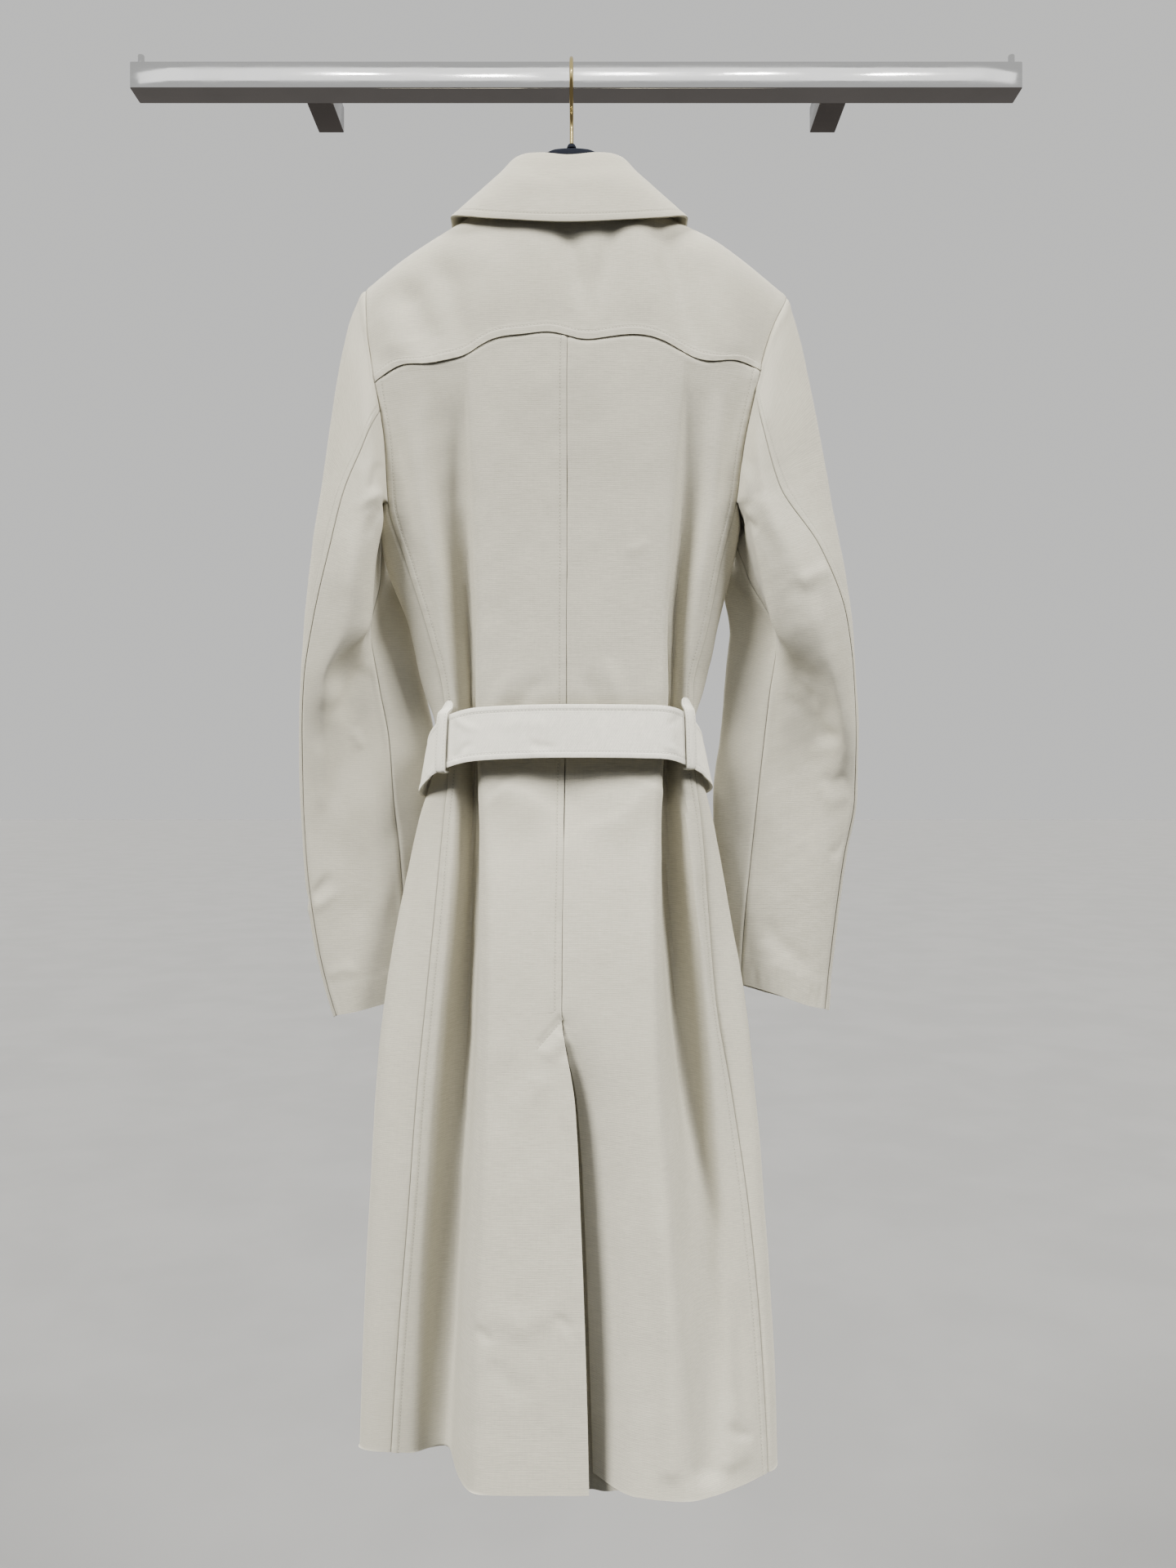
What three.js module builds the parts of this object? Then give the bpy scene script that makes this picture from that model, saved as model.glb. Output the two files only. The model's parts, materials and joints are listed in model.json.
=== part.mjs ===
// Belted trench coat on a hanger, hung by its hook over a square rail on two wall brackets.
//
// Frame, millimetres: the origin is on the wall, midway between the brackets at the rail's centre height.
// +X runs along the rail, +Y goes into the wall, +Z is up. The coat's back faces -Y, its front faces the wall.
//
// Each cloth panel is a wall of even thickness on a smooth surface. The surface goes through a short table:
// a row for each level from the hem up, and a column for each crest, trough, seam or edge across the panel.

import * as THREE from "three";

// ---- driving sizes ----
const CLOTH = 2.0; // wall of the coat's cloth, with its turned edges
const SEAM_GAP = 0.34; // between two pieces at a seam
const RAIL = { length: 828, side: 25, centreY: -62.5, pinX: 408, pinRadius: 3, pinTop: 25.5 };
const BRACKET = { x: 243, width: 25, height: 25 };
const HOOK = { x: -4.4, wire: 3.6, innerRadius: 20.4, eyeZ: -3.2, foot: -58.0 };
const NUB = { radius: 4.6, height: 4.4 };
const BELT = { width: 48, thick: 2.4 };
const LOOP = { width: 10, thick: 1.8 };
const BUTTON = { radius: 11, thick: 3.4 };
const BUTTONS = { across: 4.55, columns: ["z"], rows: { neck: [-218], chest: [-335], ribs: [-455], waist: [-572], hip: [-775] } };
const BUCKLE = { width: 60, height: 62, bar: 8, thick: 3.2, x: -14, y: -17.2, z: -665, lean: 0.062 };
const UNDERLAP = { reach: 34, hem: -1276 };

// ---- tables, from the hem up; each place is [x, y, z] ----
const BACK_LEFT = { // each place is [x, y, z]
  columns: ["centre", "middle", "crest", "wall", "recess", "strip", "edge"],
  rows: {
    hem: [[12, -164, -1263], [-35.5, -166, -1263], [-82.5, -164, -1263], [-107.5, -128, -1263], [-126, -96, -1263], [-145.5, -101, -1263], [-167.5, -100, -1263]],
    skirt_low: [[9.5, -160, -1160], [-36, -162, -1160], [-81, -160, -1160], [-104.5, -126, -1160], [-122, -95, -1160], [-141, -102, -1160], [-161, -101, -1160]],
    skirt_mid: [[5, -152, -1040], [-36, -155, -1040], [-77.5, -153, -1040], [-99, -122, -1040], [-117, -94, -1040], [-134, -102, -1040], [-151.5, -101, -1040]],
    skirt_high: [[0, -143, -940], [-37, -146, -940], [-74.5, -145, -940], [-94, -116, -940], [-111.5, -91, -940], [-127.5, -101, -940], [-144.5, -99, -940]],
    vent_top: [[-12, -135, -855], [-42.5, -138, -855], [-73, -137, -855], [-91, -111, -855], [-105.5, -86, -855], [-118, -99, -855], [-136.5, -96, -855]],
    hip: [[-11.5, -125, -770], [-42.5, -128, -770], [-73.5, -127, -770], [-90, -105, -770], [-100, -80, -770], [-108.5, -96, -770], [-128.5, -92, -770]],
    below_belt: [[-10.5, -113, -695], [-44.5, -115, -695], [-78, -115, -695], [-90.5, -98, -695], [-97.5, -74, -695], [-103, -93, -695], [-122, -86, -695]],
    belt_low: [[-10, -106, -640], [-45.5, -107, -640], [-81.5, -108, -640], [-91.5, -96, -640], [-97, -73, -640], [-100.5, -90, -640], [-117.5, -82, -640]],
    belt_mid: [[-9, -103, -605], [-46, -104, -605], [-82.5, -107, -605], [-92.5, -95, -605], [-97.5, -73, -605], [-100.5, -90, -605], [-119.5, -80, -605]],
    belt_high: [[-8.5, -104, -570], [-45.5, -105, -570], [-82.5, -107, -570], [-93, -96, -570], [-98.5, -76, -570], [-102.5, -92, -570], [-123, -82, -570]],
    waist: [[-8.5, -105, -515], [-44, -105, -515], [-80, -107, -515], [-93, -100, -515], [-102, -84, -515], [-110.5, -95, -515], [-137, -85, -515]],
    ribs: [[-8, -106, -455], [-43.5, -106, -455], [-79, -108, -455], [-94.5, -103, -455], [-106, -90, -455], [-119.5, -98, -455], [-156, -86, -455]],
    underarm: [[-8, -107, -400], [-43, -107, -400], [-78, -109, -400], [-94, -106, -400], [-109.5, -96, -400], [-125.5, -100, -400], [-172.5, -86, -400]],
    blade: [[-8, -109, -345], [-44, -109, -345], [-80, -111, -345], [-96.5, -108, -345], [-112.5, -102, -345], [-130.5, -102, -345], [-175.5, -88, -345]],
    yoke_line: [[-8, -111, -290], [-44, -111, -290], [-80, -112, -290], [-96, -110, -290], [-114.5, -107, -290], [-133.5, -105, -290], [-184, -90, -290]],
    back_high: [[-7, -110, -235], [-42, -110, -236], [-84, -111, -238], [-105, -109, -241], [-130, -105, -246], [-160, -99, -252], [-190, -80, -262]],
    shoulder_low: [[-7, -106, -185], [-40, -106, -186], [-80, -105, -189], [-103, -102, -196], [-131, -98, -205], [-163, -91, -217], [-194, -73, -238]],
    shoulder_back: [[-7, -101, -148], [-38, -100, -148], [-76, -97, -150], [-102, -93, -158], [-131, -88, -171], [-163, -80, -186], [-197, -64, -213]],
    shoulder_round: [[-7, -96.5, -124], [-38, -93, -122], [-73, -83, -118], [-101, -78, -137], [-130.5, -74, -152], [-162, -67, -169], [-199, -54, -196]],
    shoulder_seam: [[-7, -94, -111], [-39, -89, -109], [-71, -68, -106], [-100, -63, -127], [-130, -59, -144.5], [-161, -54, -162], [-200, -45, -187]],
  },
};
const BACK_RIGHT = { // each place is [x, y, z]
  columns: ["centre", "middle", "crest", "wall", "recess", "strip", "edge"],
  rows: {
    hem: [[12, -145, -1257], [52, -169, -1263], [92.5, -174, -1263], [118.5, -166, -1263], [137.5, -155, -1263], [152.5, -145, -1263], [169, -131, -1263]],
    skirt_low: [[9.5, -140, -1160], [48.5, -160, -1160], [87.5, -166, -1160], [112.5, -152, -1160], [130.5, -136, -1160], [145, -130, -1160], [165.5, -118, -1160]],
    skirt_mid: [[5, -134, -1040], [42.5, -152, -1040], [79.5, -157, -1040], [101, -134, -1040], [120, -112, -1040], [133, -116, -1040], [155.5, -108, -1040]],
    skirt_high: [[0, -129, -940], [35, -144, -940], [70.5, -148, -940], [89, -122, -940], [107, -94, -940], [124.5, -107, -940], [141.5, -98, -940]],
    vent_top: [[-12, -135, -855], [27.5, -137, -855], [67.5, -140, -855], [83, -116, -855], [97.5, -84, -855], [117, -102, -855], [127.5, -92, -855]],
    hip: [[-11.5, -125, -770], [27.5, -127, -770], [66.5, -129, -770], [80, -106, -770], [90, -76, -770], [108, -98, -770], [121, -86, -770]],
    below_belt: [[-10.5, -113, -695], [29, -115, -695], [68.5, -117, -695], [80, -99, -695], [86, -72, -695], [100.5, -93, -695], [115.5, -83, -695]],
    belt_low: [[-10, -106, -640], [31, -107, -640], [71.5, -109, -640], [81.5, -96, -640], [85, -72, -640], [90, -90, -640], [109, -81, -640]],
    belt_mid: [[-9, -103, -605], [33, -104, -605], [74.5, -107, -605], [84, -95, -605], [87, -73, -605], [91.5, -89, -605], [108, -80, -605]],
    belt_high: [[-8.5, -104, -570], [33.5, -105, -570], [75.5, -107, -570], [86, -96, -570], [89, -76, -570], [93, -91, -570], [108, -82, -570]],
    waist: [[-8.5, -105, -515], [32, -106, -515], [72.5, -107, -515], [85.5, -100, -515], [91, -84, -515], [99, -95, -515], [121, -85, -515]],
    ribs: [[-8, -106, -455], [33, -107, -455], [74, -108, -455], [89, -103, -455], [96.5, -91, -455], [107.5, -99, -455], [133, -87, -455]],
    underarm: [[-8, -107, -400], [33, -108, -400], [73.5, -109, -400], [90, -106, -400], [100, -97, -400], [114, -100, -400], [147, -87, -400]],
    blade: [[-8, -109, -345], [32.5, -110, -345], [73.5, -111, -345], [89.5, -108, -345], [102.5, -102, -345], [118, -102, -345], [154.5, -88, -345]],
    yoke_line: [[-8, -111, -290], [32.5, -111, -290], [73, -112, -290], [89, -110, -290], [104.5, -107, -290], [121, -104, -290], [166.5, -90, -290]],
    back_high: [[-7, -110, -235], [28, -110, -236], [72, -111, -238], [92, -109, -241], [116, -105, -246], [143, -99, -253], [172, -80, -266]],
    shoulder_low: [[-7, -106, -185], [27, -106, -186], [68, -105, -189], [91, -102, -196], [117, -98, -205], [147, -91, -217], [179, -73, -243]],
    shoulder_back: [[-7, -101, -148], [26, -100, -148], [64, -97, -150], [90, -93, -158], [118, -88, -169], [149, -80, -184], [189, -64, -219]],
    shoulder_round: [[-7, -96.5, -124], [25, -93, -122], [60, -83, -118], [89, -78, -137], [118, -74, -149], [149, -67, -165], [197, -54, -203]],
    shoulder_seam: [[-7, -94, -111], [26, -89, -109], [58, -68, -106], [88, -63, -127], [117, -59, -141.5], [148, -54, -158], [200, -45, -193]],
  },
};
const FRONT_LEFT = { // each place is [x, y, z]
  columns: ["seam", "side", "side_front", "fold", "front", "closing"],
  rows: {
    hem: [[-167.5, -100, -1263], [-199, -89, -1263], [-170, -44, -1263], [-118, -26, -1263], [-59, -14, -1263], [20, -17, -1263]],
    skirt_low: [[-161, -101, -1160], [-195.5, -90, -1160], [-167, -44, -1160], [-116.5, -28, -1160], [-59, -14, -1160], [20, -17, -1160]],
    skirt_mid: [[-151.5, -101, -1040], [-190.5, -88, -1040], [-163, -46, -1040], [-113.5, -30, -1040], [-59, -15, -1040], [20, -18, -1040]],
    skirt_high: [[-144.5, -99, -940], [-185.5, -85, -940], [-153.5, -50, -940], [-110.5, -32, -940], [-59, -17, -940], [20, -20, -940]],
    vent_top: [[-136.5, -96, -855], [-177.5, -80, -855], [-143.5, -54, -855], [-106, -36, -855], [-59, -19, -855], [20, -22, -855]],
    hip: [[-128.5, -92, -770], [-163.5, -74, -770], [-132, -54, -770], [-97.5, -37, -770], [-59, -21, -770], [20, -24, -770]],
    below_belt: [[-122, -86, -695], [-148.5, -68, -695], [-123, -50, -695], [-89, -37, -695], [-59, -25, -695], [20, -28, -695]],
    belt_low: [[-117.5, -82, -640], [-133.5, -62, -640], [-114.5, -44, -640], [-80.5, -34, -640], [-59, -28, -640], [20, -31, -640]],
    belt_mid: [[-119.5, -80, -605], [-132.5, -60, -605], [-113.5, -42, -605], [-79.5, -33, -605], [-59, -29, -605], [20, -32, -605]],
    belt_high: [[-123, -82, -570], [-144, -62, -570], [-123.5, -41, -570], [-86.5, -32, -570], [-59, -28, -570], [20, -31, -570]],
    waist: [[-137, -85, -515], [-155.5, -65, -515], [-133, -40, -515], [-93, -29, -515], [-59, -25, -515], [20, -28, -515]],
    ribs: [[-156, -86, -455], [-178.5, -64, -455], [-153, -40, -455], [-106.5, -27, -455], [-59, -22, -455], [20, -25, -455]],
    underarm: [[-172.5, -86, -400], [-184.5, -64, -415], [-158, -38, -412], [-110, -25, -408], [-59, -20, -404], [20, -23, -402]],
    armhole_low: [[-183.5, -68, -395], [-181, -47, -399], [-155, -33, -396], [-105, -25, -391], [-59, -20, -387], [20, -23, -385]],
    blade: [[-178, -40, -345], [-166, -33, -345], [-142, -28, -345], [-100, -24, -345], [-59, -20, -345], [20, -23, -345]],
    yoke_line: [[-183, -33, -290], [-166, -29, -290], [-142, -26, -290], [-96, -23, -290], [-57, -20, -290], [20, -23, -290]],
    chest_high: [[-191, -31, -246], [-168, -29, -240], [-140, -27, -236], [-92, -25, -232], [-54, -22, -232], [20, -25, -232]],
    shoulder_low: [[-196, -32, -216], [-170, -33, -198], [-138, -34, -180], [-84, -37, -158], [-50, -30, -180], [20, -29, -194]],
    shoulder_front: [[-199, -37, -198], [-172, -41, -179], [-138, -45, -160], [-76, -54, -124], [-46, -36, -160], [20, -33, -178]],
    shoulder_seam: [[-200, -45, -187], [-172, -50, -168.5], [-137, -57.5, -148], [-72, -66, -106], [-43, -43, -145], [20, -36, -166]],
  },
};
const FRONT_RIGHT = { // each place is [x, y, z]
  columns: ["seam", "side", "side_front", "fold", "front", "closing"],
  rows: {
    hem: [[169, -131, -1263], [181, -104, -1263], [153, -44, -1263], [102, -26, -1263], [45, -14, -1263], [-34, -11.5, -1263]],
    skirt_low: [[165.5, -118, -1160], [179, -98, -1160], [151, -44, -1160], [101, -28, -1160], [45, -14, -1160], [-34, -11.5, -1160]],
    skirt_mid: [[155.5, -108, -1040], [172.5, -94, -1040], [145.5, -46, -1040], [97, -30, -1040], [45, -15, -1040], [-34, -12.5, -1040]],
    skirt_high: [[141.5, -98, -940], [165, -88, -940], [134, -50, -940], [93, -32, -940], [45, -17, -940], [-34, -14.5, -940]],
    vent_top: [[127.5, -92, -855], [156.5, -82, -855], [124, -54, -855], [88, -36, -855], [45, -19, -855], [-34, -16.5, -855]],
    hip: [[121, -86, -770], [142, -76, -770], [112.5, -54, -770], [79.5, -37, -770], [45, -21, -770], [-34, -18.5, -770]],
    below_belt: [[115.5, -83, -695], [128.5, -70, -695], [104, -50, -695], [71.5, -37, -695], [45, -25, -695], [-34, -22.5, -695]],
    belt_low: [[109, -81, -640], [115.5, -64, -640], [97, -44, -640], [64, -34, -640], [45, -28, -640], [-34, -25.5, -640]],
    belt_mid: [[108, -80, -605], [110, -62, -605], [92.5, -42, -605], [61, -33, -605], [45, -29, -605], [-34, -26.5, -605]],
    belt_high: [[108, -82, -570], [120, -62, -570], [101, -41, -570], [66.5, -32, -570], [45, -28, -570], [-34, -25.5, -570]],
    waist: [[121, -85, -515], [132, -64, -515], [111, -40, -515], [73.5, -29, -515], [45, -25, -515], [-34, -22.5, -515]],
    ribs: [[133, -87, -455], [146.5, -64, -455], [123.5, -40, -455], [82, -27, -455], [45, -22, -455], [-34, -19.5, -455]],
    underarm: [[147, -87, -400], [153.5, -64, -420], [129.5, -38, -414], [86.5, -25, -408], [45, -20, -404], [-34, -17.5, -402]],
    armhole_low: [[152.5, -68, -400], [151.5, -47, -407], [134, -33, -400], [88.5, -25, -393], [45, -20, -387], [-34, -17.5, -385]],
    blade: [[160, -40, -347], [150, -33, -346], [128, -28, -345], [86, -24, -345], [45, -20, -345], [-34, -17.5, -345]],
    yoke_line: [[168, -33, -292], [152, -29, -291], [128, -26, -290], [82, -23, -290], [43, -20, -290], [-34, -17.5, -290]],
    chest_high: [[178, -31, -249], [156, -29, -242], [126, -27, -236], [78, -25, -232], [40, -22, -232], [-34, -19.5, -232]],
    shoulder_low: [[189, -32, -222], [160, -33, -202], [124, -34, -180], [70, -37, -158], [36, -30, -180], [-34, -23.5, -194]],
    shoulder_front: [[197, -37, -204], [162, -41, -183], [124, -45, -160], [62, -54, -124], [32, -36, -160], [-34, -27.5, -178]],
    shoulder_seam: [[200, -45, -193], [163, -50, -168], [123, -57.5, -148], [58, -66, -106], [29, -43, -145], [-34, -30.5, -166]],
  },
};
const SLEEVE_LEFT = { // each place is [x, y, z]
  columns: ["back_seam", "bulge", "hollow", "inner_seam", "inner_edge", "front", "outer"],
  rows: {
    armhole: [[-181.5, -88, -318], [-174, -90, -353], [-170.5, -86, -389.5], [-186.5, -66, -406.5], [-179, -42, -352], [-191, -31, -250], [-200, -45, -187.5]],
    cap: [[-191, -104, -348], [-181.5, -108, -380], [-174.5, -102, -401.5], [-190, -66, -417], [-190, -34, -392], [-212, -26, -300], [-215.5, -52, -220]],
    upper_arm: [[-209.5, -104, -392.5], [-189.5, -112, -406], [-173.5, -102, -415.5], [-189, -58, -430], [-192, -28, -430], [-226, -24, -400], [-236.5, -66, -367.5]],
    mid_arm: [[-224.5, -102, -451], [-199.5, -114, -460.5], [-182, -98, -457.5], [-191.5, -56, -471], [-176.5, -32, -462.5], [-226, -20, -468], [-246, -72, -445]],
    above_elbow: [[-239.5, -92, -508.5], [-206.5, -108, -512.5], [-186, -92, -507], [-193, -58, -510], [-157.5, -32, -508], [-222, -16, -528], [-252.5, -68, -507]],
    elbow: [[-250.5, -80, -563.5], [-230.5, -92, -566.5], [-216.5, -74, -565], [-184.5, -58, -567], [-144, -34, -565], [-222, -12, -580], [-256.5, -64, -562]],
    forearm_high: [[-254.5, -70, -616.5], [-235, -76, -617], [-209, -66, -618], [-176, -56, -616], [-135.5, -36, -614], [-218, -12, -632], [-259.5, -56, -616]],
    forearm: [[-255, -66, -670], [-233, -68, -670], [-203.5, -62, -671.5], [-172.5, -54, -670.5], [-138, -36, -668.5], [-214, -12, -686], [-260, -52, -670]],
    forearm_low: [[-253, -64, -729], [-229.5, -66, -728.5], [-197.5, -61, -729], [-166.5, -54, -729.5], [-138, -36, -729], [-206, -12, -742], [-257.5, -50, -729.5]],
    wrist: [[-244, -62, -807], [-222, -65, -807.5], [-192.5, -61, -806.5], [-162, -53, -804.5], [-138, -36, -803.5], [-198, -12, -818], [-248.5, -50, -809]],
    cuff: [[-227, -60, -876.5], [-209.5, -63, -873], [-184, -60, -866.5], [-159, -52, -860.5], [-140.5, -36, -857], [-190, -13, -868], [-230.5, -50, -879]],
  },
};
const SLEEVE_RIGHT = { // each place is [x, y, z]
  columns: ["back_seam", "bulge", "hollow", "inner_seam", "inner_edge", "front", "outer"],
  rows: {
    armhole: [[163, -88, -308.5], [156, -90, -345], [147.5, -86, -391], [152.5, -66, -413.5], [160, -42, -355], [178, -31, -252], [199.5, -45, -196]],
    cap: [[170, -104, -339], [161.5, -108, -373], [152.5, -100, -404], [159.5, -66, -420], [170, -34, -392], [197, -26, -300], [213, -52, -240]],
    upper_arm: [[184, -106, -389], [170, -114, -403.5], [157, -100, -416.5], [157, -58, -430], [166, -28, -425], [210, -24, -400], [234.5, -66, -363.5]],
    mid_arm: [[222, -100, -444], [191.5, -118, -454], [163, -102, -451], [166, -60, -462.5], [152.5, -34, -453.5], [214, -20, -465], [246, -72, -439]],
    above_elbow: [[247, -90, -504.5], [214.5, -112, -514.5], [179.5, -98, -517], [187.5, -60, -521], [146, -34, -510], [214, -16, -526], [255.5, -68, -501.5]],
    elbow: [[256, -80, -565.5], [236.5, -98, -570], [215.5, -82, -567.5], [181, -58, -574.5], [141, -34, -560.5], [212, -12, -580], [260, -64, -563]],
    forearm_high: [[259.5, -72, -624.5], [247.5, -82, -623], [230, -70, -612], [175.5, -56, -626], [136, -34, -617], [206, -12, -635], [263.5, -58, -622.5]],
    forearm: [[260, -66, -670], [239, -70, -670], [210, -64, -668.5], [171, -54, -670], [130, -34, -667], [202, -12, -684], [264, -52, -670]],
    forearm_low: [[250.5, -64, -729], [232, -68, -728.5], [202.5, -62, -729], [165, -54, -729.5], [132, -34, -727.5], [194, -12, -742], [254.5, -50, -729.5]],
    wrist: [[241.5, -62, -803.5], [225, -66, -803.5], [193.5, -61, -802], [158.5, -53, -801.5], [136.5, -34, -800.5], [190, -12, -816], [245.5, -50, -805]],
    cuff: [[235, -60, -870.5], [217.5, -63, -866.5], [187.5, -60, -856], [156.5, -52, -848], [140, -34, -846.5], [184, -13, -862], [240, -50, -873]],
  },
};
const YOKE_EDGE = [ // [x, z] along the edge, from the left armhole to the right one
  [-192, -295.5], [-184, -291], [-174, -283.5], [-158, -276.5], [-135.5, -279], [-116.5, -276], [-98, -273], [-87, -265.5], [-75.5, -258.5], [-61.5, -255.5], [-44, -254], [-29.5, -251.5], [-18.5, -252], [-6, -256], [5, -259], [14.5, -259], [28.5, -256.5], [49, -254], [66, -255.5], [83, -262], [99.5, -271], [113, -276], [126.5, -276], [145, -272], [159.5, -275], [168.5, -278.5], [178.5, -283.5],
];
// Collar, half of it, mirrored about its middle: [distance from the middle, y, z] where it is sewn on,
// at the fold over its stand, halfway down the fall, and at the fall's edge.
const COLLAR_MIDDLE = -6.5;
const COLLAR = {
  columns: ["seam", "fold", "fall", "edge"],
  rows: {
    front_end: [[16, -31, -163], [17, -31, -150], [34, -21, -176], [58, -14, -212]],
    front: [[36, -38, -147], [36, -38, -122], [66, -24, -150], [94, -18, -186]],
    side_front: [[54, -51, -124], [47, -53, -97], [80, -42, -122], [110, -34, -156]],
    neck_side: [[66, -68.5, -104.2], [50, -72, -79], [79, -67, -101.5], [111, -66.5, -129.5]],
    back_side: [[51, -81, -105.5], [41, -82, -78], [62, -93, -106], [88, -99, -143]],
    back_middle: [[27, -90, -107], [24, -89, -80], [33, -102, -113], [52, -107, -149]],
    back: [[0, -94.5, -110], [0, -93, -84], [0, -105, -119], [0, -111, -153]],
  },
};

// Belt: the top and the bottom edge of its outer face, from the under end at the front, round the left side,
// the back and the right side to the lapped end at the front.
const BELT_PATH = {
  columns: ["top", "bottom"],
  rows: {
    under_end: [[24, -22.6, -640], [24, -19.6, -688]],
    front_left: [[-58, -23.3, -637], [-58, -20.3, -685]],
    side_front_left: [[-104, -34.5, -630], [-107, -34, -681]],
    side_left_fore: [[-128, -49, -622], [-135, -50, -673]],
    side_left: [[-137.5, -66, -615], [-146, -70, -666]],
    loop_left: [[-124.5, -93, -600], [-127, -97, -648]],
    crest_left: [[-88, -112, -589], [-88, -114, -637]],
    back: [[-8, -109.5, -586], [-8, -111.5, -634]],
    crest_right: [[74, -112, -587], [74, -114.5, -635]],
    loop_right: [[102, -94, -594], [103, -98, -642]],
    side_right: [[117, -67, -612], [127, -71, -661]],
    side_front_right: [[100, -39, -624], [106, -38, -673]],
    front_right: [[56, -24, -633], [56, -21.5, -681]],
    lapped_end: [[-74, -19.4, -641], [-74, -16.4, -689]],
  },
};

// Belt loops: where each stands on the belt's path, and its top and bottom.
const LOOPS = { left: { at: 5.05, above: 16, below: 6, root: -4.8 }, right: { at: 9.05, above: 16, below: 6, root: -2.4 } };

// Hanger arm: half width along x from its middle, with the arm's centre y, its top z, its depth and its height.
const ARM = {
  columns: ["x", "y", "top", "depth", "height"],
  rows: {
    middle: [0, -62.5, -62.4, 13, 22],
    near: [14, -62.5, -63.3, 13, 22],
    neck: [26, -62.5, -68.5, 13, 22],
    bend: [36, -62.5, -81, 12, 22],
    drop: [43, -62.5, -101, 12, 22],
    collar: [51, -63.5, -124, 12, 20],
    shoulder: [66, -65, -128, 13, 18],
    slope: [92, -65, -138, 16, 18],
    blade: [124, -62, -156, 18, 18],
    outer: [156, -58, -176, 18, 15],
    tip: [174, -54, -190, 15, 10],
  },
};

// ---- curves and walls ----

// Slopes of a smooth curve through evenly spaced values that never swings past them.
function slopes(values, ring) {
  const n = values.length;
  const step = (i) => values[(i + 1) % n] - values[i % n];
  const inner = (a, b) => (a * b <= 0 ? 0 : (2 * a * b) / (a + b));
  if (ring) return values.map((_, i) => inner(step((i + n - 1) % n), step(i)));
  const end = (a, b) => {
    const m = (3 * a - b) / 2;
    if (m * a <= 0) return 0;
    return a * b < 0 && Math.abs(m) > 3 * Math.abs(a) ? 3 * a : m;
  };
  if (n === 2) return [step(0), step(0)];
  return values.map((_, i) =>
    i === 0 ? end(step(0), step(1)) : i === n - 1 ? end(step(n - 2), step(n - 3)) : inner(step(i - 1), step(i)),
  );
}

// The value of that curve at u, counted in places from the first.
function along(values, u, ring = false) {
  const n = values.length;
  const i = ring ? Math.floor(u) : Math.max(0, Math.min(n - 2, Math.floor(u)));
  const f = u - i;
  const m = slopes(values, ring);
  const a = ((i % n) + n) % n;
  const b = (a + 1) % n;
  return (
    (2 * f ** 3 - 3 * f ** 2 + 1) * values[a] + (f ** 3 - 2 * f ** 2 + f) * m[a] +
    (-2 * f ** 3 + 3 * f ** 2) * values[b] + (f ** 3 - f ** 2) * m[b]
  );
}

const add = (a, b, k = 1) => a.map((v, i) => v + b[i] * k);
const sub = (a, b) => a.map((v, i) => v - b[i]);
const unit = (a) => { const l = Math.hypot(...a) || 1; return a.map((v) => v / l); };
const dot = (a, b) => a[0] * b[0] + a[1] * b[1] + a[2] * b[2];
const cross = (a, b) => [a[1] * b[2] - a[2] * b[1], a[2] * b[0] - a[0] * b[2], a[0] * b[1] - a[1] * b[0]];
const mix = (a, b, k) => a.map((v, i) => v + (b[i] - v) * k);

// The place of each of a table's columns at height t, counted in rows from the hem.
function columnsAt(table, t) {
  const rows = Object.values(table.rows);
  return rows[0].map((_, c) => [0, 1, 2].map((k) => along(rows.map((r) => r[c][k]), t)));
}

// A point of a table's surface: s in columns, t in rows.
function place(table, s, t, ring = false) {
  const at = columnsAt(table, t);
  return [0, 1, 2].map((k) => along(at.map((p) => p[k]), s, ring));
}

// The direction out of the surface there; side is 1 or -1.
function facing(table, s, t, side, ring = false) {
  const e = 0.04;
  const cols = table.rows[Object.keys(table.rows)[0]].length - 1;
  const rows = Object.keys(table.rows).length - 1;
  const s0 = ring ? s - e : Math.max(0, s - e), s1 = ring ? s + e : Math.min(cols, s + e);
  const t0 = Math.max(0, t - e), t1 = Math.min(rows, t + e);
  const ds = sub(place(table, s1, t, ring), place(table, s0, t, ring));
  const dt = sub(place(table, s, t1, ring), place(table, s, t0, ring));
  return unit(cross(ds, dt).map((v) => v * side));
}

// A closed wall under a grid of points: outer[i][j] and the direction out of it, with the wall's thickness.
function wall(outer, out, thick = CLOTH) {
  return shell(outer, outer.map((row, i) => row.map((p, j) => add(p, out[i][j], -thick))));
}

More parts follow.
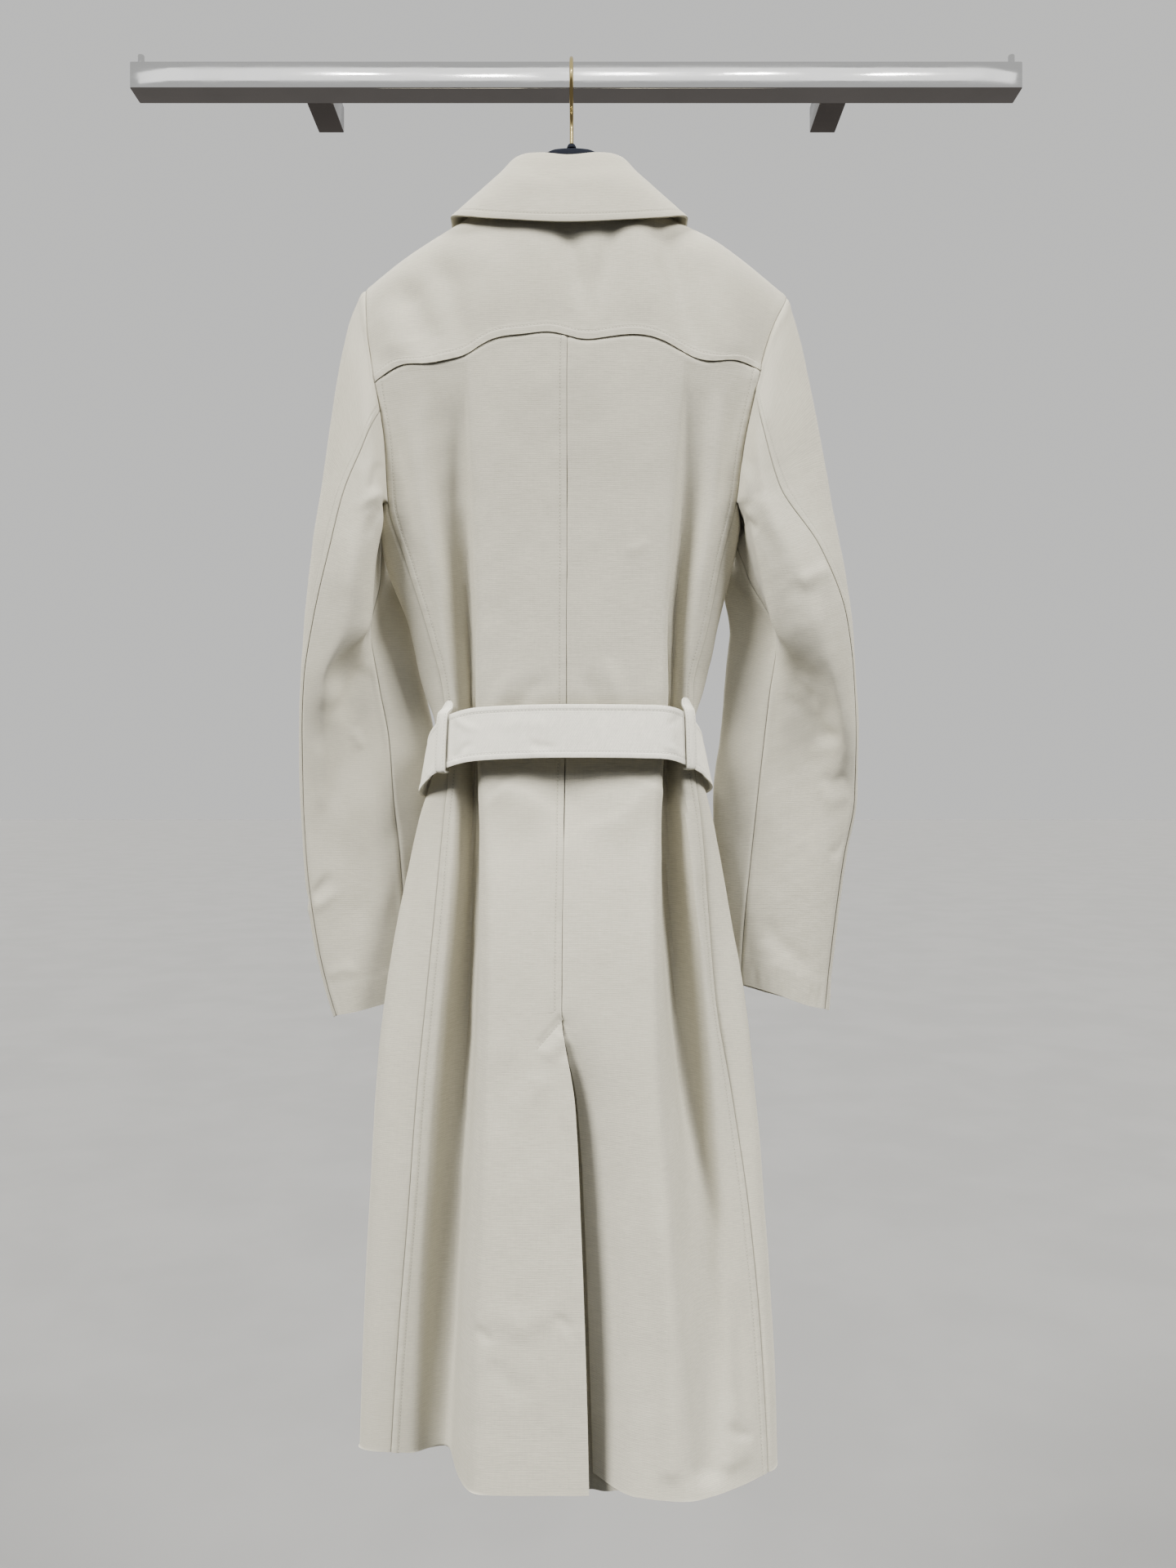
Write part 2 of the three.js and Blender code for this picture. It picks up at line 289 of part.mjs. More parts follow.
// A closed body between an outer and an inner grid of points.
function shell(outer, inner) {
  const nr = outer.length, nc = outer[0].length;
  const verts = [...outer.flat(), ...inner.flat()], tris = [];
  const id = (layer, i, j) => layer * nr * nc + i * nc + j;
  const quad = (a, b, c, d) => tris.push([a, b, c], [a, c, d]);
  for (let i = 0; i + 1 < nr; i++)
    for (let j = 0; j + 1 < nc; j++) {
      // both layers are cut along the same diagonal, the shorter one
      const a = (l) => id(l, i, j), b = (l) => id(l, i, j + 1), c = (l) => id(l, i + 1, j + 1), d = (l) => id(l, i + 1, j);
      if (Math.hypot(...sub(verts[a(0)], verts[c(0)])) <= Math.hypot(...sub(verts[b(0)], verts[d(0)]))) {
        quad(a(0), b(0), c(0), d(0));
        tris.push([a(1), c(1), b(1)], [a(1), d(1), c(1)]);
      } else {
        quad(b(0), c(0), d(0), a(0));
        tris.push([b(1), d(1), c(1)], [b(1), a(1), d(1)]);
      }
    }
  for (let j = 0; j + 1 < nc; j++) {
    quad(id(1, 0, j), id(1, 0, j + 1), id(0, 0, j + 1), id(0, 0, j));
    quad(id(0, nr - 1, j), id(0, nr - 1, j + 1), id(1, nr - 1, j + 1), id(1, nr - 1, j));
  }
  for (let i = 0; i + 1 < nr; i++) {
    quad(id(0, i, 0), id(0, i + 1, 0), id(1, i + 1, 0), id(1, i, 0));
    quad(id(1, i, nc - 1), id(1, i + 1, nc - 1), id(0, i + 1, nc - 1), id(0, i, nc - 1));
  }
  return solid(verts, tris);
}

// A mesh geometry from points and triangles, turned so that its faces point out.
function solid(verts, tris) {
  let volume = 0;
  for (const [a, b, c] of tris) {
    const n = cross(verts[b], verts[c]);
    volume += verts[a][0] * n[0] + verts[a][1] * n[1] + verts[a][2] * n[2];
  }
  const list = volume < 0 ? tris.map(([a, b, c]) => [a, c, b]) : tris;
  const g = new THREE.BufferGeometry();
  g.setAttribute("position", new THREE.Float32BufferAttribute(list.flat().flatMap((i) => verts[i]), 3));
  g.computeVertexNormals();
  return g;
}

const range = (a, b, n) => Array.from({ length: n + 1 }, (_, i) => a + ((b - a) * i) / n);

// Draws one edge of a grid back from its seam, along the grid, by half the seam's gap or by another length.
function drawBack(grid, edge, by = SEAM_GAP / 2) {
  const nr = grid.length, nc = grid[0].length;
  const pull = (a, b) => add(a, unit(sub(b, a)), by);
  if (edge === "first") for (const r of grid) r[0] = pull(r[0], r[1]);
  if (edge === "last") for (const r of grid) r[nc - 1] = pull(r[nc - 1], r[nc - 2]);
  if (edge === "bottom") grid[0] = grid[0].map((p, j) => pull(p, grid[1][j]));
  if (edge === "top") grid[nr - 1] = grid[nr - 1].map((p, j) => pull(p, grid[nr - 2][j]));
}

const LEVEL = (table, name) => Object.keys(table.rows).indexOf(name);
const VENT = LEVEL(BACK_LEFT, "vent_top");
const UNDERARM = LEVEL(BACK_LEFT, "underarm");
const TOP_BACK = LEVEL(BACK_LEFT, "shoulder_seam");
const TOP_FRONT = LEVEL(FRONT_LEFT, "shoulder_seam");
const SIDE = { left: { back: BACK_LEFT, front: FRONT_LEFT }, right: { back: BACK_RIGHT, front: FRONT_RIGHT } };
const EDGE = 6; // the back's last column: side seam below, armhole above

// Levels shared by backs and fronts, so that their side seams meet point for point.
const LOWER = [0, 1, 2, 3, 3.5, 4, 4.5, 5, 5.5, 6, 6.5, 7, 8, 9, 10, 11, UNDERARM];

// The centre back line is one line for both backs from the vent's top up.
function backPlace(side, s, t) {
  const table = SIDE[side].back;
  if (side === "right" && t >= VENT) {
    const at = columnsAt(table, t);
    at[0] = columnsAt(BACK_LEFT, t)[0];
    return [0, 1, 2].map((k) => along(at.map((p) => p[k]), s));
  }
  if (side === "right" && t < VENT) {
    const at = columnsAt(table, t);
    const edge = columnsAt(BACK_LEFT, t)[0];
    at[0] = [edge[0], at[0][1], at[0][2]];
    return [0, 1, 2].map((k) => along(at.map((p) => p[k]), s));
  }
  return place(table, s, t);
}
function backFacing(side, s, t) {
  const e = 0.04;
  const s0 = Math.max(0, s - e), s1 = Math.min(EDGE, s + e);
  const t0 = Math.max(0, t - e), t1 = Math.min(TOP_BACK, t + e);
  const n = unit(cross(sub(backPlace(side, s1, t), backPlace(side, s0, t)), sub(backPlace(side, s, t1), backPlace(side, s, t0))));
  const out = side === "left" ? n.map((v) => -v) : n;
  const flip = out[1] > 0.6 && t < TOP_BACK - 1.5 ? -1 : 1;
  const up = out.map((v) => v * flip);
  // along the centre back line both sides lean alike
  return s < 1e-6 ? unit([0, up[1], up[2]]) : up;
}
const frontFacing = (side, s, t) => facing(SIDE[side].front, s, t, side === "left" ? -1 : 1);

// At the side seam the back and the front lean alike.
function sideSeamFacing(side, t) {
  return unit(add(backFacing(side, EDGE, t), frontFacing(side, 0, t)));
}

// Height of the yoke's edge at x, from its table.
function yokeEdge(x) {
  const i = Math.max(0, Math.min(YOKE_EDGE.length - 2, YOKE_EDGE.findIndex((p) => p[0] > x) - 1));
  const [a, b] = x > YOKE_EDGE.at(-1)[0] ? [YOKE_EDGE.at(-2), YOKE_EDGE.at(-1)] : [YOKE_EDGE[i], YOKE_EDGE[i + 1]];
  return a[1] + ((b[1] - a[1]) * (x - a[0])) / (b[0] - a[0]);
}
function yokeLevel(side, s) {
  let low = UNDERARM, high = TOP_BACK - 1;
  for (let k = 0; k < 40; k++) {
    const mid = (low + high) / 2;
    const p = backPlace(side, s, mid);
    if (p[2] < yokeEdge(p[0])) low = mid; else high = mid;
  }
  return low;
}

// The shared edge plane where two sheets meet at a fold: its direction outwards, long enough for both to keep their thickness.
// a and b face out of the sheets; into is the sum of the directions from the seam into each of them.
function mitre(a, b, into) {
  const open = 1 + dot(a, b);
  return unit(add(add(a, b), into, open < 0.7 ? 0.3 : 0)).map((v) => v * Math.min(1.8, Math.sqrt(2 / open)));
}

// ---- backs, yoke and fronts ----
const ACROSS_BACK = range(0, EDGE, 12);
const BACK_STEPS = 4; // from the underarm to the yoke
function backGrid(side) {
  const rows = [...LOWER.map((t) => () => t), ...range(0, 1, BACK_STEPS).slice(1).map((f) => (s) => UNDERARM + (yokeLevel(side, s) - UNDERARM) * f)];
  const points = [], out = [];
  for (const level of rows) {
    points.push(ACROSS_BACK.map((s) => backPlace(side, s, level(s))));
    out.push(ACROSS_BACK.map((s) => (s === EDGE ? backEdgeOut(side, level(s)) : backFacing(side, s, level(s)))));
  }
  drawBack(points, "first");
  drawBack(points, "last", SEAM_GAP);
  drawBack(points, "top");
  return wall(points, out);
}

// Along the side seam below and the armhole above, the wall's edge lies in the plane it shares with the next piece.
const backEdgeOut = (side, t) => (t < UNDERARM ? sideSeamFacing(side, t) : armholeOut(side, (TOP_BACK - t) / (TOP_BACK - UNDERARM)));
const frontEdgeOut = (side, t) => (t < UNDERARM ? sideSeamFacing(side, t) : armholeOut(side, 1 + (t - UNDERARM) / (TOP_FRONT - UNDERARM)));

// The shoulder seam is one line for the yoke and the fronts: q runs from the neck to the shoulder's tip.
function shoulderSeam(side, q) {
  const row = SIDE[side].back.rows.shoulder_seam;
  return [0, 1, 2].map((k) => along(row.map((p) => p[k]), 2 + q * 4));
}
function shoulderFacing(side, q) {
  const d = sub(shoulderSeam(side, Math.min(1, q + 0.05)), shoulderSeam(side, Math.max(0, q - 0.05)));
  return unit([-d[2] * Math.sign(d[0]), 0, Math.abs(d[0])]);
}

const YOKE_ROWS = 6;
function yokeGrid() {
  const rows = YOKE_ROWS;
  const points = [], out = [];
  const across = [...ACROSS_BACK.slice(1).reverse().map((s) => ["left", s]), ...ACROSS_BACK.map((s) => ["right", s])];
  for (let i = 0; i <= rows; i++) {
    const f = i / rows;
    const here = across.map(([side, s]) => {
      const low = yokeLevel(side, s);
      const t = low + (TOP_BACK - low) * f;
      return [side, s, t];
    });
    points.push(here.map(([side, s, t]) => (i === rows && s >= 2 ? shoulderSeam(side, (s - 2) / 4) : backPlace(side, s, t))));
    out.push(here.map(([side, s, t]) => {
      if (s === EDGE) return backEdgeOut(side, t);
      if (i < rows) return backFacing(side, s, t);
      return s >= 2 ? shoulderFacing(side, (s - 2) / 4) : [0, -1, 0];
    }));
  }
  drawBack(points, "bottom");
  drawBack(points, "top");
  drawBack(points, "first");
  drawBack(points, "last");
  return wall(points, out);
}

const ACROSS_FRONT = [...range(0, 3, 8), 3.7, 4.35, 5];
function frontGrid(side) {
  const table = SIDE[side].front;
  const levels = [...LOWER, 12.35, 12.7, 13, 13.5, 14, 15, 16, 17, 18, TOP_FRONT];
  const points = [], out = [];
  for (const t of levels) {
    points.push(ACROSS_FRONT.map((s) => {
      if (t === TOP_FRONT && s <= 3) return shoulderSeam(side, 1 - s / 3);
      return place(table, s, t);
    }));
    out.push(ACROSS_FRONT.map((s) => {
      if (s === 0) return frontEdgeOut(side, t);
      if (t === TOP_FRONT) return s <= 3 ? shoulderFacing(side, 1 - s / 3) : [0, 1, 0];
      return frontFacing(side, s, t);
    }));
  }
  // the side seam is the back's own edge
  LOWER.forEach((t, i) => (points[i][0] = backPlace(side, EDGE, t)));
  levels.forEach((t, i) => drawBack([points[i]], "first", t >= UNDERARM && t < UNDERARM + 1 ? 2.4 * SEAM_GAP : SEAM_GAP));
  drawBack(points, "top", SEAM_GAP);
  return wall(points, out);
}

// ---- sleeves ----

// The armhole as one line: 0 at the shoulder's tip, down the back edge to 1 under the arm, up the front edge to 2.
function armhole(side, w) {
  const table = SIDE[side];
  if (w <= 1) {
    const t = TOP_BACK + (UNDERARM - TOP_BACK) * w;
    return { at: backPlace(side, EDGE, t), out: w < 0.02 ? shoulderFacing(side, 1) : backFacing(side, EDGE, t) };
  }
  const t = UNDERARM + (TOP_FRONT - UNDERARM) * (w - 1);
  return { at: place(table.front, 0, t), out: w > 1.98 ? shoulderFacing(side, 1) : frontFacing(side, 0, t) };
}
// Where each column of the sleeve starts on that line, from the back seam round by the underarm to the outer edge.
// The back seam starts a step below the yoke, and the other columns meet levels of the front's table, so that both edges share their points.
const yokeTurn = (side) => (TOP_BACK - yokeLevel(side, EDGE)) / (TOP_BACK - UNDERARM);
const armholeTurns = Object.fromEntries(["left", "right"].map((side) => {
  const start = yokeTurn(side) + (1 - yokeTurn(side)) / BACK_STEPS;
  const level = (name) => 1 + (LEVEL(FRONT_LEFT, name) - UNDERARM) / (TOP_FRONT - UNDERARM);
  return [side, [start, (1 + start) / 2, 1, level("armhole_low"), level("blade"), level("chest_high"), 2, 2 + start]];
}));
const armholeTurn = (side, w) => {
  const turn = armholeTurns[side];
  const v = w < turn[0] ? w + 2 : w;
  const i = turn.findIndex((a, k) => k < 7 && v >= a && v <= turn[k + 1]);
  return i + (v - turn[i]) / (turn[i + 1] - turn[i]);
};
const armholeFold = (side, w) => {
  // at the shoulder's tip the two halves of the line share one direction
  if (w < 0.01 || w > 1.99) {
    const [a, b] = [armholeFold(side, 0.03), armholeFold(side, 1.97)];
    return { out: unit(add(a.out, b.out)), apart: unit(add(a.apart, b.apart)) };
  }
  const s = armholeTurn(side, w), { at, out } = armhole(side, w);
  const run = unit(sub(armhole(side, Math.min(2, w + 0.01)).at, armhole(side, Math.max(0, w - 0.01)).at));
  const square = (n) => unit(add(n, run, -dot(n, run)));
  const body = square(w === 1 ? sideSeamFacing(side, UNDERARM) : out), sleeve = square(sleeveFacing(side, s, 0));
  const into = (n, target) => { const d = unit(cross(n, run)); return dot(d, sub(target, at)) < 0 ? d.map((v) => -v) : d; };
  const panel = w <= 1 ? backPlace(side, 4.5, TOP_BACK + (UNDERARM - TOP_BACK) * w) : place(SIDE[side].front, w < 1.2 ? 0.6 : 1.3, w < 1.2 ? 10 : UNDERARM + (TOP_FRONT - UNDERARM) * (w - 1));
  const inBody = into(body, panel), inSleeve = into(sleeve, sleevePlace(side, s, 0.3));
  const shared = mitre(body, sleeve, add(inBody, inSleeve));
  const apart = unit(cross(shared, run));
  return { out: shared, apart: dot(apart, sub(inSleeve, inBody)) < 0 ? apart.map((v) => -v) : apart };
};
const armholeOut = (side, w) => armholeFold(side, w).out;
const armholeAt = (side, s) => {
  const turn = armholeTurns[side], i = Math.min(6, Math.floor(s));
  const w = turn[i] + (turn[i + 1] - turn[i]) * (s - i);
  return w > 2 ? w - 2 : w;
};
const SLEEVE = { left: SLEEVE_LEFT, right: SLEEVE_RIGHT };
function sleevePlace(side, s, t) {
  const p = place(SLEEVE[side], s, t, true);
  if (t >= 1) return p;
  const start = place(SLEEVE[side], s, 0, true);
  return add(p, sub(armhole(side, armholeAt(side, ((s % 7) + 7) % 7)).at, start), (1 - t) ** 2);
}
function sleeveFacing(side, s, t) {
  const e = 0.05;
  const t0 = Math.max(0, t - e), t1 = Math.min(10, t + e);
  const n = unit(cross(sub(sleevePlace(side, s + e, t), sleevePlace(side, s - e, t)), sub(sleevePlace(side, s, t1), sleevePlace(side, s, t0))));
  return n.map((v) => v * (side === "left" ? -1 : 1));
}
const SLEEVE_LEVELS = [0, 0.4, 0.8, 1.4, 2, 2.6, 3.2, 3.8, 4.4, 5, 6, 7, 8, 9, 10];
const underSleeve = [0, 2 / 3, 4 / 3, 2, 2.35, 2.7, 3];
const topSleeve = (side) => [3, 3.5, 4, 4.5, 5, 5 + 1 / 3, 5 + 2 / 3, ...range(6, 6 + yokeTurn(side) / armholeTurns[side][0], YOKE_ROWS), 7];
function sleeveGrid(side, across) {
  const points = [], out = [];
  for (const t of SLEEVE_LEVELS) {
    points.push(across.map((s) => sleevePlace(side, s, t)));
    out.push(across.map((s) => (s % 7 === 0 || s === 3) && t > 0 ? mitre(sleeveFacing(side, s - 0.25, t), sleeveFacing(side, s + 0.25, t), [0, 0, 0]) : (t === 0 ? armholeOut(side, armholeAt(side, s % 7)) : sleeveFacing(side, s, t))));
  }
  points[0] = points[0].map((p, j) => add(p, armholeFold(side, armholeAt(side, across[j] % 7)).apart, 1.1));
  // a wider gap beside the armhole, where three edges meet
  SLEEVE_LEVELS.forEach((t, i) => {
    const row = [points[i]];
    drawBack(row, "first", t < 1 ? 0.55 : SEAM_GAP / 2);
    drawBack(row, "last", t < 1 ? 0.55 : SEAM_GAP / 2);
  });
  return wall(points, out);
}

// ---- collar ----
const collarRows = Object.values(COLLAR.rows);
const COLLAR_END = collarRows.length - 1;
// q runs from the left front end (0) round the back to the right front end.
function collarPlace(column, q) {
  const full = [...collarRows.map((r) => [-r[column][0], r[column][1], r[column][2]]), ...collarRows.slice(0, -1).reverse().map((r) => r[column])];
  return [0, 1, 2].map((k) => (k === 0 ? COLLAR_MIDDLE : 0) + along(full.map((p) => p[k]), q));
}
const COLLAR_AROUND = range(0, 2 * COLLAR_END, 26);
function collarGrid(columns, steps) {
  return range(0, steps, steps).map((i) => COLLAR_AROUND.map((q) => {
    const at = columns.map((c) => collarPlace(c, q));
    return [0, 1, 2].map((k) => along(at.map((p) => p[k]), (i / steps) * (columns.length - 1)));
  }));
}
// Away from the neck, square to the sheet.
function collarOut(points) {
  const last = points.length - 1, end = points[0].length - 1;
  return points.map((row, i) => row.map((p, j) => {
    const n = unit(cross(sub(points[Math.min(i + 1, last)][j], points[Math.max(i - 1, 0)][j]), sub(row[Math.min(j + 1, end)], row[Math.max(j - 1, 0)])));
    const away = foldOut(COLLAR_AROUND[j]);
    return n[0] * away[0] + n[1] * away[1] < 0 ? n.map((v) => -v) : n;
  }));
}
// Level direction away from the neck at the collar's fold.
function foldOut(q) {
  const d = sub(collarPlace(1, Math.min(2 * COLLAR_END, q + 0.1)), collarPlace(1, Math.max(0, q - 0.1)));
  return unit([d[1], -d[0], 0]); // q runs from the left round the back to the right
}
const FOLD_DEPTH = 4.5; // how far down the two sides of the fold lie together
// At the fold, the direction midway between the stand and the fall, and the direction from the one to the other.
function foldFrame(q) {
  const fold = collarPlace(1, q);
  const into = (c, k) => unit(sub(mix(fold, collarPlace(c, q), k), fold));
  const down = unit(add(into(2, 0.5), into(0, 0.5)));
  const run = sub(collarPlace(1, Math.min(2 * COLLAR_END, q + 0.1)), collarPlace(1, Math.max(0, q - 0.1)));
  const apart = unit(cross(down, run));
  return { down, apart: apart.map((v) => (dot(apart, sub(collarPlace(2, q), collarPlace(0, q))) < 0 ? -v : v)) };
}
function collarFall() {
  const outer = collarGrid([1, 2, 3], 4);
  const out = collarOut(outer);
  const inner = outer.map((row, i) => row.map((p, j) => add(p, out[i][j], -CLOTH)));
  COLLAR_AROUND.forEach((q, j) => {
    const { down, apart } = foldFrame(q);
    outer[0][j] = add(outer[0][j], apart, SEAM_GAP / 2);
    inner[0][j] = add(outer[0][j], down, FOLD_DEPTH);
  });
  return shell(outer, inner);
}
function collarStand() {
  const outer = collarGrid([0, 1], 2);
  const out = collarOut(outer);
  const inner = outer.map((row, i) => row.map((p, j) => add(p, out[i][j], -CLOTH)));
  const last = outer.length - 1;
  COLLAR_AROUND.forEach((q, j) => {
    const { down, apart } = foldFrame(q);
    inner[last][j] = add(outer[last][j], apart, -SEAM_GAP / 2);
    outer[last][j] = add(inner[last][j], down, FOLD_DEPTH);
  });
  return shell(outer, inner);
}

// ---- belt and loops ----
const beltRows = Object.values(BELT_PATH.rows);
const BELT_END = beltRows.length - 1;
const beltPlace = (u, k) => [0, 1, 2].map((c) => along(beltRows.map((r) => mix(r[0], r[1], k)[c]), u));
function beltOut(u) {
  const d = sub(beltPlace(Math.min(BELT_END, u + 0.1), 0.5), beltPlace(Math.max(0, u - 0.1), 0.5));
  return unit([-d[1], d[0], 0].map((v) => -v));
}
function beltGrid() {
  const us = range(0, BELT_END, 39);
  const down = [0, 0.5, 1];
  const points = us.map((u) => down.map((k) => beltPlace(u, k)));
  const out = us.map((u) => down.map(() => beltOutward(u)));
  return wall(points, out, BELT.thick);
}
function beltOutward(u) {
  const o = beltOut(u), p = beltPlace(u, 0.5);
  const away = [p[0] + 8, p[1] + 66, 0];
  return o[0] * away[0] + o[1] * away[1] < 0 ? o.map((v) => -v) : o;
}
function loopGrid({ at, above, below, root }) {
  // from the coat above the belt, down over it, and back to the coat under it: [distance out from the belt's face, height]
  const top = beltPlace(at, 0), bottom = beltPlace(at, 1);
  const o = beltOutward(at), lean = sub(bottom, top), side = unit([-o[1], o[0], 0]);
  const path = [
    [root, top[2] + above], [root + 1.4, top[2] + above * 0.6], [2.7, top[2] + 2.5], [3.1, top[2] - 8],
    [3.1, bottom[2] + 8], [2.7, bottom[2] - 2.5], [root, bottom[2] - below],
  ];
  const spot = ([off, z], w) => {
    const k = (z - top[2]) / lean[2];
    return [top[0] + lean[0] * k + o[0] * off + side[0] * w, top[1] + lean[1] * k + o[1] * off + side[1] * w, z];
  };
  const points = path.map((p) => [-0.5, 0.5].map((w) => spot(p, w * LOOP.width)));
  const out = path.map((p, i) => {
    const a = path[Math.max(0, i - 1)], b = path[Math.min(path.length - 1, i + 1)];
    const n = unit([a[1] - b[1], b[0] - a[0]]);
    const v = [o[0] * n[0], o[1] * n[0], n[1]];
    return [v, v];
  });
  return wall(points, out, LOOP.thick);
}

// ---- vent underlap: behind both backs, moved in from the right back's own points ----
function underlapGrid() {
  const ts = [0, 0.5, 1, 1.5, 2, 2.5, 3, 3.5, 3.9];
  const behind = CLOTH + 1.5;
  const points = [], out = [];
  for (const t of ts) {
    const edge = backPlace("right", 0, t);
    const row = [-UNDERLAP.reach, -UNDERLAP.reach / 2, 0].map((dx) => [edge[0] + dx, edge[1] + behind + 0.6, edge[2]]);
    for (const s of [0.25, 0.5, 0.75, 1]) {
      const p = backPlace("right", s, t), n = backFacing("right", s, t);
      row.push(add(p, n, -behind));
    }
    points.push(row.map((p) => (t === 0 ? [p[0], p[1], UNDERLAP.hem] : p)));
    out.push(row.map(() => [0, -1, 0]));
  }
  return wall(points, out, 1.6);
}

// ---- hard pieces ----
const TURN = 12;
function ringLoft(rings) {
  const n = rings[0].length, verts = rings.flat(), tris = [];
  for (let i = 0; i + 1 < rings.length; i++)
    for (let j = 0; j < n; j++) {
      const k = (j + 1) % n, a = i * n, b = a + n;
      tris.push([a + j, a + k, b + k], [a + j, b + k, b + j]);
    }
  for (let j = 1; j + 1 < n; j++) {
    tris.push([0, j + 1, j]);
    const b = (rings.length - 1) * n;
    tris.push([b, b + j, b + j + 1]);
  }
  return solid(verts, tris);
}
function hangerGeometry() {
  const rows = Object.values(ARM.rows);
  const arm = (u) => [0, 1, 2, 3, 4].map((k) => along(rows.map((r) => r[k]), u));
  const stations = [...range(0, 10, 15).slice(1).reverse().map((u) => [-1, u]), ...range(0, 10, 15).map((u) => [1, u])];
  const rings = stations.map(([sign, u]) => {
    const [x, y, top, depth, height] = arm(u);
    return Array.from({ length: 10 }, (_, j) => {
      const a = (j / 10) * 2 * Math.PI;
      const c = Math.cos(a), s = Math.sin(a);
      const soft = (v) => Math.sign(v) * Math.abs(v) ** 0.7;
      return [HOOK.x + sign * x, y + (depth / 2) * soft(c), top - height / 2 + (height / 2) * soft(s)];
    });
  });
  return ringLoft(rings);
}
function hookGeometry() {
  const R = HOOK.innerRadius + HOOK.wire / 2, y = RAIL.centreY, z = HOOK.eyeZ;
  const turn = (deg) => [y - R * Math.sin((deg * Math.PI) / 180), z - R * Math.cos((deg * Math.PI) / 180)];
  const line = [[y, HOOK.foot], [y, HOOK.foot + 10], [y, -40], [y - 3.2, -32], [y - 10.5, -25.6]];
  for (let a = 55; a <= 262; a += 23) line.push(turn(a));
  const path = new THREE.CatmullRomCurve3(line.map(([py, pz]) => new THREE.Vector3(HOOK.x, py, pz)));
  const section = new THREE.Shape(Array.from({ length: 8 }, (_, i) => new THREE.Vector2(Math.cos((i * Math.PI) / 4), Math.sin((i * Math.PI) / 4)).multiplyScalar(HOOK.wire / 2)));
  return new THREE.ExtrudeGeometry(section, { steps: 30, bevelEnabled: false, extrudePath: path });
}
function disc(radius, thick, turn = 20) {
  return new THREE.CylinderGeometry(radius, radius, thick, turn);
}
function frameGeometry() {
  const { width: w, height: h, bar } = BUCKLE;
  const shape = new THREE.Shape([[-w / 2, -h / 2], [w / 2, -h / 2], [w / 2, h / 2], [-w / 2, h / 2]].map((p) => new THREE.Vector2(...p)));
  const hole = new THREE.Path([[-w / 2 + bar, -h / 2 + bar], [-w / 2 + bar, h / 2 - bar], [w / 2 - bar, h / 2 - bar], [w / 2 - bar, -h / 2 + bar]].map((p) => new THREE.Vector2(...p)));
  shape.holes.push(hole);
  return new THREE.ExtrudeGeometry(shape, { depth: BUCKLE.thick, bevelEnabled: false });
}

// ---- the object ----
const coat = new THREE.MeshStandardMaterial({ color: 0xcbc7be, roughness: 0.82, metalness: 0 });
const beltCloth = new THREE.MeshStandardMaterial({ color: 0xd2cec4, roughness: 0.8, metalness: 0 });
const horn = new THREE.MeshStandardMaterial({ color: 0xa89f90, roughness: 0.4, metalness: 0 });
const black = new THREE.MeshStandardMaterial({ color: 0x1c1e24, roughness: 0.45, metalness: 0 });
const brass = new THREE.MeshStandardMaterial({ color: 0xc9b26a, roughness: 0.22, metalness: 1 });
const steel = new THREE.MeshStandardMaterial({ color: 0xc8c9ca, roughness: 0.08, metalness: 1 });

const object = new THREE.Group();
function piece(name, geometry, material, at = [0, 0, 0], turn = [0, 0, 0]) {
  const mesh = new THREE.Mesh(geometry, material);
  mesh.name = name;
  mesh.position.set(...at);
  mesh.rotation.set(...turn);
  object.add(mesh);
  return mesh;
}

for (const side of ["left", "right"]) {
  piece(`back_${side}`, backGrid(side), coat);
  piece(`front_${side}`, frontGrid(side), coat);
  piece(`under_sleeve_${side}`, sleeveGrid(side, underSleeve), coat);
  piece(`top_sleeve_${side}`, sleeveGrid(side, topSleeve(side)), coat);
  piece(`belt_loop_${side}`, loopGrid(LOOPS[side]), beltCloth);
}
piece("back_yoke", yokeGrid(), coat);
piece("collar_fall", collarFall(), coat);
piece("collar_stand", collarStand(), coat);
piece("vent_underlap", underlapGrid(), coat);
piece("belt", beltGrid(), beltCloth);
piece("belt_buckle", frameGeometry(), beltCloth, [BUCKLE.x, BUCKLE.y, BUCKLE.z], [-Math.PI / 2 + BUCKLE.lean, 0, 0]);

// buttons down the closed front, on the lapping side's own surface
const frontAt = (s, z) => {
  let low = 0, high = TOP_FRONT;
  for (let k = 0; k < 40; k++) {
    const mid = (low + high) / 2;
    if (place(FRONT_RIGHT, s, mid)[2] < z) low = mid; else high = mid;
  }
  return place(FRONT_RIGHT, s, low);
};
Object.values(BUTTONS.rows).forEach(([z], i) => {
  const [x] = frontAt(BUTTONS.across, z);
  const y = Math.max(...[-1, 0, 1].map((k) => frontAt(BUTTONS.across, z + k * BUTTON.radius)[1]));
  piece(`button_${i + 1}`, disc(BUTTON.radius, BUTTON.thick), horn, [x, y + BUTTON.thick / 2 + 0.5, z]);
});

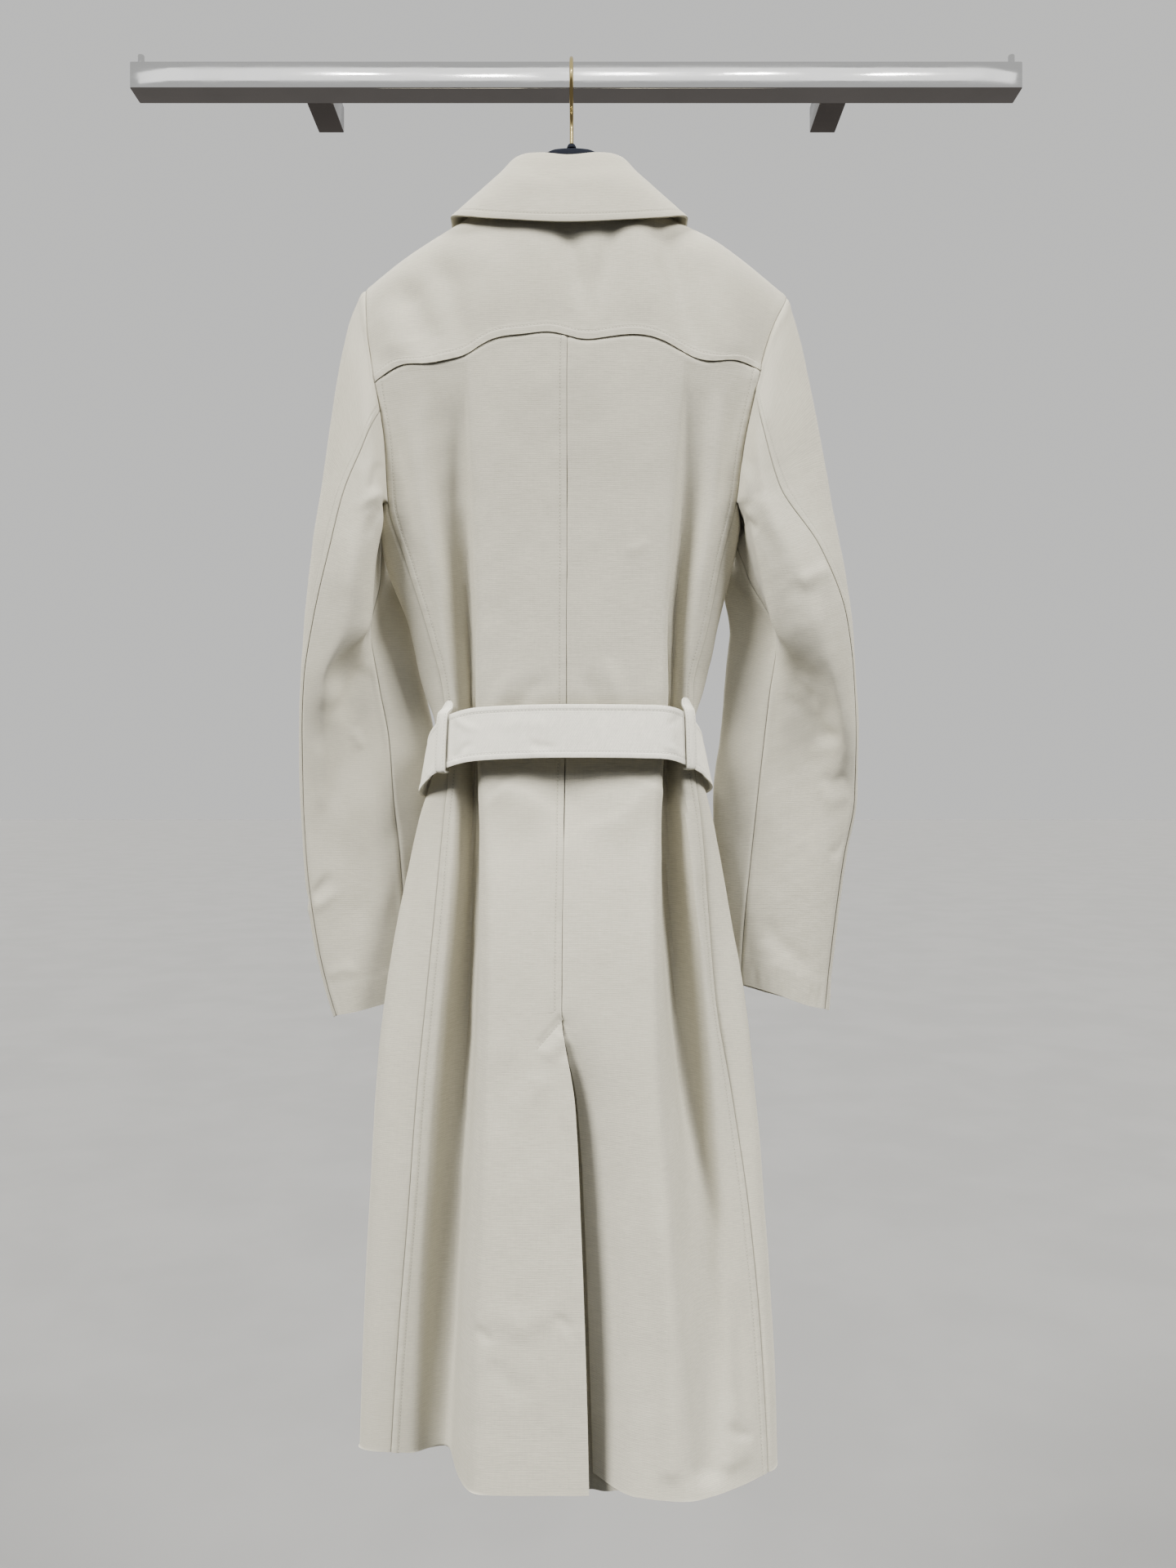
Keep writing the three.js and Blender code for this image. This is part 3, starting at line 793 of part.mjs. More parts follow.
piece("hanger", hangerGeometry(), black);
piece("hanger_nub", new THREE.CylinderGeometry(NUB.radius * 0.7, NUB.radius, NUB.height, 16), black, [HOOK.x, RAIL.centreY, HOOK.foot - 0.3 - NUB.height / 2], [Math.PI / 2, 0, 0]);
piece("hook", hookGeometry(), brass);
piece("rail", new THREE.BoxGeometry(RAIL.length, RAIL.side, RAIL.side), steel, [0, RAIL.centreY, 0]);
const bracketDepth = -(RAIL.centreY + RAIL.side / 2) - 0.3;
for (const [side, sign] of [["left", -1], ["right", 1]]) {
  piece(`bracket_${side}`, new THREE.BoxGeometry(BRACKET.width, bracketDepth, BRACKET.height), steel, [sign * BRACKET.x, -bracketDepth / 2, 0]);
  const height = RAIL.pinTop - RAIL.side / 2 - 0.3;
  piece(`end_pin_${side}`, new THREE.CylinderGeometry(RAIL.pinRadius, RAIL.pinRadius, height, 16), steel, [sign * RAIL.pinX, RAIL.centreY, RAIL.pinTop - height / 2], [Math.PI / 2, 0, 0]);
}

export default object;
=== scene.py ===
import json
import math

import bpy
import numpy as np
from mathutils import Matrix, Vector

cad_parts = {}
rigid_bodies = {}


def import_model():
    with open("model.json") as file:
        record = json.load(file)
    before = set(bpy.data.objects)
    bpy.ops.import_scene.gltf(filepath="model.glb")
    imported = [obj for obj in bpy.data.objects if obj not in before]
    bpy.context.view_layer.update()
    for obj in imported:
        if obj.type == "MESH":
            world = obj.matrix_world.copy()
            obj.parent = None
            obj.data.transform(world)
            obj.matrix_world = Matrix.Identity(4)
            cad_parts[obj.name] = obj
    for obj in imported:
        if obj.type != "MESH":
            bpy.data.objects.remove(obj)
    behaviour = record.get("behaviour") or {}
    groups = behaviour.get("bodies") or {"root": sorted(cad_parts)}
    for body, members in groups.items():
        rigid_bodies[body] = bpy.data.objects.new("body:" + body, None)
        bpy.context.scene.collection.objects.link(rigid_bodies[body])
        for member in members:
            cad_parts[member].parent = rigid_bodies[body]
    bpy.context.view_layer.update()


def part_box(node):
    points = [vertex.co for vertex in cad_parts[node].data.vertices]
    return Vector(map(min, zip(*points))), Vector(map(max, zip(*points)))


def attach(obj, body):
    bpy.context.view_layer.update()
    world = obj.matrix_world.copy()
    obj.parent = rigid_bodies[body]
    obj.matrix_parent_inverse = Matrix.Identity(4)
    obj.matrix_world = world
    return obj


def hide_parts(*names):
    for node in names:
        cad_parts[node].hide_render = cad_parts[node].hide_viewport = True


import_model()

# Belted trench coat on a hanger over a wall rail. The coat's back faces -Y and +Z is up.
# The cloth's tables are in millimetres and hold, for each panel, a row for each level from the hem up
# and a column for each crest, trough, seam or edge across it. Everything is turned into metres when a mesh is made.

# ---- driving sizes, millimetres ----
CLOTH = 1.7
GAP = 0.2  # each piece is drawn back from its seam by this
RAIL = dict(length=828, side=25, y=-62.5, pin_x=408, pin_radius=3, pin_top=25.5)
BRACKET = dict(x=243, width=25, height=25)
HOOK = dict(x=-4.4, wire=3.6, inner=20.4, eye_z=-3.2, foot=-58.0)
NUB = dict(radius=4.6, height=4.4)
BELT_THICK = 2.4
LOOPS = {"left": dict(at=5.22, above=16, root=-4.8), "right": dict(at=9.0, above=16, root=-2.4)}
LOOP_WIDTH, LOOP_THICK = 12, 1.8
BUTTON = dict(radius=11, thick=3.4, across=4.55, z=(-218, -335, -455, -572, -775))
BUCKLE = dict(width=60, height=62, bar=8, thick=3.2, x=-14, y=-17.2, z=-665, lean=0.062)
UNDERLAP = dict(reach=34, hem=-1276)
CAMERA = dict(x=11.0, y=-1167.0, z=-657.7, lens=27.04, focal=1442.0, cx=720.0, cy=960.0)

# ---- tables ----
BACK_LEFT = {
    "hem": [[12, -164, -1263], [-35.5, -166, -1263], [-82.5, -164, -1263], [-107.5, -128, -1263], [-126, -96, -1263], [-145.5, -101, -1263], [-167.5, -100, -1263]],
    "skirt_low": [[9.5, -160, -1160], [-36, -162, -1160], [-81, -160, -1160], [-104.5, -126, -1160], [-122, -95, -1160], [-141, -102, -1160], [-161, -101, -1160]],
    "skirt_mid": [[5, -152, -1040], [-36, -155, -1040], [-77.5, -153, -1040], [-99, -122, -1040], [-117, -94, -1040], [-134, -102, -1040], [-151.5, -101, -1040]],
    "skirt_high": [[0, -143, -940], [-37, -146, -940], [-74.5, -145, -940], [-94, -116, -940], [-111.5, -91, -940], [-127.5, -101, -940], [-144.5, -99, -940]],
    "vent_top": [[-12, -135, -855], [-42.5, -138, -855], [-73, -137, -855], [-91, -111, -855], [-105.5, -86, -855], [-118, -99, -855], [-136.5, -96, -855]],
    "hip": [[-11.5, -125, -770], [-42.5, -128, -770], [-73.5, -127, -770], [-90, -105, -770], [-100, -80, -770], [-108.5, -96, -770], [-128.5, -92, -770]],
    "below_belt": [[-10.5, -113, -695], [-44.5, -115, -695], [-78, -115, -695], [-90.5, -98, -695], [-97.5, -74, -695], [-103, -93, -695], [-122, -86, -695]],
    "belt_low": [[-10, -106, -640], [-45.5, -107, -640], [-81.5, -108, -640], [-91.5, -96, -640], [-97, -73, -640], [-100.5, -90, -640], [-117.5, -82, -640]],
    "belt_mid": [[-9, -103, -605], [-46, -104, -605], [-82.5, -107, -605], [-92.5, -95, -605], [-97.5, -73, -605], [-100.5, -90, -605], [-119.5, -80, -605]],
    "belt_high": [[-8.5, -104, -570], [-45.5, -105, -570], [-82.5, -107, -570], [-93, -96, -570], [-98.5, -76, -570], [-102.5, -92, -570], [-123, -82, -570]],
    "waist": [[-8.5, -105, -515], [-44, -105, -515], [-80, -107, -515], [-93, -100, -515], [-102, -84, -515], [-110.5, -95, -515], [-137, -85, -515]],
    "ribs": [[-8, -106, -455], [-43.5, -106, -455], [-79, -108, -455], [-94.5, -103, -455], [-106, -90, -455], [-119.5, -98, -455], [-156, -86, -455]],
    "underarm": [[-8, -107, -400], [-43, -107, -400], [-78, -109, -400], [-94, -106, -400], [-109.5, -96, -400], [-125.5, -100, -400], [-172.5, -86, -400]],
    "blade": [[-8, -109, -345], [-44, -109, -345], [-80, -111, -345], [-96.5, -108, -345], [-112.5, -102, -345], [-130.5, -102, -345], [-175.5, -88, -345]],
    "yoke_line": [[-8, -111, -290], [-44, -111, -290], [-80, -112, -290], [-96, -110, -290], [-114.5, -107, -290], [-133.5, -105, -290], [-184, -90, -290]],
    "back_high": [[-7, -110, -235], [-42, -110, -236], [-84, -111, -238], [-105, -109, -241], [-130, -105, -246], [-160, -99, -252], [-190, -80, -262]],
    "shoulder_low": [[-7, -106, -185], [-40, -106, -186], [-80, -105, -189], [-103, -102, -196], [-131, -98, -205], [-163, -91, -217], [-194, -73, -238]],
    "shoulder_back": [[-7, -101, -148], [-38, -100, -148], [-76, -97, -150], [-102, -93, -158], [-131, -88, -171], [-163, -80, -186], [-197, -64, -213]],
    "shoulder_round": [[-7, -96.5, -124], [-38, -93, -122], [-73, -83, -118], [-101, -78, -137], [-130.5, -74, -152], [-162, -67, -169], [-199, -54, -196]],
    "shoulder_seam": [[-7, -94, -111], [-39, -89, -109], [-71, -68, -106], [-100, -63, -127], [-130, -59, -144.5], [-161, -54, -162], [-200, -45, -187]],
}

BACK_RIGHT = {
    "hem": [[12, -145, -1257], [52, -169, -1263], [92.5, -174, -1263], [118.5, -166, -1263], [137.5, -155, -1263], [152.5, -145, -1263], [169, -131, -1263]],
    "skirt_low": [[9.5, -140, -1160], [48.5, -160, -1160], [87.5, -166, -1160], [112.5, -152, -1160], [130.5, -136, -1160], [145, -130, -1160], [165.5, -118, -1160]],
    "skirt_mid": [[5, -134, -1040], [42.5, -152, -1040], [79.5, -157, -1040], [101, -134, -1040], [120, -112, -1040], [133, -116, -1040], [155.5, -108, -1040]],
    "skirt_high": [[0, -129, -940], [35, -144, -940], [70.5, -148, -940], [89, -122, -940], [107, -94, -940], [124.5, -107, -940], [141.5, -98, -940]],
    "vent_top": [[-12, -135, -855], [27.5, -137, -855], [67.5, -140, -855], [83, -116, -855], [97.5, -84, -855], [117, -102, -855], [127.5, -92, -855]],
    "hip": [[-11.5, -125, -770], [27.5, -127, -770], [66.5, -129, -770], [80, -106, -770], [90, -76, -770], [108, -98, -770], [121, -86, -770]],
    "below_belt": [[-10.5, -113, -695], [29, -115, -695], [68.5, -117, -695], [80, -99, -695], [86, -72, -695], [100.5, -93, -695], [115.5, -83, -695]],
    "belt_low": [[-10, -106, -640], [31, -107, -640], [71.5, -109, -640], [81.5, -96, -640], [85, -72, -640], [90, -90, -640], [109, -81, -640]],
    "belt_mid": [[-9, -103, -605], [33, -104, -605], [74.5, -107, -605], [84, -95, -605], [87, -73, -605], [91.5, -89, -605], [108, -80, -605]],
    "belt_high": [[-8.5, -104, -570], [33.5, -105, -570], [75.5, -107, -570], [86, -96, -570], [89, -76, -570], [93, -91, -570], [108, -82, -570]],
    "waist": [[-8.5, -105, -515], [32, -106, -515], [72.5, -107, -515], [85.5, -100, -515], [91, -84, -515], [99, -95, -515], [121, -85, -515]],
    "ribs": [[-8, -106, -455], [33, -107, -455], [74, -108, -455], [89, -103, -455], [96.5, -91, -455], [107.5, -99, -455], [133, -87, -455]],
    "underarm": [[-8, -107, -400], [33, -108, -400], [73.5, -109, -400], [90, -106, -400], [100, -97, -400], [114, -100, -400], [147, -87, -400]],
    "blade": [[-8, -109, -345], [32.5, -110, -345], [73.5, -111, -345], [89.5, -108, -345], [102.5, -102, -345], [118, -102, -345], [154.5, -88, -345]],
    "yoke_line": [[-8, -111, -290], [32.5, -111, -290], [73, -112, -290], [89, -110, -290], [104.5, -107, -290], [121, -104, -290], [166.5, -90, -290]],
    "back_high": [[-7, -110, -235], [28, -110, -236], [72, -111, -238], [92, -109, -241], [116, -105, -246], [143, -99, -253], [172, -80, -266]],
    "shoulder_low": [[-7, -106, -185], [27, -106, -186], [68, -105, -189], [91, -102, -196], [117, -98, -205], [147, -91, -217], [179, -73, -243]],
    "shoulder_back": [[-7, -101, -148], [26, -100, -148], [64, -97, -150], [90, -93, -158], [118, -88, -169], [149, -80, -184], [189, -64, -219]],
    "shoulder_round": [[-7, -96.5, -124], [25, -93, -122], [60, -83, -118], [89, -78, -137], [118, -74, -149], [149, -67, -165], [197, -54, -203]],
    "shoulder_seam": [[-7, -94, -111], [26, -89, -109], [58, -68, -106], [88, -63, -127], [117, -59, -141.5], [148, -54, -158], [200, -45, -193]],
}

FRONT_LEFT = {
    "hem": [[-167.5, -100, -1263], [-199, -89, -1263], [-170, -44, -1263], [-118, -26, -1263], [-59, -14, -1263], [20, -17, -1263]],
    "skirt_low": [[-161, -101, -1160], [-195.5, -90, -1160], [-167, -44, -1160], [-116.5, -28, -1160], [-59, -14, -1160], [20, -17, -1160]],
    "skirt_mid": [[-151.5, -101, -1040], [-190.5, -88, -1040], [-163, -46, -1040], [-113.5, -30, -1040], [-59, -15, -1040], [20, -18, -1040]],
    "skirt_high": [[-144.5, -99, -940], [-185.5, -85, -940], [-153.5, -50, -940], [-110.5, -32, -940], [-59, -17, -940], [20, -20, -940]],
    "vent_top": [[-136.5, -96, -855], [-177.5, -80, -855], [-143.5, -54, -855], [-106, -36, -855], [-59, -19, -855], [20, -22, -855]],
    "hip": [[-128.5, -92, -770], [-163.5, -74, -770], [-132, -54, -770], [-97.5, -37, -770], [-59, -21, -770], [20, -24, -770]],
    "below_belt": [[-122, -86, -695], [-148.5, -68, -695], [-123, -50, -695], [-89, -37, -695], [-59, -25, -695], [20, -28, -695]],
    "belt_low": [[-117.5, -82, -640], [-133.5, -62, -640], [-114.5, -44, -640], [-80.5, -34, -640], [-59, -28, -640], [20, -31, -640]],
    "belt_mid": [[-119.5, -80, -605], [-132.5, -60, -605], [-113.5, -42, -605], [-79.5, -33, -605], [-59, -29, -605], [20, -32, -605]],
    "belt_high": [[-123, -82, -570], [-144, -62, -570], [-123.5, -41, -570], [-86.5, -32, -570], [-59, -28, -570], [20, -31, -570]],
    "waist": [[-137, -85, -515], [-155.5, -65, -515], [-133, -40, -515], [-93, -29, -515], [-59, -25, -515], [20, -28, -515]],
    "ribs": [[-156, -86, -455], [-178.5, -64, -455], [-153, -40, -455], [-106.5, -27, -455], [-59, -22, -455], [20, -25, -455]],
    "underarm": [[-172.5, -86, -400], [-184.5, -64, -415], [-158, -38, -412], [-110, -25, -408], [-59, -20, -404], [20, -23, -402]],
    "armhole_low": [[-183.5, -68, -395], [-181, -47, -399], [-155, -33, -396], [-105, -25, -391], [-59, -20, -387], [20, -23, -385]],
    "blade": [[-178, -40, -345], [-166, -33, -345], [-142, -28, -345], [-100, -24, -345], [-59, -20, -345], [20, -23, -345]],
    "yoke_line": [[-183, -33, -290], [-166, -29, -290], [-142, -26, -290], [-96, -23, -290], [-57, -20, -290], [20, -23, -290]],
    "chest_high": [[-191, -31, -246], [-168, -29, -240], [-140, -27, -236], [-92, -25, -232], [-54, -22, -232], [20, -25, -232]],
    "shoulder_low": [[-196, -32, -216], [-170, -33, -198], [-138, -34, -180], [-84, -37, -158], [-50, -30, -180], [20, -29, -194]],
    "shoulder_front": [[-199, -37, -198], [-172, -41, -179], [-138, -45, -160], [-76, -54, -124], [-46, -36, -160], [20, -33, -178]],
    "shoulder_seam": [[-200, -45, -187], [-172, -50, -168.5], [-137, -57.5, -148], [-72, -66, -106], [-43, -43, -145], [20, -36, -166]],
}

FRONT_RIGHT = {
    "hem": [[169, -131, -1263], [181, -104, -1263], [153, -44, -1263], [102, -26, -1263], [45, -14, -1263], [-34, -11.5, -1263]],
    "skirt_low": [[165.5, -118, -1160], [179, -98, -1160], [151, -44, -1160], [101, -28, -1160], [45, -14, -1160], [-34, -11.5, -1160]],
    "skirt_mid": [[155.5, -108, -1040], [172.5, -94, -1040], [145.5, -46, -1040], [97, -30, -1040], [45, -15, -1040], [-34, -12.5, -1040]],
    "skirt_high": [[141.5, -98, -940], [165, -88, -940], [134, -50, -940], [93, -32, -940], [45, -17, -940], [-34, -14.5, -940]],
    "vent_top": [[127.5, -92, -855], [156.5, -82, -855], [124, -54, -855], [88, -36, -855], [45, -19, -855], [-34, -16.5, -855]],
    "hip": [[121, -86, -770], [142, -76, -770], [112.5, -54, -770], [79.5, -37, -770], [45, -21, -770], [-34, -18.5, -770]],
    "below_belt": [[115.5, -83, -695], [128.5, -70, -695], [104, -50, -695], [71.5, -37, -695], [45, -25, -695], [-34, -22.5, -695]],
    "belt_low": [[109, -81, -640], [115.5, -64, -640], [97, -44, -640], [64, -34, -640], [45, -28, -640], [-34, -25.5, -640]],
    "belt_mid": [[108, -80, -605], [110, -62, -605], [92.5, -42, -605], [61, -33, -605], [45, -29, -605], [-34, -26.5, -605]],
    "belt_high": [[108, -82, -570], [120, -62, -570], [101, -41, -570], [66.5, -32, -570], [45, -28, -570], [-34, -25.5, -570]],
    "waist": [[121, -85, -515], [132, -64, -515], [111, -40, -515], [73.5, -29, -515], [45, -25, -515], [-34, -22.5, -515]],
    "ribs": [[133, -87, -455], [146.5, -64, -455], [123.5, -40, -455], [82, -27, -455], [45, -22, -455], [-34, -19.5, -455]],
    "underarm": [[147, -87, -400], [153.5, -64, -420], [129.5, -38, -414], [86.5, -25, -408], [45, -20, -404], [-34, -17.5, -402]],
    "armhole_low": [[152.5, -68, -400], [151.5, -47, -407], [134, -33, -400], [88.5, -25, -393], [45, -20, -387], [-34, -17.5, -385]],
    "blade": [[160, -40, -347], [150, -33, -346], [128, -28, -345], [86, -24, -345], [45, -20, -345], [-34, -17.5, -345]],
    "yoke_line": [[168, -33, -292], [152, -29, -291], [128, -26, -290], [82, -23, -290], [43, -20, -290], [-34, -17.5, -290]],
    "chest_high": [[178, -31, -249], [156, -29, -242], [126, -27, -236], [78, -25, -232], [40, -22, -232], [-34, -19.5, -232]],
    "shoulder_low": [[189, -32, -222], [160, -33, -202], [124, -34, -180], [70, -37, -158], [36, -30, -180], [-34, -23.5, -194]],
    "shoulder_front": [[197, -37, -204], [162, -41, -183], [124, -45, -160], [62, -54, -124], [32, -36, -160], [-34, -27.5, -178]],
    "shoulder_seam": [[200, -45, -193], [163, -50, -168], [123, -57.5, -148], [58, -66, -106], [29, -43, -145], [-34, -30.5, -166]],
}

SLEEVE_LEFT = {
    "armhole": [[-181.5, -88, -318], [-174, -90, -353], [-170.5, -86, -389.5], [-186.5, -66, -406.5], [-179, -42, -352], [-191, -31, -250], [-200, -45, -187.5]],
    "cap": [[-191, -104, -348], [-181.5, -108, -380], [-174.5, -102, -401.5], [-190, -66, -417], [-190, -34, -392], [-212, -26, -300], [-215.5, -52, -220]],
    "upper_arm": [[-209.5, -104, -392.5], [-189.5, -112, -406], [-173.5, -102, -415.5], [-189, -58, -430], [-192, -28, -430], [-226, -24, -400], [-236.5, -66, -367.5]],
    "mid_arm": [[-224.5, -102, -451], [-199.5, -114, -460.5], [-182, -98, -457.5], [-191.5, -56, -471], [-176.5, -32, -462.5], [-226, -20, -468], [-246, -72, -445]],
    "above_elbow": [[-239.5, -92, -508.5], [-206.5, -108, -512.5], [-186, -92, -507], [-193, -58, -510], [-157.5, -32, -508], [-222, -16, -528], [-252.5, -68, -507]],
    "elbow": [[-250.5, -80, -563.5], [-230.5, -92, -566.5], [-216.5, -74, -565], [-184.5, -58, -567], [-144, -34, -565], [-222, -12, -580], [-256.5, -64, -562]],
    "forearm_high": [[-254.5, -70, -616.5], [-235, -76, -617], [-209, -66, -618], [-176, -56, -616], [-135.5, -36, -614], [-218, -12, -632], [-259.5, -56, -616]],
    "forearm": [[-255, -66, -670], [-233, -68, -670], [-203.5, -62, -671.5], [-172.5, -54, -670.5], [-138, -36, -668.5], [-214, -12, -686], [-260, -52, -670]],
    "forearm_low": [[-253, -64, -729], [-229.5, -66, -728.5], [-197.5, -61, -729], [-166.5, -54, -729.5], [-138, -36, -729], [-206, -12, -742], [-257.5, -50, -729.5]],
    "wrist": [[-244, -62, -807], [-222, -65, -807.5], [-192.5, -61, -806.5], [-162, -53, -804.5], [-138, -36, -803.5], [-198, -12, -818], [-248.5, -50, -809]],
    "cuff": [[-227, -60, -876.5], [-209.5, -63, -873], [-184, -60, -866.5], [-159, -52, -860.5], [-140.5, -36, -857], [-190, -13, -868], [-230.5, -50, -879]],
}

SLEEVE_RIGHT = {
    "armhole": [[163, -88, -308.5], [156, -90, -345], [147.5, -86, -391], [152.5, -66, -413.5], [160, -42, -355], [178, -31, -252], [199.5, -45, -196]],
    "cap": [[170, -104, -339], [161.5, -108, -373], [152.5, -100, -404], [159.5, -66, -420], [170, -34, -392], [197, -26, -300], [213, -52, -240]],
    "upper_arm": [[184, -106, -389], [170, -114, -403.5], [157, -100, -416.5], [157, -58, -430], [166, -28, -425], [210, -24, -400], [234.5, -66, -363.5]],
    "mid_arm": [[222, -100, -444], [191.5, -118, -454], [163, -102, -451], [166, -60, -462.5], [152.5, -34, -453.5], [214, -20, -465], [246, -72, -439]],
    "above_elbow": [[247, -90, -504.5], [214.5, -112, -514.5], [179.5, -98, -517], [187.5, -60, -521], [146, -34, -510], [214, -16, -526], [255.5, -68, -501.5]],
    "elbow": [[256, -80, -565.5], [236.5, -98, -570], [215.5, -82, -567.5], [181, -58, -574.5], [141, -34, -560.5], [212, -12, -580], [260, -64, -563]],
    "forearm_high": [[259.5, -72, -624.5], [247.5, -82, -623], [230, -70, -612], [175.5, -56, -626], [136, -34, -617], [206, -12, -635], [263.5, -58, -622.5]],
    "forearm": [[260, -66, -670], [239, -70, -670], [210, -64, -668.5], [171, -54, -670], [130, -34, -667], [202, -12, -684], [264, -52, -670]],
    "forearm_low": [[250.5, -64, -729], [232, -68, -728.5], [202.5, -62, -729], [165, -54, -729.5], [132, -34, -727.5], [194, -12, -742], [254.5, -50, -729.5]],
    "wrist": [[241.5, -62, -803.5], [225, -66, -803.5], [193.5, -61, -802], [158.5, -53, -801.5], [136.5, -34, -800.5], [190, -12, -816], [245.5, -50, -805]],
    "cuff": [[235, -60, -870.5], [217.5, -63, -866.5], [187.5, -60, -856], [156.5, -52, -848], [140, -34, -846.5], [184, -13, -862], [240, -50, -873]],
}

YOKE_EDGE = [[-192, -295.5], [-184, -291], [-174, -283.5], [-158, -276.5], [-135.5, -279], [-116.5, -276], [-98, -273], [-87, -265.5], [-75.5, -258.5], [-61.5, -255.5], [-44, -254], [-29.5, -251.5], [-18.5, -252], [-6, -256], [5, -259], [14.5, -259], [28.5, -256.5], [49, -254], [66, -255.5], [83, -262], [99.5, -271], [113, -276], [126.5, -276], [145, -272], [159.5, -275], [168.5, -278.5], [178.5, -283.5]]

COLLAR_MIDDLE = -6.5
COLLAR = [  # from the front end round to the back: seam, fold, fall, edge, each [distance from the middle, y, z]
    [[16, -31, -163], [17, -31, -150], [34, -21, -176], [58, -14, -212]],
    [[36, -38, -147], [36, -38, -122], [66, -24, -150], [94, -18, -186]],
    [[54, -51, -124], [47, -53, -97], [80, -42, -122], [110, -34, -156]],
    [[66, -68.5, -104.2], [50, -72, -79], [79, -67, -101.5], [111, -66.5, -129.5]],
    [[51, -81, -105.5], [41, -82, -78], [62, -93, -106], [88, -99, -143]],
    [[27, -90, -107], [24, -89, -80], [33, -102, -113], [52, -107, -149]],
    [[0, -94.5, -110], [0, -93, -84], [0, -105, -119], [0, -111, -153]],
]
BELT_PATH = [  # top and bottom of the belt's outer face, from its under end round the left side to its lapped end
    [[24, -22.6, -640], [24, -19.6, -688]],
    [[-58, -23.3, -637], [-58, -20.3, -685]],
    [[-104, -34.5, -630], [-107, -34, -681]],
    [[-128, -49, -622], [-135, -50, -673]],
    [[-137.5, -66, -615], [-146, -70, -666]],
    [[-124.5, -93, -600], [-127, -97, -648]],
    [[-88, -112, -589], [-88, -114, -637]],
    [[-8, -109.5, -586], [-8, -111.5, -634]],
    [[74, -112, -587], [74, -114.5, -635]],
    [[102, -94, -594], [103, -98, -642]],
    [[117, -67, -612], [127, -71, -661]],
    [[100, -39, -624], [106, -38, -673]],
    [[56, -24, -633], [56, -21.5, -681]],
    [[-74, -19.4, -641], [-74, -16.4, -689]],
]
ARM = [  # hanger arm: half width, y, top, depth, height
    [0, -62.5, -62.4, 13, 22], [14, -62.5, -63.3, 13, 22], [26, -62.5, -68.5, 13, 22], [36, -62.5, -81, 12, 22],
    [43, -62.5, -101, 12, 22], [51, -63.5, -124, 12, 20], [66, -65, -128, 13, 18], [92, -65, -138, 16, 18],
    [124, -62, -156, 18, 18], [156, -58, -176, 18, 15], [174, -54, -190, 15, 10],
]


# ---- curves through the tables ----
def harmonic(a, b):
    p = a * b
    return np.where(p <= 0, 0.0, 2 * p / np.where(p <= 0, 1.0, a + b))


def end_slope(a, b):
    m = (3 * a - b) / 2
    m = np.where(m * a <= 0, 0.0, m)
    return np.where((a * b < 0) & (np.abs(m) > 3 * np.abs(a)), 3 * a, m)


def slopes(v, ring=False):
    if ring:
        d = np.roll(v, -1, 0) - v
        return harmonic(np.roll(d, 1, 0), d)
    d = v[1:] - v[:-1]
    if len(v) == 2:
        return np.stack([d[0], d[0]])
    m = np.zeros_like(v)
    m[1:-1] = harmonic(d[:-1], d[1:])
    m[0], m[-1] = end_slope(d[0], d[1]), end_slope(d[-1], d[-2])
    return m


def along(v, u, ring=False):
    """The smooth curve through the values v, at u counted in places from the first. v is (n, 3), or (n, points, 3)."""
    v, u = np.asarray(v, float), np.atleast_1d(np.asarray(u, float))
    n = len(v)
    i = np.floor(u).astype(int)
    if not ring:
        i = np.clip(i, 0, n - 2)
    f = (u - i)[:, None]
    m = slopes(v, ring)
    a, b = i % n, (i + 1) % n
    if v.ndim == 2:
        va, vb, ma, mb = v[a], v[b], m[a], m[b]
    else:
        k = np.arange(v.shape[1])
        va, vb, ma, mb = v[a, k], v[b, k], m[a, k], m[b, k]
    return (2 * f**3 - 3 * f**2 + 1) * va + (f**3 - 2 * f**2 + f) * ma + (3 * f**2 - 2 * f**3) * vb + (f**3 - f**2) * mb


def rows_of(table):
    return np.array(list(table.values()), float)  # rows, columns, 3


def columns_at(T, t):
    return np.stack([along(T[:, c], t) for c in range(T.shape[1])])


def place(T, s, t, ring=False):
    return along(columns_at(T, t), s, ring)


def level(table, name):
    return list(table).index(name)


VENT, UNDERARM, EDGE = level(BACK_LEFT, "vent_top"), level(BACK_LEFT, "underarm"), 6
TOP = level(BACK_LEFT, "shoulder_seam")
BACK = {"left": rows_of(BACK_LEFT), "right": rows_of(BACK_RIGHT)}
FRONT = {"left": rows_of(FRONT_LEFT), "right": rows_of(FRONT_RIGHT)}
SLEEVE = {"left": rows_of(SLEEVE_LEFT), "right": rows_of(SLEEVE_RIGHT)}


def flat(s, t):
    s, t = np.broadcast_arrays(np.asarray(s, float), np.asarray(t, float))
    return s.ravel(), t.ravel(), s.shape


def back_place(side, s, t):
    s, t, shape = flat(s, t)
    at = columns_at(BACK[side], t)
    if side == "right":
        edge = along(BACK["left"][:, 0], t)
        low = (t < VENT)[:, None]
        at[0] = np.where(low, np.concatenate([edge[:, :1], at[0][:, 1:]], 1), edge)
    return along(at, s).reshape(*shape, 3)


def front_place(side, s, t):
    s, t, shape = flat(s, t)
    return place(FRONT[side], s, t).reshape(*shape, 3)


def smooth_edge():
    """The yoke's lower edge with its corners rounded, as (x, z)."""
    e = np.array(YOKE_EDGE, float)
    a, b, c, d = e[0], e[1], e[-2], e[-1]
    first = a + (a - b) / (b[0] - a[0]) * 60
    last = d + (d - c) / (d[0] - c[0]) * 60
    x = np.arange(first[0], last[0], 1.0)
    z = np.interp(x, [first[0], *e[:, 0], last[0]], [first[1], *e[:, 1], last[1]])
    k = np.exp(-((np.arange(-24, 25) / 8.5) ** 2))
    z[24:-24] = np.convolve(z, k / k.sum(), "valid")
    return x, z


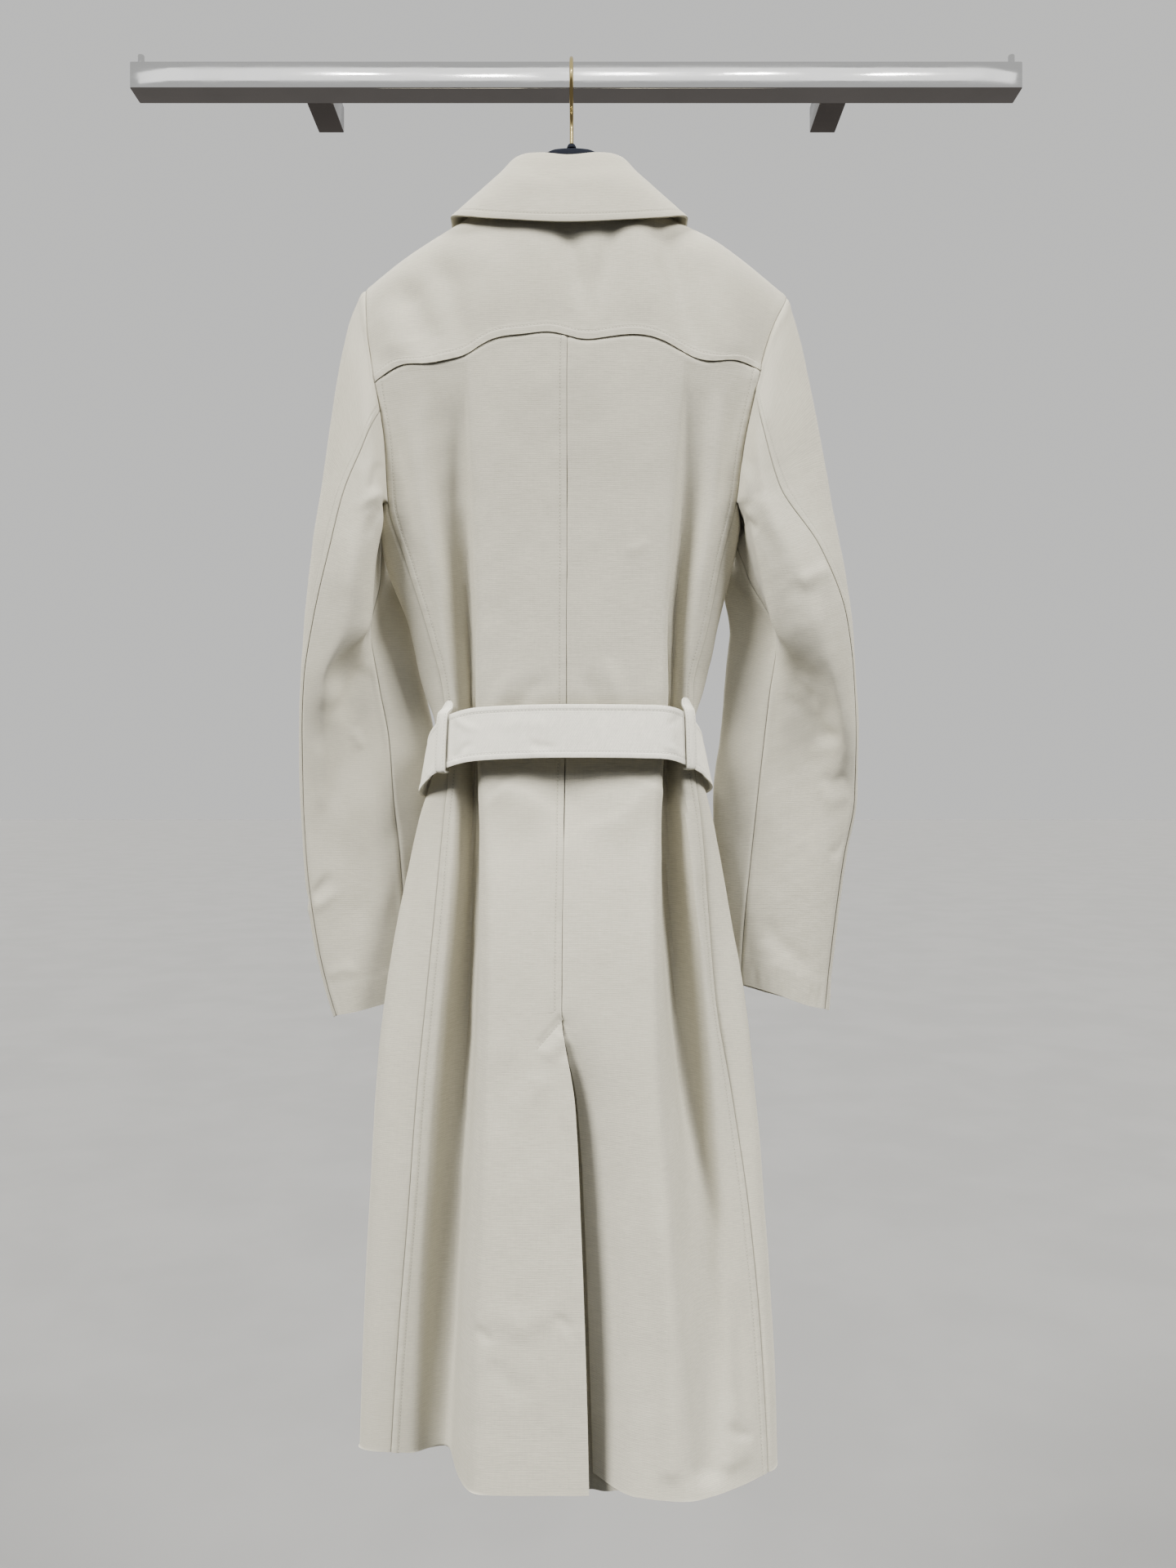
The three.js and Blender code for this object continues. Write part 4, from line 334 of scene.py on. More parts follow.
YOKE_X, YOKE_Z = smooth_edge()


def yoke_edge(x):
    return np.interp(x, YOKE_X, YOKE_Z)


def yoke_level(side, s):
    s = np.atleast_1d(np.asarray(s, float))
    low, high = np.full(s.shape, float(UNDERARM)), np.full(s.shape, TOP - 1.0)
    for _ in range(30):
        mid = (low + high) / 2
        p = back_place(side, s, mid)
        under = p[:, 2] < yoke_edge(p[:, 0])
        low, high = np.where(under, mid, low), np.where(under, high, mid)
    return low


def shoulder_seam(side, q):
    return along(BACK[side][TOP], 2 + np.atleast_1d(q) * 4)


def armhole(side, w):
    """The armhole's line: 0 at the shoulder's tip, down the back to 1 under the arm, up the front to 2."""
    w = np.atleast_1d(np.asarray(w, float)).ravel()
    back = back_place(side, np.full(w.shape, float(EDGE)), np.clip(TOP + (UNDERARM - TOP) * w, UNDERARM, TOP))
    front = front_place(side, np.zeros(w.shape), np.clip(UNDERARM + (TOP - UNDERARM) * (w - 1), UNDERARM, TOP))
    return np.where((w <= 1)[:, None], back, front)


def turns(side):
    first = (TOP - yoke_level(side, EDGE)[0]) / (TOP - UNDERARM)
    start = first + (1 - first) / 4
    return np.array([start, (1 + start) / 2, 1, 8 / 7, 9 / 7, 11 / 7, 2, 2 + start])


TURNS = {k: turns(k) for k in ("left", "right")}


def armhole_at(side, s):
    w = np.interp(np.mod(s, 7.0), np.arange(8), TURNS[side])
    return np.where(w > 2, w - 2, w)


def sleeve_place(side, s, t):
    s, t, shape = flat(s, t)
    p = place(SLEEVE[side], s, t, True)
    near = t < 1
    if near.any():
        sn = s[near]
        start = place(SLEEVE[side], sn, np.zeros(sn.shape), True)
        p[near] += (armhole(side, armhole_at(side, sn)) - start) * ((1 - t[near]) ** 2)[:, None]
    return p.reshape(*shape, 3)


def collar_place(column, q):
    rows = np.array(COLLAR, float)
    left = rows[:, column] * [-1, 1, 1]
    full = np.concatenate([left, rows[:-1, column][::-1]])
    return along(full, q) + [COLLAR_MIDDLE, 0, 0]


def belt_place(u, k):
    B = np.array(BELT_PATH, float)
    P = along(B[:, 0] * (1 - k) + B[:, 1] * k, u)
    # across the back its lower edge stands out a little
    out = np.interp(u, [4.2, 5.4, 8.6, 9.8], [0, 1, 1, 0])
    P[..., 1] -= 4.2 * k * out
    return P


# ---- grids ----
def unit(a):
    return a / np.maximum(np.linalg.norm(a, axis=-1, keepdims=True), 1e-9)


def grid_normals(P, sign):
    ds = np.gradient(P, axis=1)
    dt = np.gradient(P, axis=0)
    return unit(np.cross(ds, dt)) * sign


def even(curves, count, ends=(0.6, 1.6, 3.0)):
    """Places from 0 to 1 at even lengths along the mean of some curves, with a few more close to both ends.
    curves is (how many, samples, 3)."""
    d = np.linalg.norm(np.diff(curves, axis=1), axis=2)
    d = d + d.mean() * 0.02
    length = float(d.sum(1).mean())
    c = np.concatenate([[0], np.cumsum((d / d.sum(1, keepdims=True)).mean(0))])
    want = np.linspace(0, 1, count)
    if ends:
        near = np.array(ends) / length
        want = np.concatenate([[0], near, want[(want > near[-1] * 1.3) & (want < 1 - near[-1] * 1.3)], 1 - near[::-1], [1]])
    return np.interp(want, c / c[-1], np.linspace(0, 1, len(c))), length


def cumulative(P, axis):
    d = np.linalg.norm(np.diff(P, axis=axis), axis=2)
    zero = np.zeros_like(d[:, :1] if axis == 1 else d[:1])
    return np.concatenate([zero, np.cumsum(d, axis=axis)], axis=axis)


def soften(P, times, keep=0):
    """Evens out small steps inside a grid. Its edges stay where they are."""
    for _ in range(times):
        Q = P.copy()
        Q[1:-1, 1:-1] = P[1:-1, 1:-1] * 0.5 + (P[2:, 1:-1] + P[:-2, 1:-1] + P[1:-1, 2:] + P[1:-1, :-2]) * 0.125
        Q[1:-1, 0] = P[1:-1, 0]
        P = Q
    return P


def seen_at(P):
    """Where a point stands in the picture's plane, in its pixels."""
    depth = P[..., 1] - CAMERA["y"]
    u = CAMERA["cx"] + CAMERA["focal"] * (P[..., 0] - CAMERA["x"]) / depth
    v = CAMERA["cy"] - CAMERA["focal"] * (P[..., 2] - CAMERA["z"]) / depth
    return u, v


def smooth_step(a, b, x):
    k = np.clip((x - a) / (b - a), 0, 1)
    return k * k * (3 - 2 * k)


def line_mark(u, v, path, wide, deep, ends=(0.25, 0.25)):
    """A ridge (deep > 0) or a trough (deep < 0) along a path. wide is one width, or one for each side of the path."""
    path = np.asarray(path, float)
    wl, wr = wide if hasattr(wide, "__len__") else (wide, wide)
    reach = 3 * max(wl, wr)
    out = np.zeros(u.shape)
    box = (u > path[:, 0].min() - reach) & (u < path[:, 0].max() + reach) & (v > path[:, 1].min() - reach) & (v < path[:, 1].max() + reach)
    if not box.any():
        return out
    uu, vv = u[box], v[box]
    seg = np.diff(path, axis=0)
    ln = np.linalg.norm(seg, axis=1)
    total = ln.sum()
    best = np.full(uu.shape, 1e9)
    side = np.zeros(uu.shape)
    frac = np.zeros(uu.shape)
    run = 0.0
    for (a, b), d, l in zip(path[:-1], seg, ln):
        k = np.clip(((uu - a) * d[0] + (vv - b) * d[1]) / (l * l), 0, 1)
        du, dv = uu - (a + k * d[0]), vv - (b + k * d[1])
        r = np.hypot(du, dv)
        closer = r < best
        best = np.where(closer, r, best)
        side = np.where(closer, d[0] * dv - d[1] * du, side)
        frac = np.where(closer, (run + k * l) / total, frac)
        run += l
    w = np.where(side > 0, wr, wl)
    e0, e1 = ends
    fade = np.ones(uu.shape)
    if e0:
        fade = fade * smooth_step(0, e0, frac)
    if e1:
        fade = fade * smooth_step(0, e1, 1 - frac)
    out[box] = deep * np.exp(-((best / w) ** 2)) * fade
    return out


def spot(u, v, at, size, deep, turn=0.0):
    c, s = math.cos(math.radians(turn)), math.sin(math.radians(turn))
    a, b = u - at[0], v - at[1]
    return deep * np.exp(-(((a * c + b * s) / size[0]) ** 2) - (((b * c - a * s) / size[1]) ** 2))


def slow_noise(P, seed, wave):
    """A smooth wander of the surface, from a few fixed sine waves."""
    rng = np.random.default_rng(seed)
    total = np.zeros(P.shape[:-1])
    for _ in range(9):
        k = rng.normal(size=3)
        k *= rng.uniform(0.6, 1.5) * 2 * math.pi / wave / np.linalg.norm(k)
        total += np.sin(P @ k + rng.uniform(0, 2 * math.pi)) * rng.uniform(0.5, 1)
    return total / 3.2


# ---- meshes ----
def new_mesh(name, verts, faces, uvs=None, values=None):
    """verts in millimetres; faces is (n, 4) or a list of tuples; uvs and values are per vertex."""
    mesh = bpy.data.meshes.new(name)
    if isinstance(faces, np.ndarray):
        n, k = faces.shape
        mesh.vertices.add(len(verts))
        mesh.vertices.foreach_set("co", (np.asarray(verts) * 0.001).astype(np.float32).ravel())
        mesh.loops.add(n * k)
        mesh.loops.foreach_set("vertex_index", faces.astype(np.int32).ravel())
        mesh.polygons.add(n)
        mesh.polygons.foreach_set("loop_start", np.arange(0, n * k, k, dtype=np.int32))
        mesh.polygons.foreach_set("loop_total", np.full(n, k, np.int32))
    else:
        mesh.from_pydata([tuple(float(c) * 0.001 for c in v) for v in verts], [], [tuple(int(i) for i in f) for f in faces])
    mesh.update(calc_edges=True)
    mesh.validate()
    index = np.empty(len(mesh.loops), np.int32)
    mesh.loops.foreach_get("vertex_index", index)
    for key, uv in (uvs or {}).items():
        layer = mesh.uv_layers.new(name=key)
        layer.data.foreach_set("uv", np.asarray(uv, np.float32)[index].ravel())
    for key, val in (values or {}).items():
        a = mesh.attributes.new(key, "FLOAT", "POINT")
        a.data.foreach_set("value", np.asarray(val, np.float32).ravel())
    mesh.polygons.foreach_set("use_smooth", np.ones(len(mesh.polygons), bool))
    mesh.update()
    obj = bpy.data.objects.new(name, mesh)
    bpy.context.scene.collection.objects.link(obj)
    return obj


def face_out(obj):
    """Turns a closed mesh's faces outwards."""
    mesh = obj.data
    n = len(mesh.vertices)
    co = np.empty(n * 3, np.float32)
    mesh.vertices.foreach_get("co", co)
    co = co.reshape(-1, 3).astype(float)
    volume = 0.0
    mesh.calc_loop_triangles()
    t = np.empty(len(mesh.loop_triangles) * 3, np.int32)
    mesh.loop_triangles.foreach_get("vertices", t)
    t = t.reshape(-1, 3)
    volume = float(np.einsum("ij,ij->i", co[t[:, 0]], np.cross(co[t[:, 1]], co[t[:, 2]])).sum())
    if volume < 0:
        mesh.flip_normals()


def cloth_shell(name, P, N, thick, cloth_uv, stitch_uv, seam, sharp=40):
    """A closed sheet: P is its outer grid and N the directions out of it."""
    nr, nc = P.shape[:2]
    Q = P - N * thick
    verts = np.concatenate([P.reshape(-1, 3), Q.reshape(-1, 3)])
    a = np.arange(nr * nc).reshape(nr, nc)
    b = a + nr * nc
    outer = np.stack([a[:-1, :-1], a[:-1, 1:], a[1:, 1:], a[1:, :-1]], -1).reshape(-1, 4)
    inner = np.stack([b[:-1, :-1], b[1:, :-1], b[1:, 1:], b[:-1, 1:]], -1).reshape(-1, 4)
    rims = [
        np.stack([b[0, :-1], b[0, 1:], a[0, 1:], a[0, :-1]], -1),
        np.stack([a[-1, :-1], a[-1, 1:], b[-1, 1:], b[-1, :-1]], -1),
        np.stack([a[:-1, 0], a[1:, 0], b[1:, 0], b[:-1, 0]], -1),
        np.stack([b[:-1, -1], b[1:, -1], a[1:, -1], a[:-1, -1]], -1),
    ]
    faces = np.concatenate([outer, inner, *rims])
    two = lambda x: np.concatenate([x.reshape(nr * nc, -1), x.reshape(nr * nc, -1)])
    far = stitch_uv.copy()
    far[..., 1] = 1.0
    uvs = {"Cloth": two(cloth_uv) * 0.001, "Stitch": np.concatenate([stitch_uv.reshape(-1, 2), far.reshape(-1, 2)]) * 0.001}
    # the seam value is each point's distance to a seam or edge; the cloth's material paints shade close to it
    obj = new_mesh(name, verts, faces, uvs, {"seam": two(seam)[:, 0] * 0.001})
    face_out(obj)
    obj.data.set_sharp_from_angle(angle=math.radians(sharp))
    return obj


def stitches(lines, shape):
    """The nearest of some stitch lines at each vertex: each is (length along it, distance from it)."""
    best = np.full(shape, 999.0)
    run = np.zeros(shape)
    for length, away in lines:
        closer = np.abs(away) < np.abs(best)
        best = np.where(closer, away, best)
        run = np.where(closer, length, run)
    return np.stack([run, best], -1)


def near_seam(d, groove=0.45, width=1.2, puff=0.3):
    """How far the surface sinks into a seam, and swells just beside it."""
    return -groove * np.exp(-((d / width) ** 2)) + puff * np.exp(-(((d - 3.6) / 2.2) ** 2))


PIECES = []


def sew(piece, nodes):
    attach(piece, "root")
    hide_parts(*nodes)
    PIECES.append(piece)
    return piece


# ---- materials ----
def node(nt, kind, **inputs):
    n = nt.nodes.new(kind)
    for k, v in inputs.items():
        if k.startswith("_"):
            setattr(n, k[1:], v)
        else:
            n.inputs[k.replace("__", " ")].default_value = v
    return n


class Graph:
    """A short way to write a material's nodes."""

    def __init__(self, name):
        self.mat = bpy.data.materials.new(name)
        self.mat.use_nodes = True
        self.nt = self.mat.node_tree
        self.shader = self.nt.nodes["Principled BSDF"]

    def link(self, a, b):
        self.nt.links.new(a, b)

    def put(self, socket, value):
        if isinstance(value, bpy.types.NodeSocket):
            self.link(value, socket)
        else:
            socket.default_value = value

    def math(self, op, a, b=0.0, c=0.0, clamp=False):
        n = self.nt.nodes.new("ShaderNodeMath")
        n.operation, n.use_clamp = op, clamp
        for s, v in zip(n.inputs, (a, b, c)):
            self.put(s, v)
        return n.outputs[0]

    def ramp(self, value, a, b, lo=0.0, hi=1.0):
        """Smoothly from lo to hi as value goes from a to b."""
        n = self.nt.nodes.new("ShaderNodeMapRange")
        n.interpolation_type = "SMOOTHSTEP"
        self.put(n.inputs["Value"], value)
        for k, v in (("From Min", a), ("From Max", b), ("To Min", lo), ("To Max", hi)):
            n.inputs[k].default_value = v
        return n.outputs["Result"]

    def uv(self, name):
        n = self.nt.nodes.new("ShaderNodeUVMap")
        n.uv_map = name
        return n.outputs["UV"]

    def objects(self):
        return self.nt.nodes.new("ShaderNodeTexCoord").outputs["Object"]

    def attribute(self, name):
        n = self.nt.nodes.new("ShaderNodeAttribute")
        n.attribute_name = name
        return n.outputs["Fac"]

    def scaled(self, vector, scale):
        n = self.nt.nodes.new("ShaderNodeMapping")
        self.link(vector, n.inputs["Vector"])
        n.inputs["Scale"].default_value = scale
        return n.outputs["Vector"]

    def noise(self, vector, scale=1.0, detail=2.0, rough=0.5):
        n = self.nt.nodes.new("ShaderNodeTexNoise")
        self.link(vector, n.inputs["Vector"])
        n.inputs["Scale"].default_value = scale
        n.inputs["Detail"].default_value = detail
        n.inputs["Roughness"].default_value = rough
        return n.outputs["Fac"]

    def wave(self, vector, scale, axis, distort=1.0, detail=1.0):
        n = self.nt.nodes.new("ShaderNodeTexWave")
        n.wave_type, n.bands_direction = "BANDS", axis
        self.link(vector, n.inputs["Vector"])
        n.inputs["Scale"].default_value = scale
        n.inputs["Distortion"].default_value = distort
        n.inputs["Detail"].default_value = detail
        n.inputs["Detail Scale"].default_value = 2.0
        return n.outputs["Fac"]

    def split(self, vector):
        n = self.nt.nodes.new("ShaderNodeSeparateXYZ")
        self.link(vector, n.inputs[0])
        return n.outputs

    def mix(self, fac, a, b, mode="MIX"):
        n = self.nt.nodes.new("ShaderNodeMix")
        n.data_type, n.blend_type = "RGBA", mode
        self.put(n.inputs["Factor"], fac)
        for s, v in ((n.inputs[6], a), (n.inputs[7], b)):
            self.put(s, v if isinstance(v, bpy.types.NodeSocket) else (*v, 1.0))
        return n.outputs[2]

    def bump(self, height, distance, strength=1.0, normal=None):
        n = self.nt.nodes.new("ShaderNodeBump")
        self.link(height, n.inputs["Height"])
        n.inputs["Distance"].default_value = distance
        n.inputs["Strength"].default_value = strength
        if normal:
            self.link(normal, n.inputs["Normal"])
        return n.outputs["Normal"]

    def finish(self, colour, rough, normal=None, **same):
        self.put(self.shader.inputs["Base Color"], colour if isinstance(colour, bpy.types.NodeSocket) else (*colour, 1.0))
        self.put(self.shader.inputs["Roughness"], rough)
        if normal:
            self.link(normal, self.shader.inputs["Normal"])
        for k, v in same.items():
            self.shader.inputs[k.replace("_", " ")].default_value = v
        return self.mat


def cloth_material(name, base, rib_axis, thread, rib=0.00125):
    """A compact ribbed cotton. rib_axis is the direction across the ribs in the Cloth map: Y for level ribs, X for upright ones."""
    g = Graph(name)
    cloth, where = g.uv("Cloth"), g.objects()
    across = (1 / 0.011, 1 / 0.0012, 1.0) if rib_axis == "Y" else (1 / 0.0012, 1 / 0.011, 1.0)
    fine = (1 / 0.0032, 1 / 0.0006, 1.0) if rib_axis == "Y" else (1 / 0.0006, 1 / 0.0032, 1.0)
    streak = g.noise(g.scaled(cloth, across), 1.0, 3.0, 0.62)
    yarn = g.noise(g.scaled(cloth, fine), 1.0, 1.0, 0.5)
    ribs = g.wave(cloth, 0.314 / rib, rib_axis, 1.6, 2.0)
    warp = g.noise(g.scaled(cloth, (1 / 0.0009, 1 / 0.02, 1.0) if rib_axis == "Y" else (1 / 0.02, 1 / 0.0009, 1.0)), 1.0, 1.0, 0.5)
    broad = g.noise(where, 5.0, 3.0, 0.55)
    tint = g.noise(where, 2.2, 1.0, 0.5)
    # colour: yarns, then slow changes over the cloth
    dark = tuple(c * 0.81 for c in base)
    light = tuple(min(1.0, c * 1.15) for c in base)
    weave = g.math("ADD", g.math("MULTIPLY", streak, 0.55), g.math("ADD", g.math("MULTIPLY", ribs, 0.18), g.math("MULTIPLY", yarn, 0.27)))
    weave = g.math("ADD", g.math("MULTIPLY", weave, 0.86), g.math("MULTIPLY", warp, 0.14))
    colour = g.mix(g.ramp(weave, 0.28, 0.72), dark, light)
    colour = g.mix(g.ramp(broad, 0.3, 0.7, 0.0, 0.30), colour, tuple(c * k for c, k in zip(base, (0.955, 0.96, 0.97))))
    colour = g.mix(g.ramp(tint, 0.35, 0.65, 0.0, 0.25), colour, tuple(min(1, c * k) for c, k in zip(base, (1.03, 1.015, 0.985))))
    # stitches: a thread every 3 mm in a shallow channel; the channel and the holes between the threads are darkened as
    # painted shade
    run, away = g.split(g.uv("Stitch"))[:2]
    beat = g.math("FRACT", g.math("DIVIDE", run, 0.0031))
    far = g.math("ABSOLUTE", away)
    dash = g.math("MULTIPLY", g.ramp(beat, 0.06, 0.2), g.ramp(beat, 0.62, 0.78, 1.0, 0.0))
    line = g.ramp(far, 0.00022, 0.00055, 1.0, 0.0)
    stitch = g.math("MULTIPLY", dash, line)
    hole = g.math("MULTIPLY", g.math("SUBTRACT", 1.0, dash), line)
    channel = g.ramp(far, 0.0002, 0.0019, 1.0, 0.0)
    colour = g.mix(g.math("MULTIPLY", channel, 0.16), colour, tuple(c * 0.72 for c in base))
    colour = g.mix(g.math("MULTIPLY", hole, 0.62), colour, tuple(c * 0.45 for c in base))
    colour = g.mix(g.math("MULTIPLY", stitch, 0.8), colour, thread)
    # seams and edges: painted shade darkens the join, and the cloth is a little lighter beside it
    seam = g.attribute("seam")
    colour = g.mix(g.ramp(seam, 0.0011, 0.0038, 0.16, 0.0), colour, light)
    colour = g.mix(g.ramp(seam, 0.0002, 0.0010, 0.5, 0.0), colour, tuple(c * 0.45 for c in base))
    height = g.math("ADD", g.math("MULTIPLY", streak, 0.5), g.math("ADD", g.math("MULTIPLY", ribs, 0.35), g.math("MULTIPLY", yarn, 0.25)))
    normal = g.bump(height, 0.00022, 0.55)
    puff = g.math("ADD", g.math("MULTIPLY", channel, -1.0), g.math("MULTIPLY", stitch, 0.7))
    normal = g.bump(puff, 0.00032, 0.75, normal)
    normal = g.bump(g.noise(where, 55.0, 3.0, 0.55), 0.0009, 0.22, normal)
    rough = g.ramp(streak, 0.3, 0.7, 0.86, 0.72)
    return g.finish(colour, rough, normal, Sheen_Weight=0.10, Sheen_Roughness=0.45, Specular_IOR_Level=0.32)


STONE = (0.532, 0.506, 0.415)
PALE = (0.78, 0.755, 0.655)
COAT = cloth_material("coat_cotton", STONE, "Y", (0.525, 0.50, 0.41))
BELT = cloth_material("belt_cotton", PALE, "X", (0.76, 0.735, 0.635), 0.0014)


def metal_material(name, colour, rough, smear, scratch=0.0006):
    g = Graph(name)
    where = g.objects()
    hazy = g.noise(where, 14.0, 4.0, 0.6)
    wipe = g.noise(g.scaled(where, (9.0, 260.0, 260.0)), 1.0, 3.0, 0.6)
    spots = g.noise(where, 900.0, 2.0, 0.5)
    tone = g.mix(g.ramp(hazy, 0.35, 0.75, 0.0, 0.5), colour, tuple(c * 0.86 for c in colour))
    tone = g.mix(g.ramp(spots, 0.66, 0.72, 0.0, 0.25), tone, tuple(c * 0.6 for c in colour))
    rub = g.math("ADD", g.math("MULTIPLY", hazy, 0.6), g.math("MULTIPLY", wipe, 0.4))
    level = g.ramp(rub, 0.35, 0.72, rough, smear)
    normal = g.bump(wipe, scratch * 0.1, 0.10)
    normal = g.bump(hazy, 0.0008, 0.10, normal)
    return g.finish(tone, level, normal, Metallic=1.0)


STEEL = metal_material("mirror_steel", (0.70, 0.69, 0.67), 0.05, 0.16)
# a darker copy of the rail's steel for the brackets: painted shade under the rail
SHADED_STEEL = metal_material("shaded_steel", (0.40, 0.38, 0.36), 0.16, 0.30)
BRASS = metal_material("polished_brass", (0.83, 0.66, 0.30), 0.12, 0.24)


def black_material():
    g = Graph("black_lacquer")
    where = g.objects()
    grain = g.noise(where, 700.0, 3.0, 0.6)
    haze = g.noise(where, 22.0, 3.0, 0.55)
    colour = g.mix(g.ramp(haze, 0.3, 0.7), (0.007, 0.008, 0.013), (0.013, 0.015, 0.022))
    colour = g.mix(g.ramp(grain, 0.62, 0.74, 0.0, 0.3), colour, (0.05, 0.055, 0.065))
    return g.finish(colour, g.ramp(haze, 0.3, 0.7, 0.5, 0.68), g.bump(grain, 0.00008, 0.5), Specular_IOR_Level=0.2)


def horn_material():
    g = Graph("horn_button")
    where = g.objects()
    swirl = g.noise(g.scaled(where, (60.0, 60.0, 140.0)), 1.0, 4.0, 0.6)
    vein = g.wave(g.scaled(where, (1.0, 1.0, 1.0)), 60.0, "DIAGONAL", 7.0, 3.0)
    colour = g.mix(g.ramp(swirl, 0.3, 0.7), (0.30, 0.25, 0.19), (0.52, 0.46, 0.37))
    colour = g.mix(g.math("MULTIPLY", vein, 0.3), colour, (0.62, 0.56, 0.46))
    return g.finish(colour, g.ramp(swirl, 0.3, 0.7, 0.28, 0.42), g.bump(swirl, 0.0001, 0.4), Coat_Weight=0.2, Coat_Roughness=0.2)


BLACK, HORN = black_material(), horn_material()


# ---- marks of the cloth: ridges and troughs, each a path with its widths and its height ----
# Paths are in the picture's plane and act on cloth that faces the camera.
YOKE_MARKS = [
    ([(482, 336), (503, 366), (520, 410), (524, 450)], 24, -7.0, (0.3, 0.45)),
    ([(516, 300), (546, 345), (560, 400), (566, 450)], 20, -4.5, (0.3, 0.45)),
    ([(566, 285), (604, 330), (616, 420)], 26, 2.6, (0.3, 0.6)),
    ([(640, 262), (660, 320), (668, 400)], 24, 1.6, (0.2, 0.5)),
    ([(690, 262), (704, 320), (722, 400)], 12, -3.6, (0.1, 0.5)),
    ([(752, 262), (742, 318), (726, 400)], 11, -2.6, (0.1, 0.5)),
    ([(776, 262), (786, 320), (790, 420)], 20, 2.2, (0.1, 0.5)),
    ([(806, 256), (826, 325), (850, 404), (858, 460)], 17, -5.5, (0.15, 0.4)),
    ([(846, 280), (884, 330), (912, 410)], 17, 2.4, (0.3, 0.5)),
]
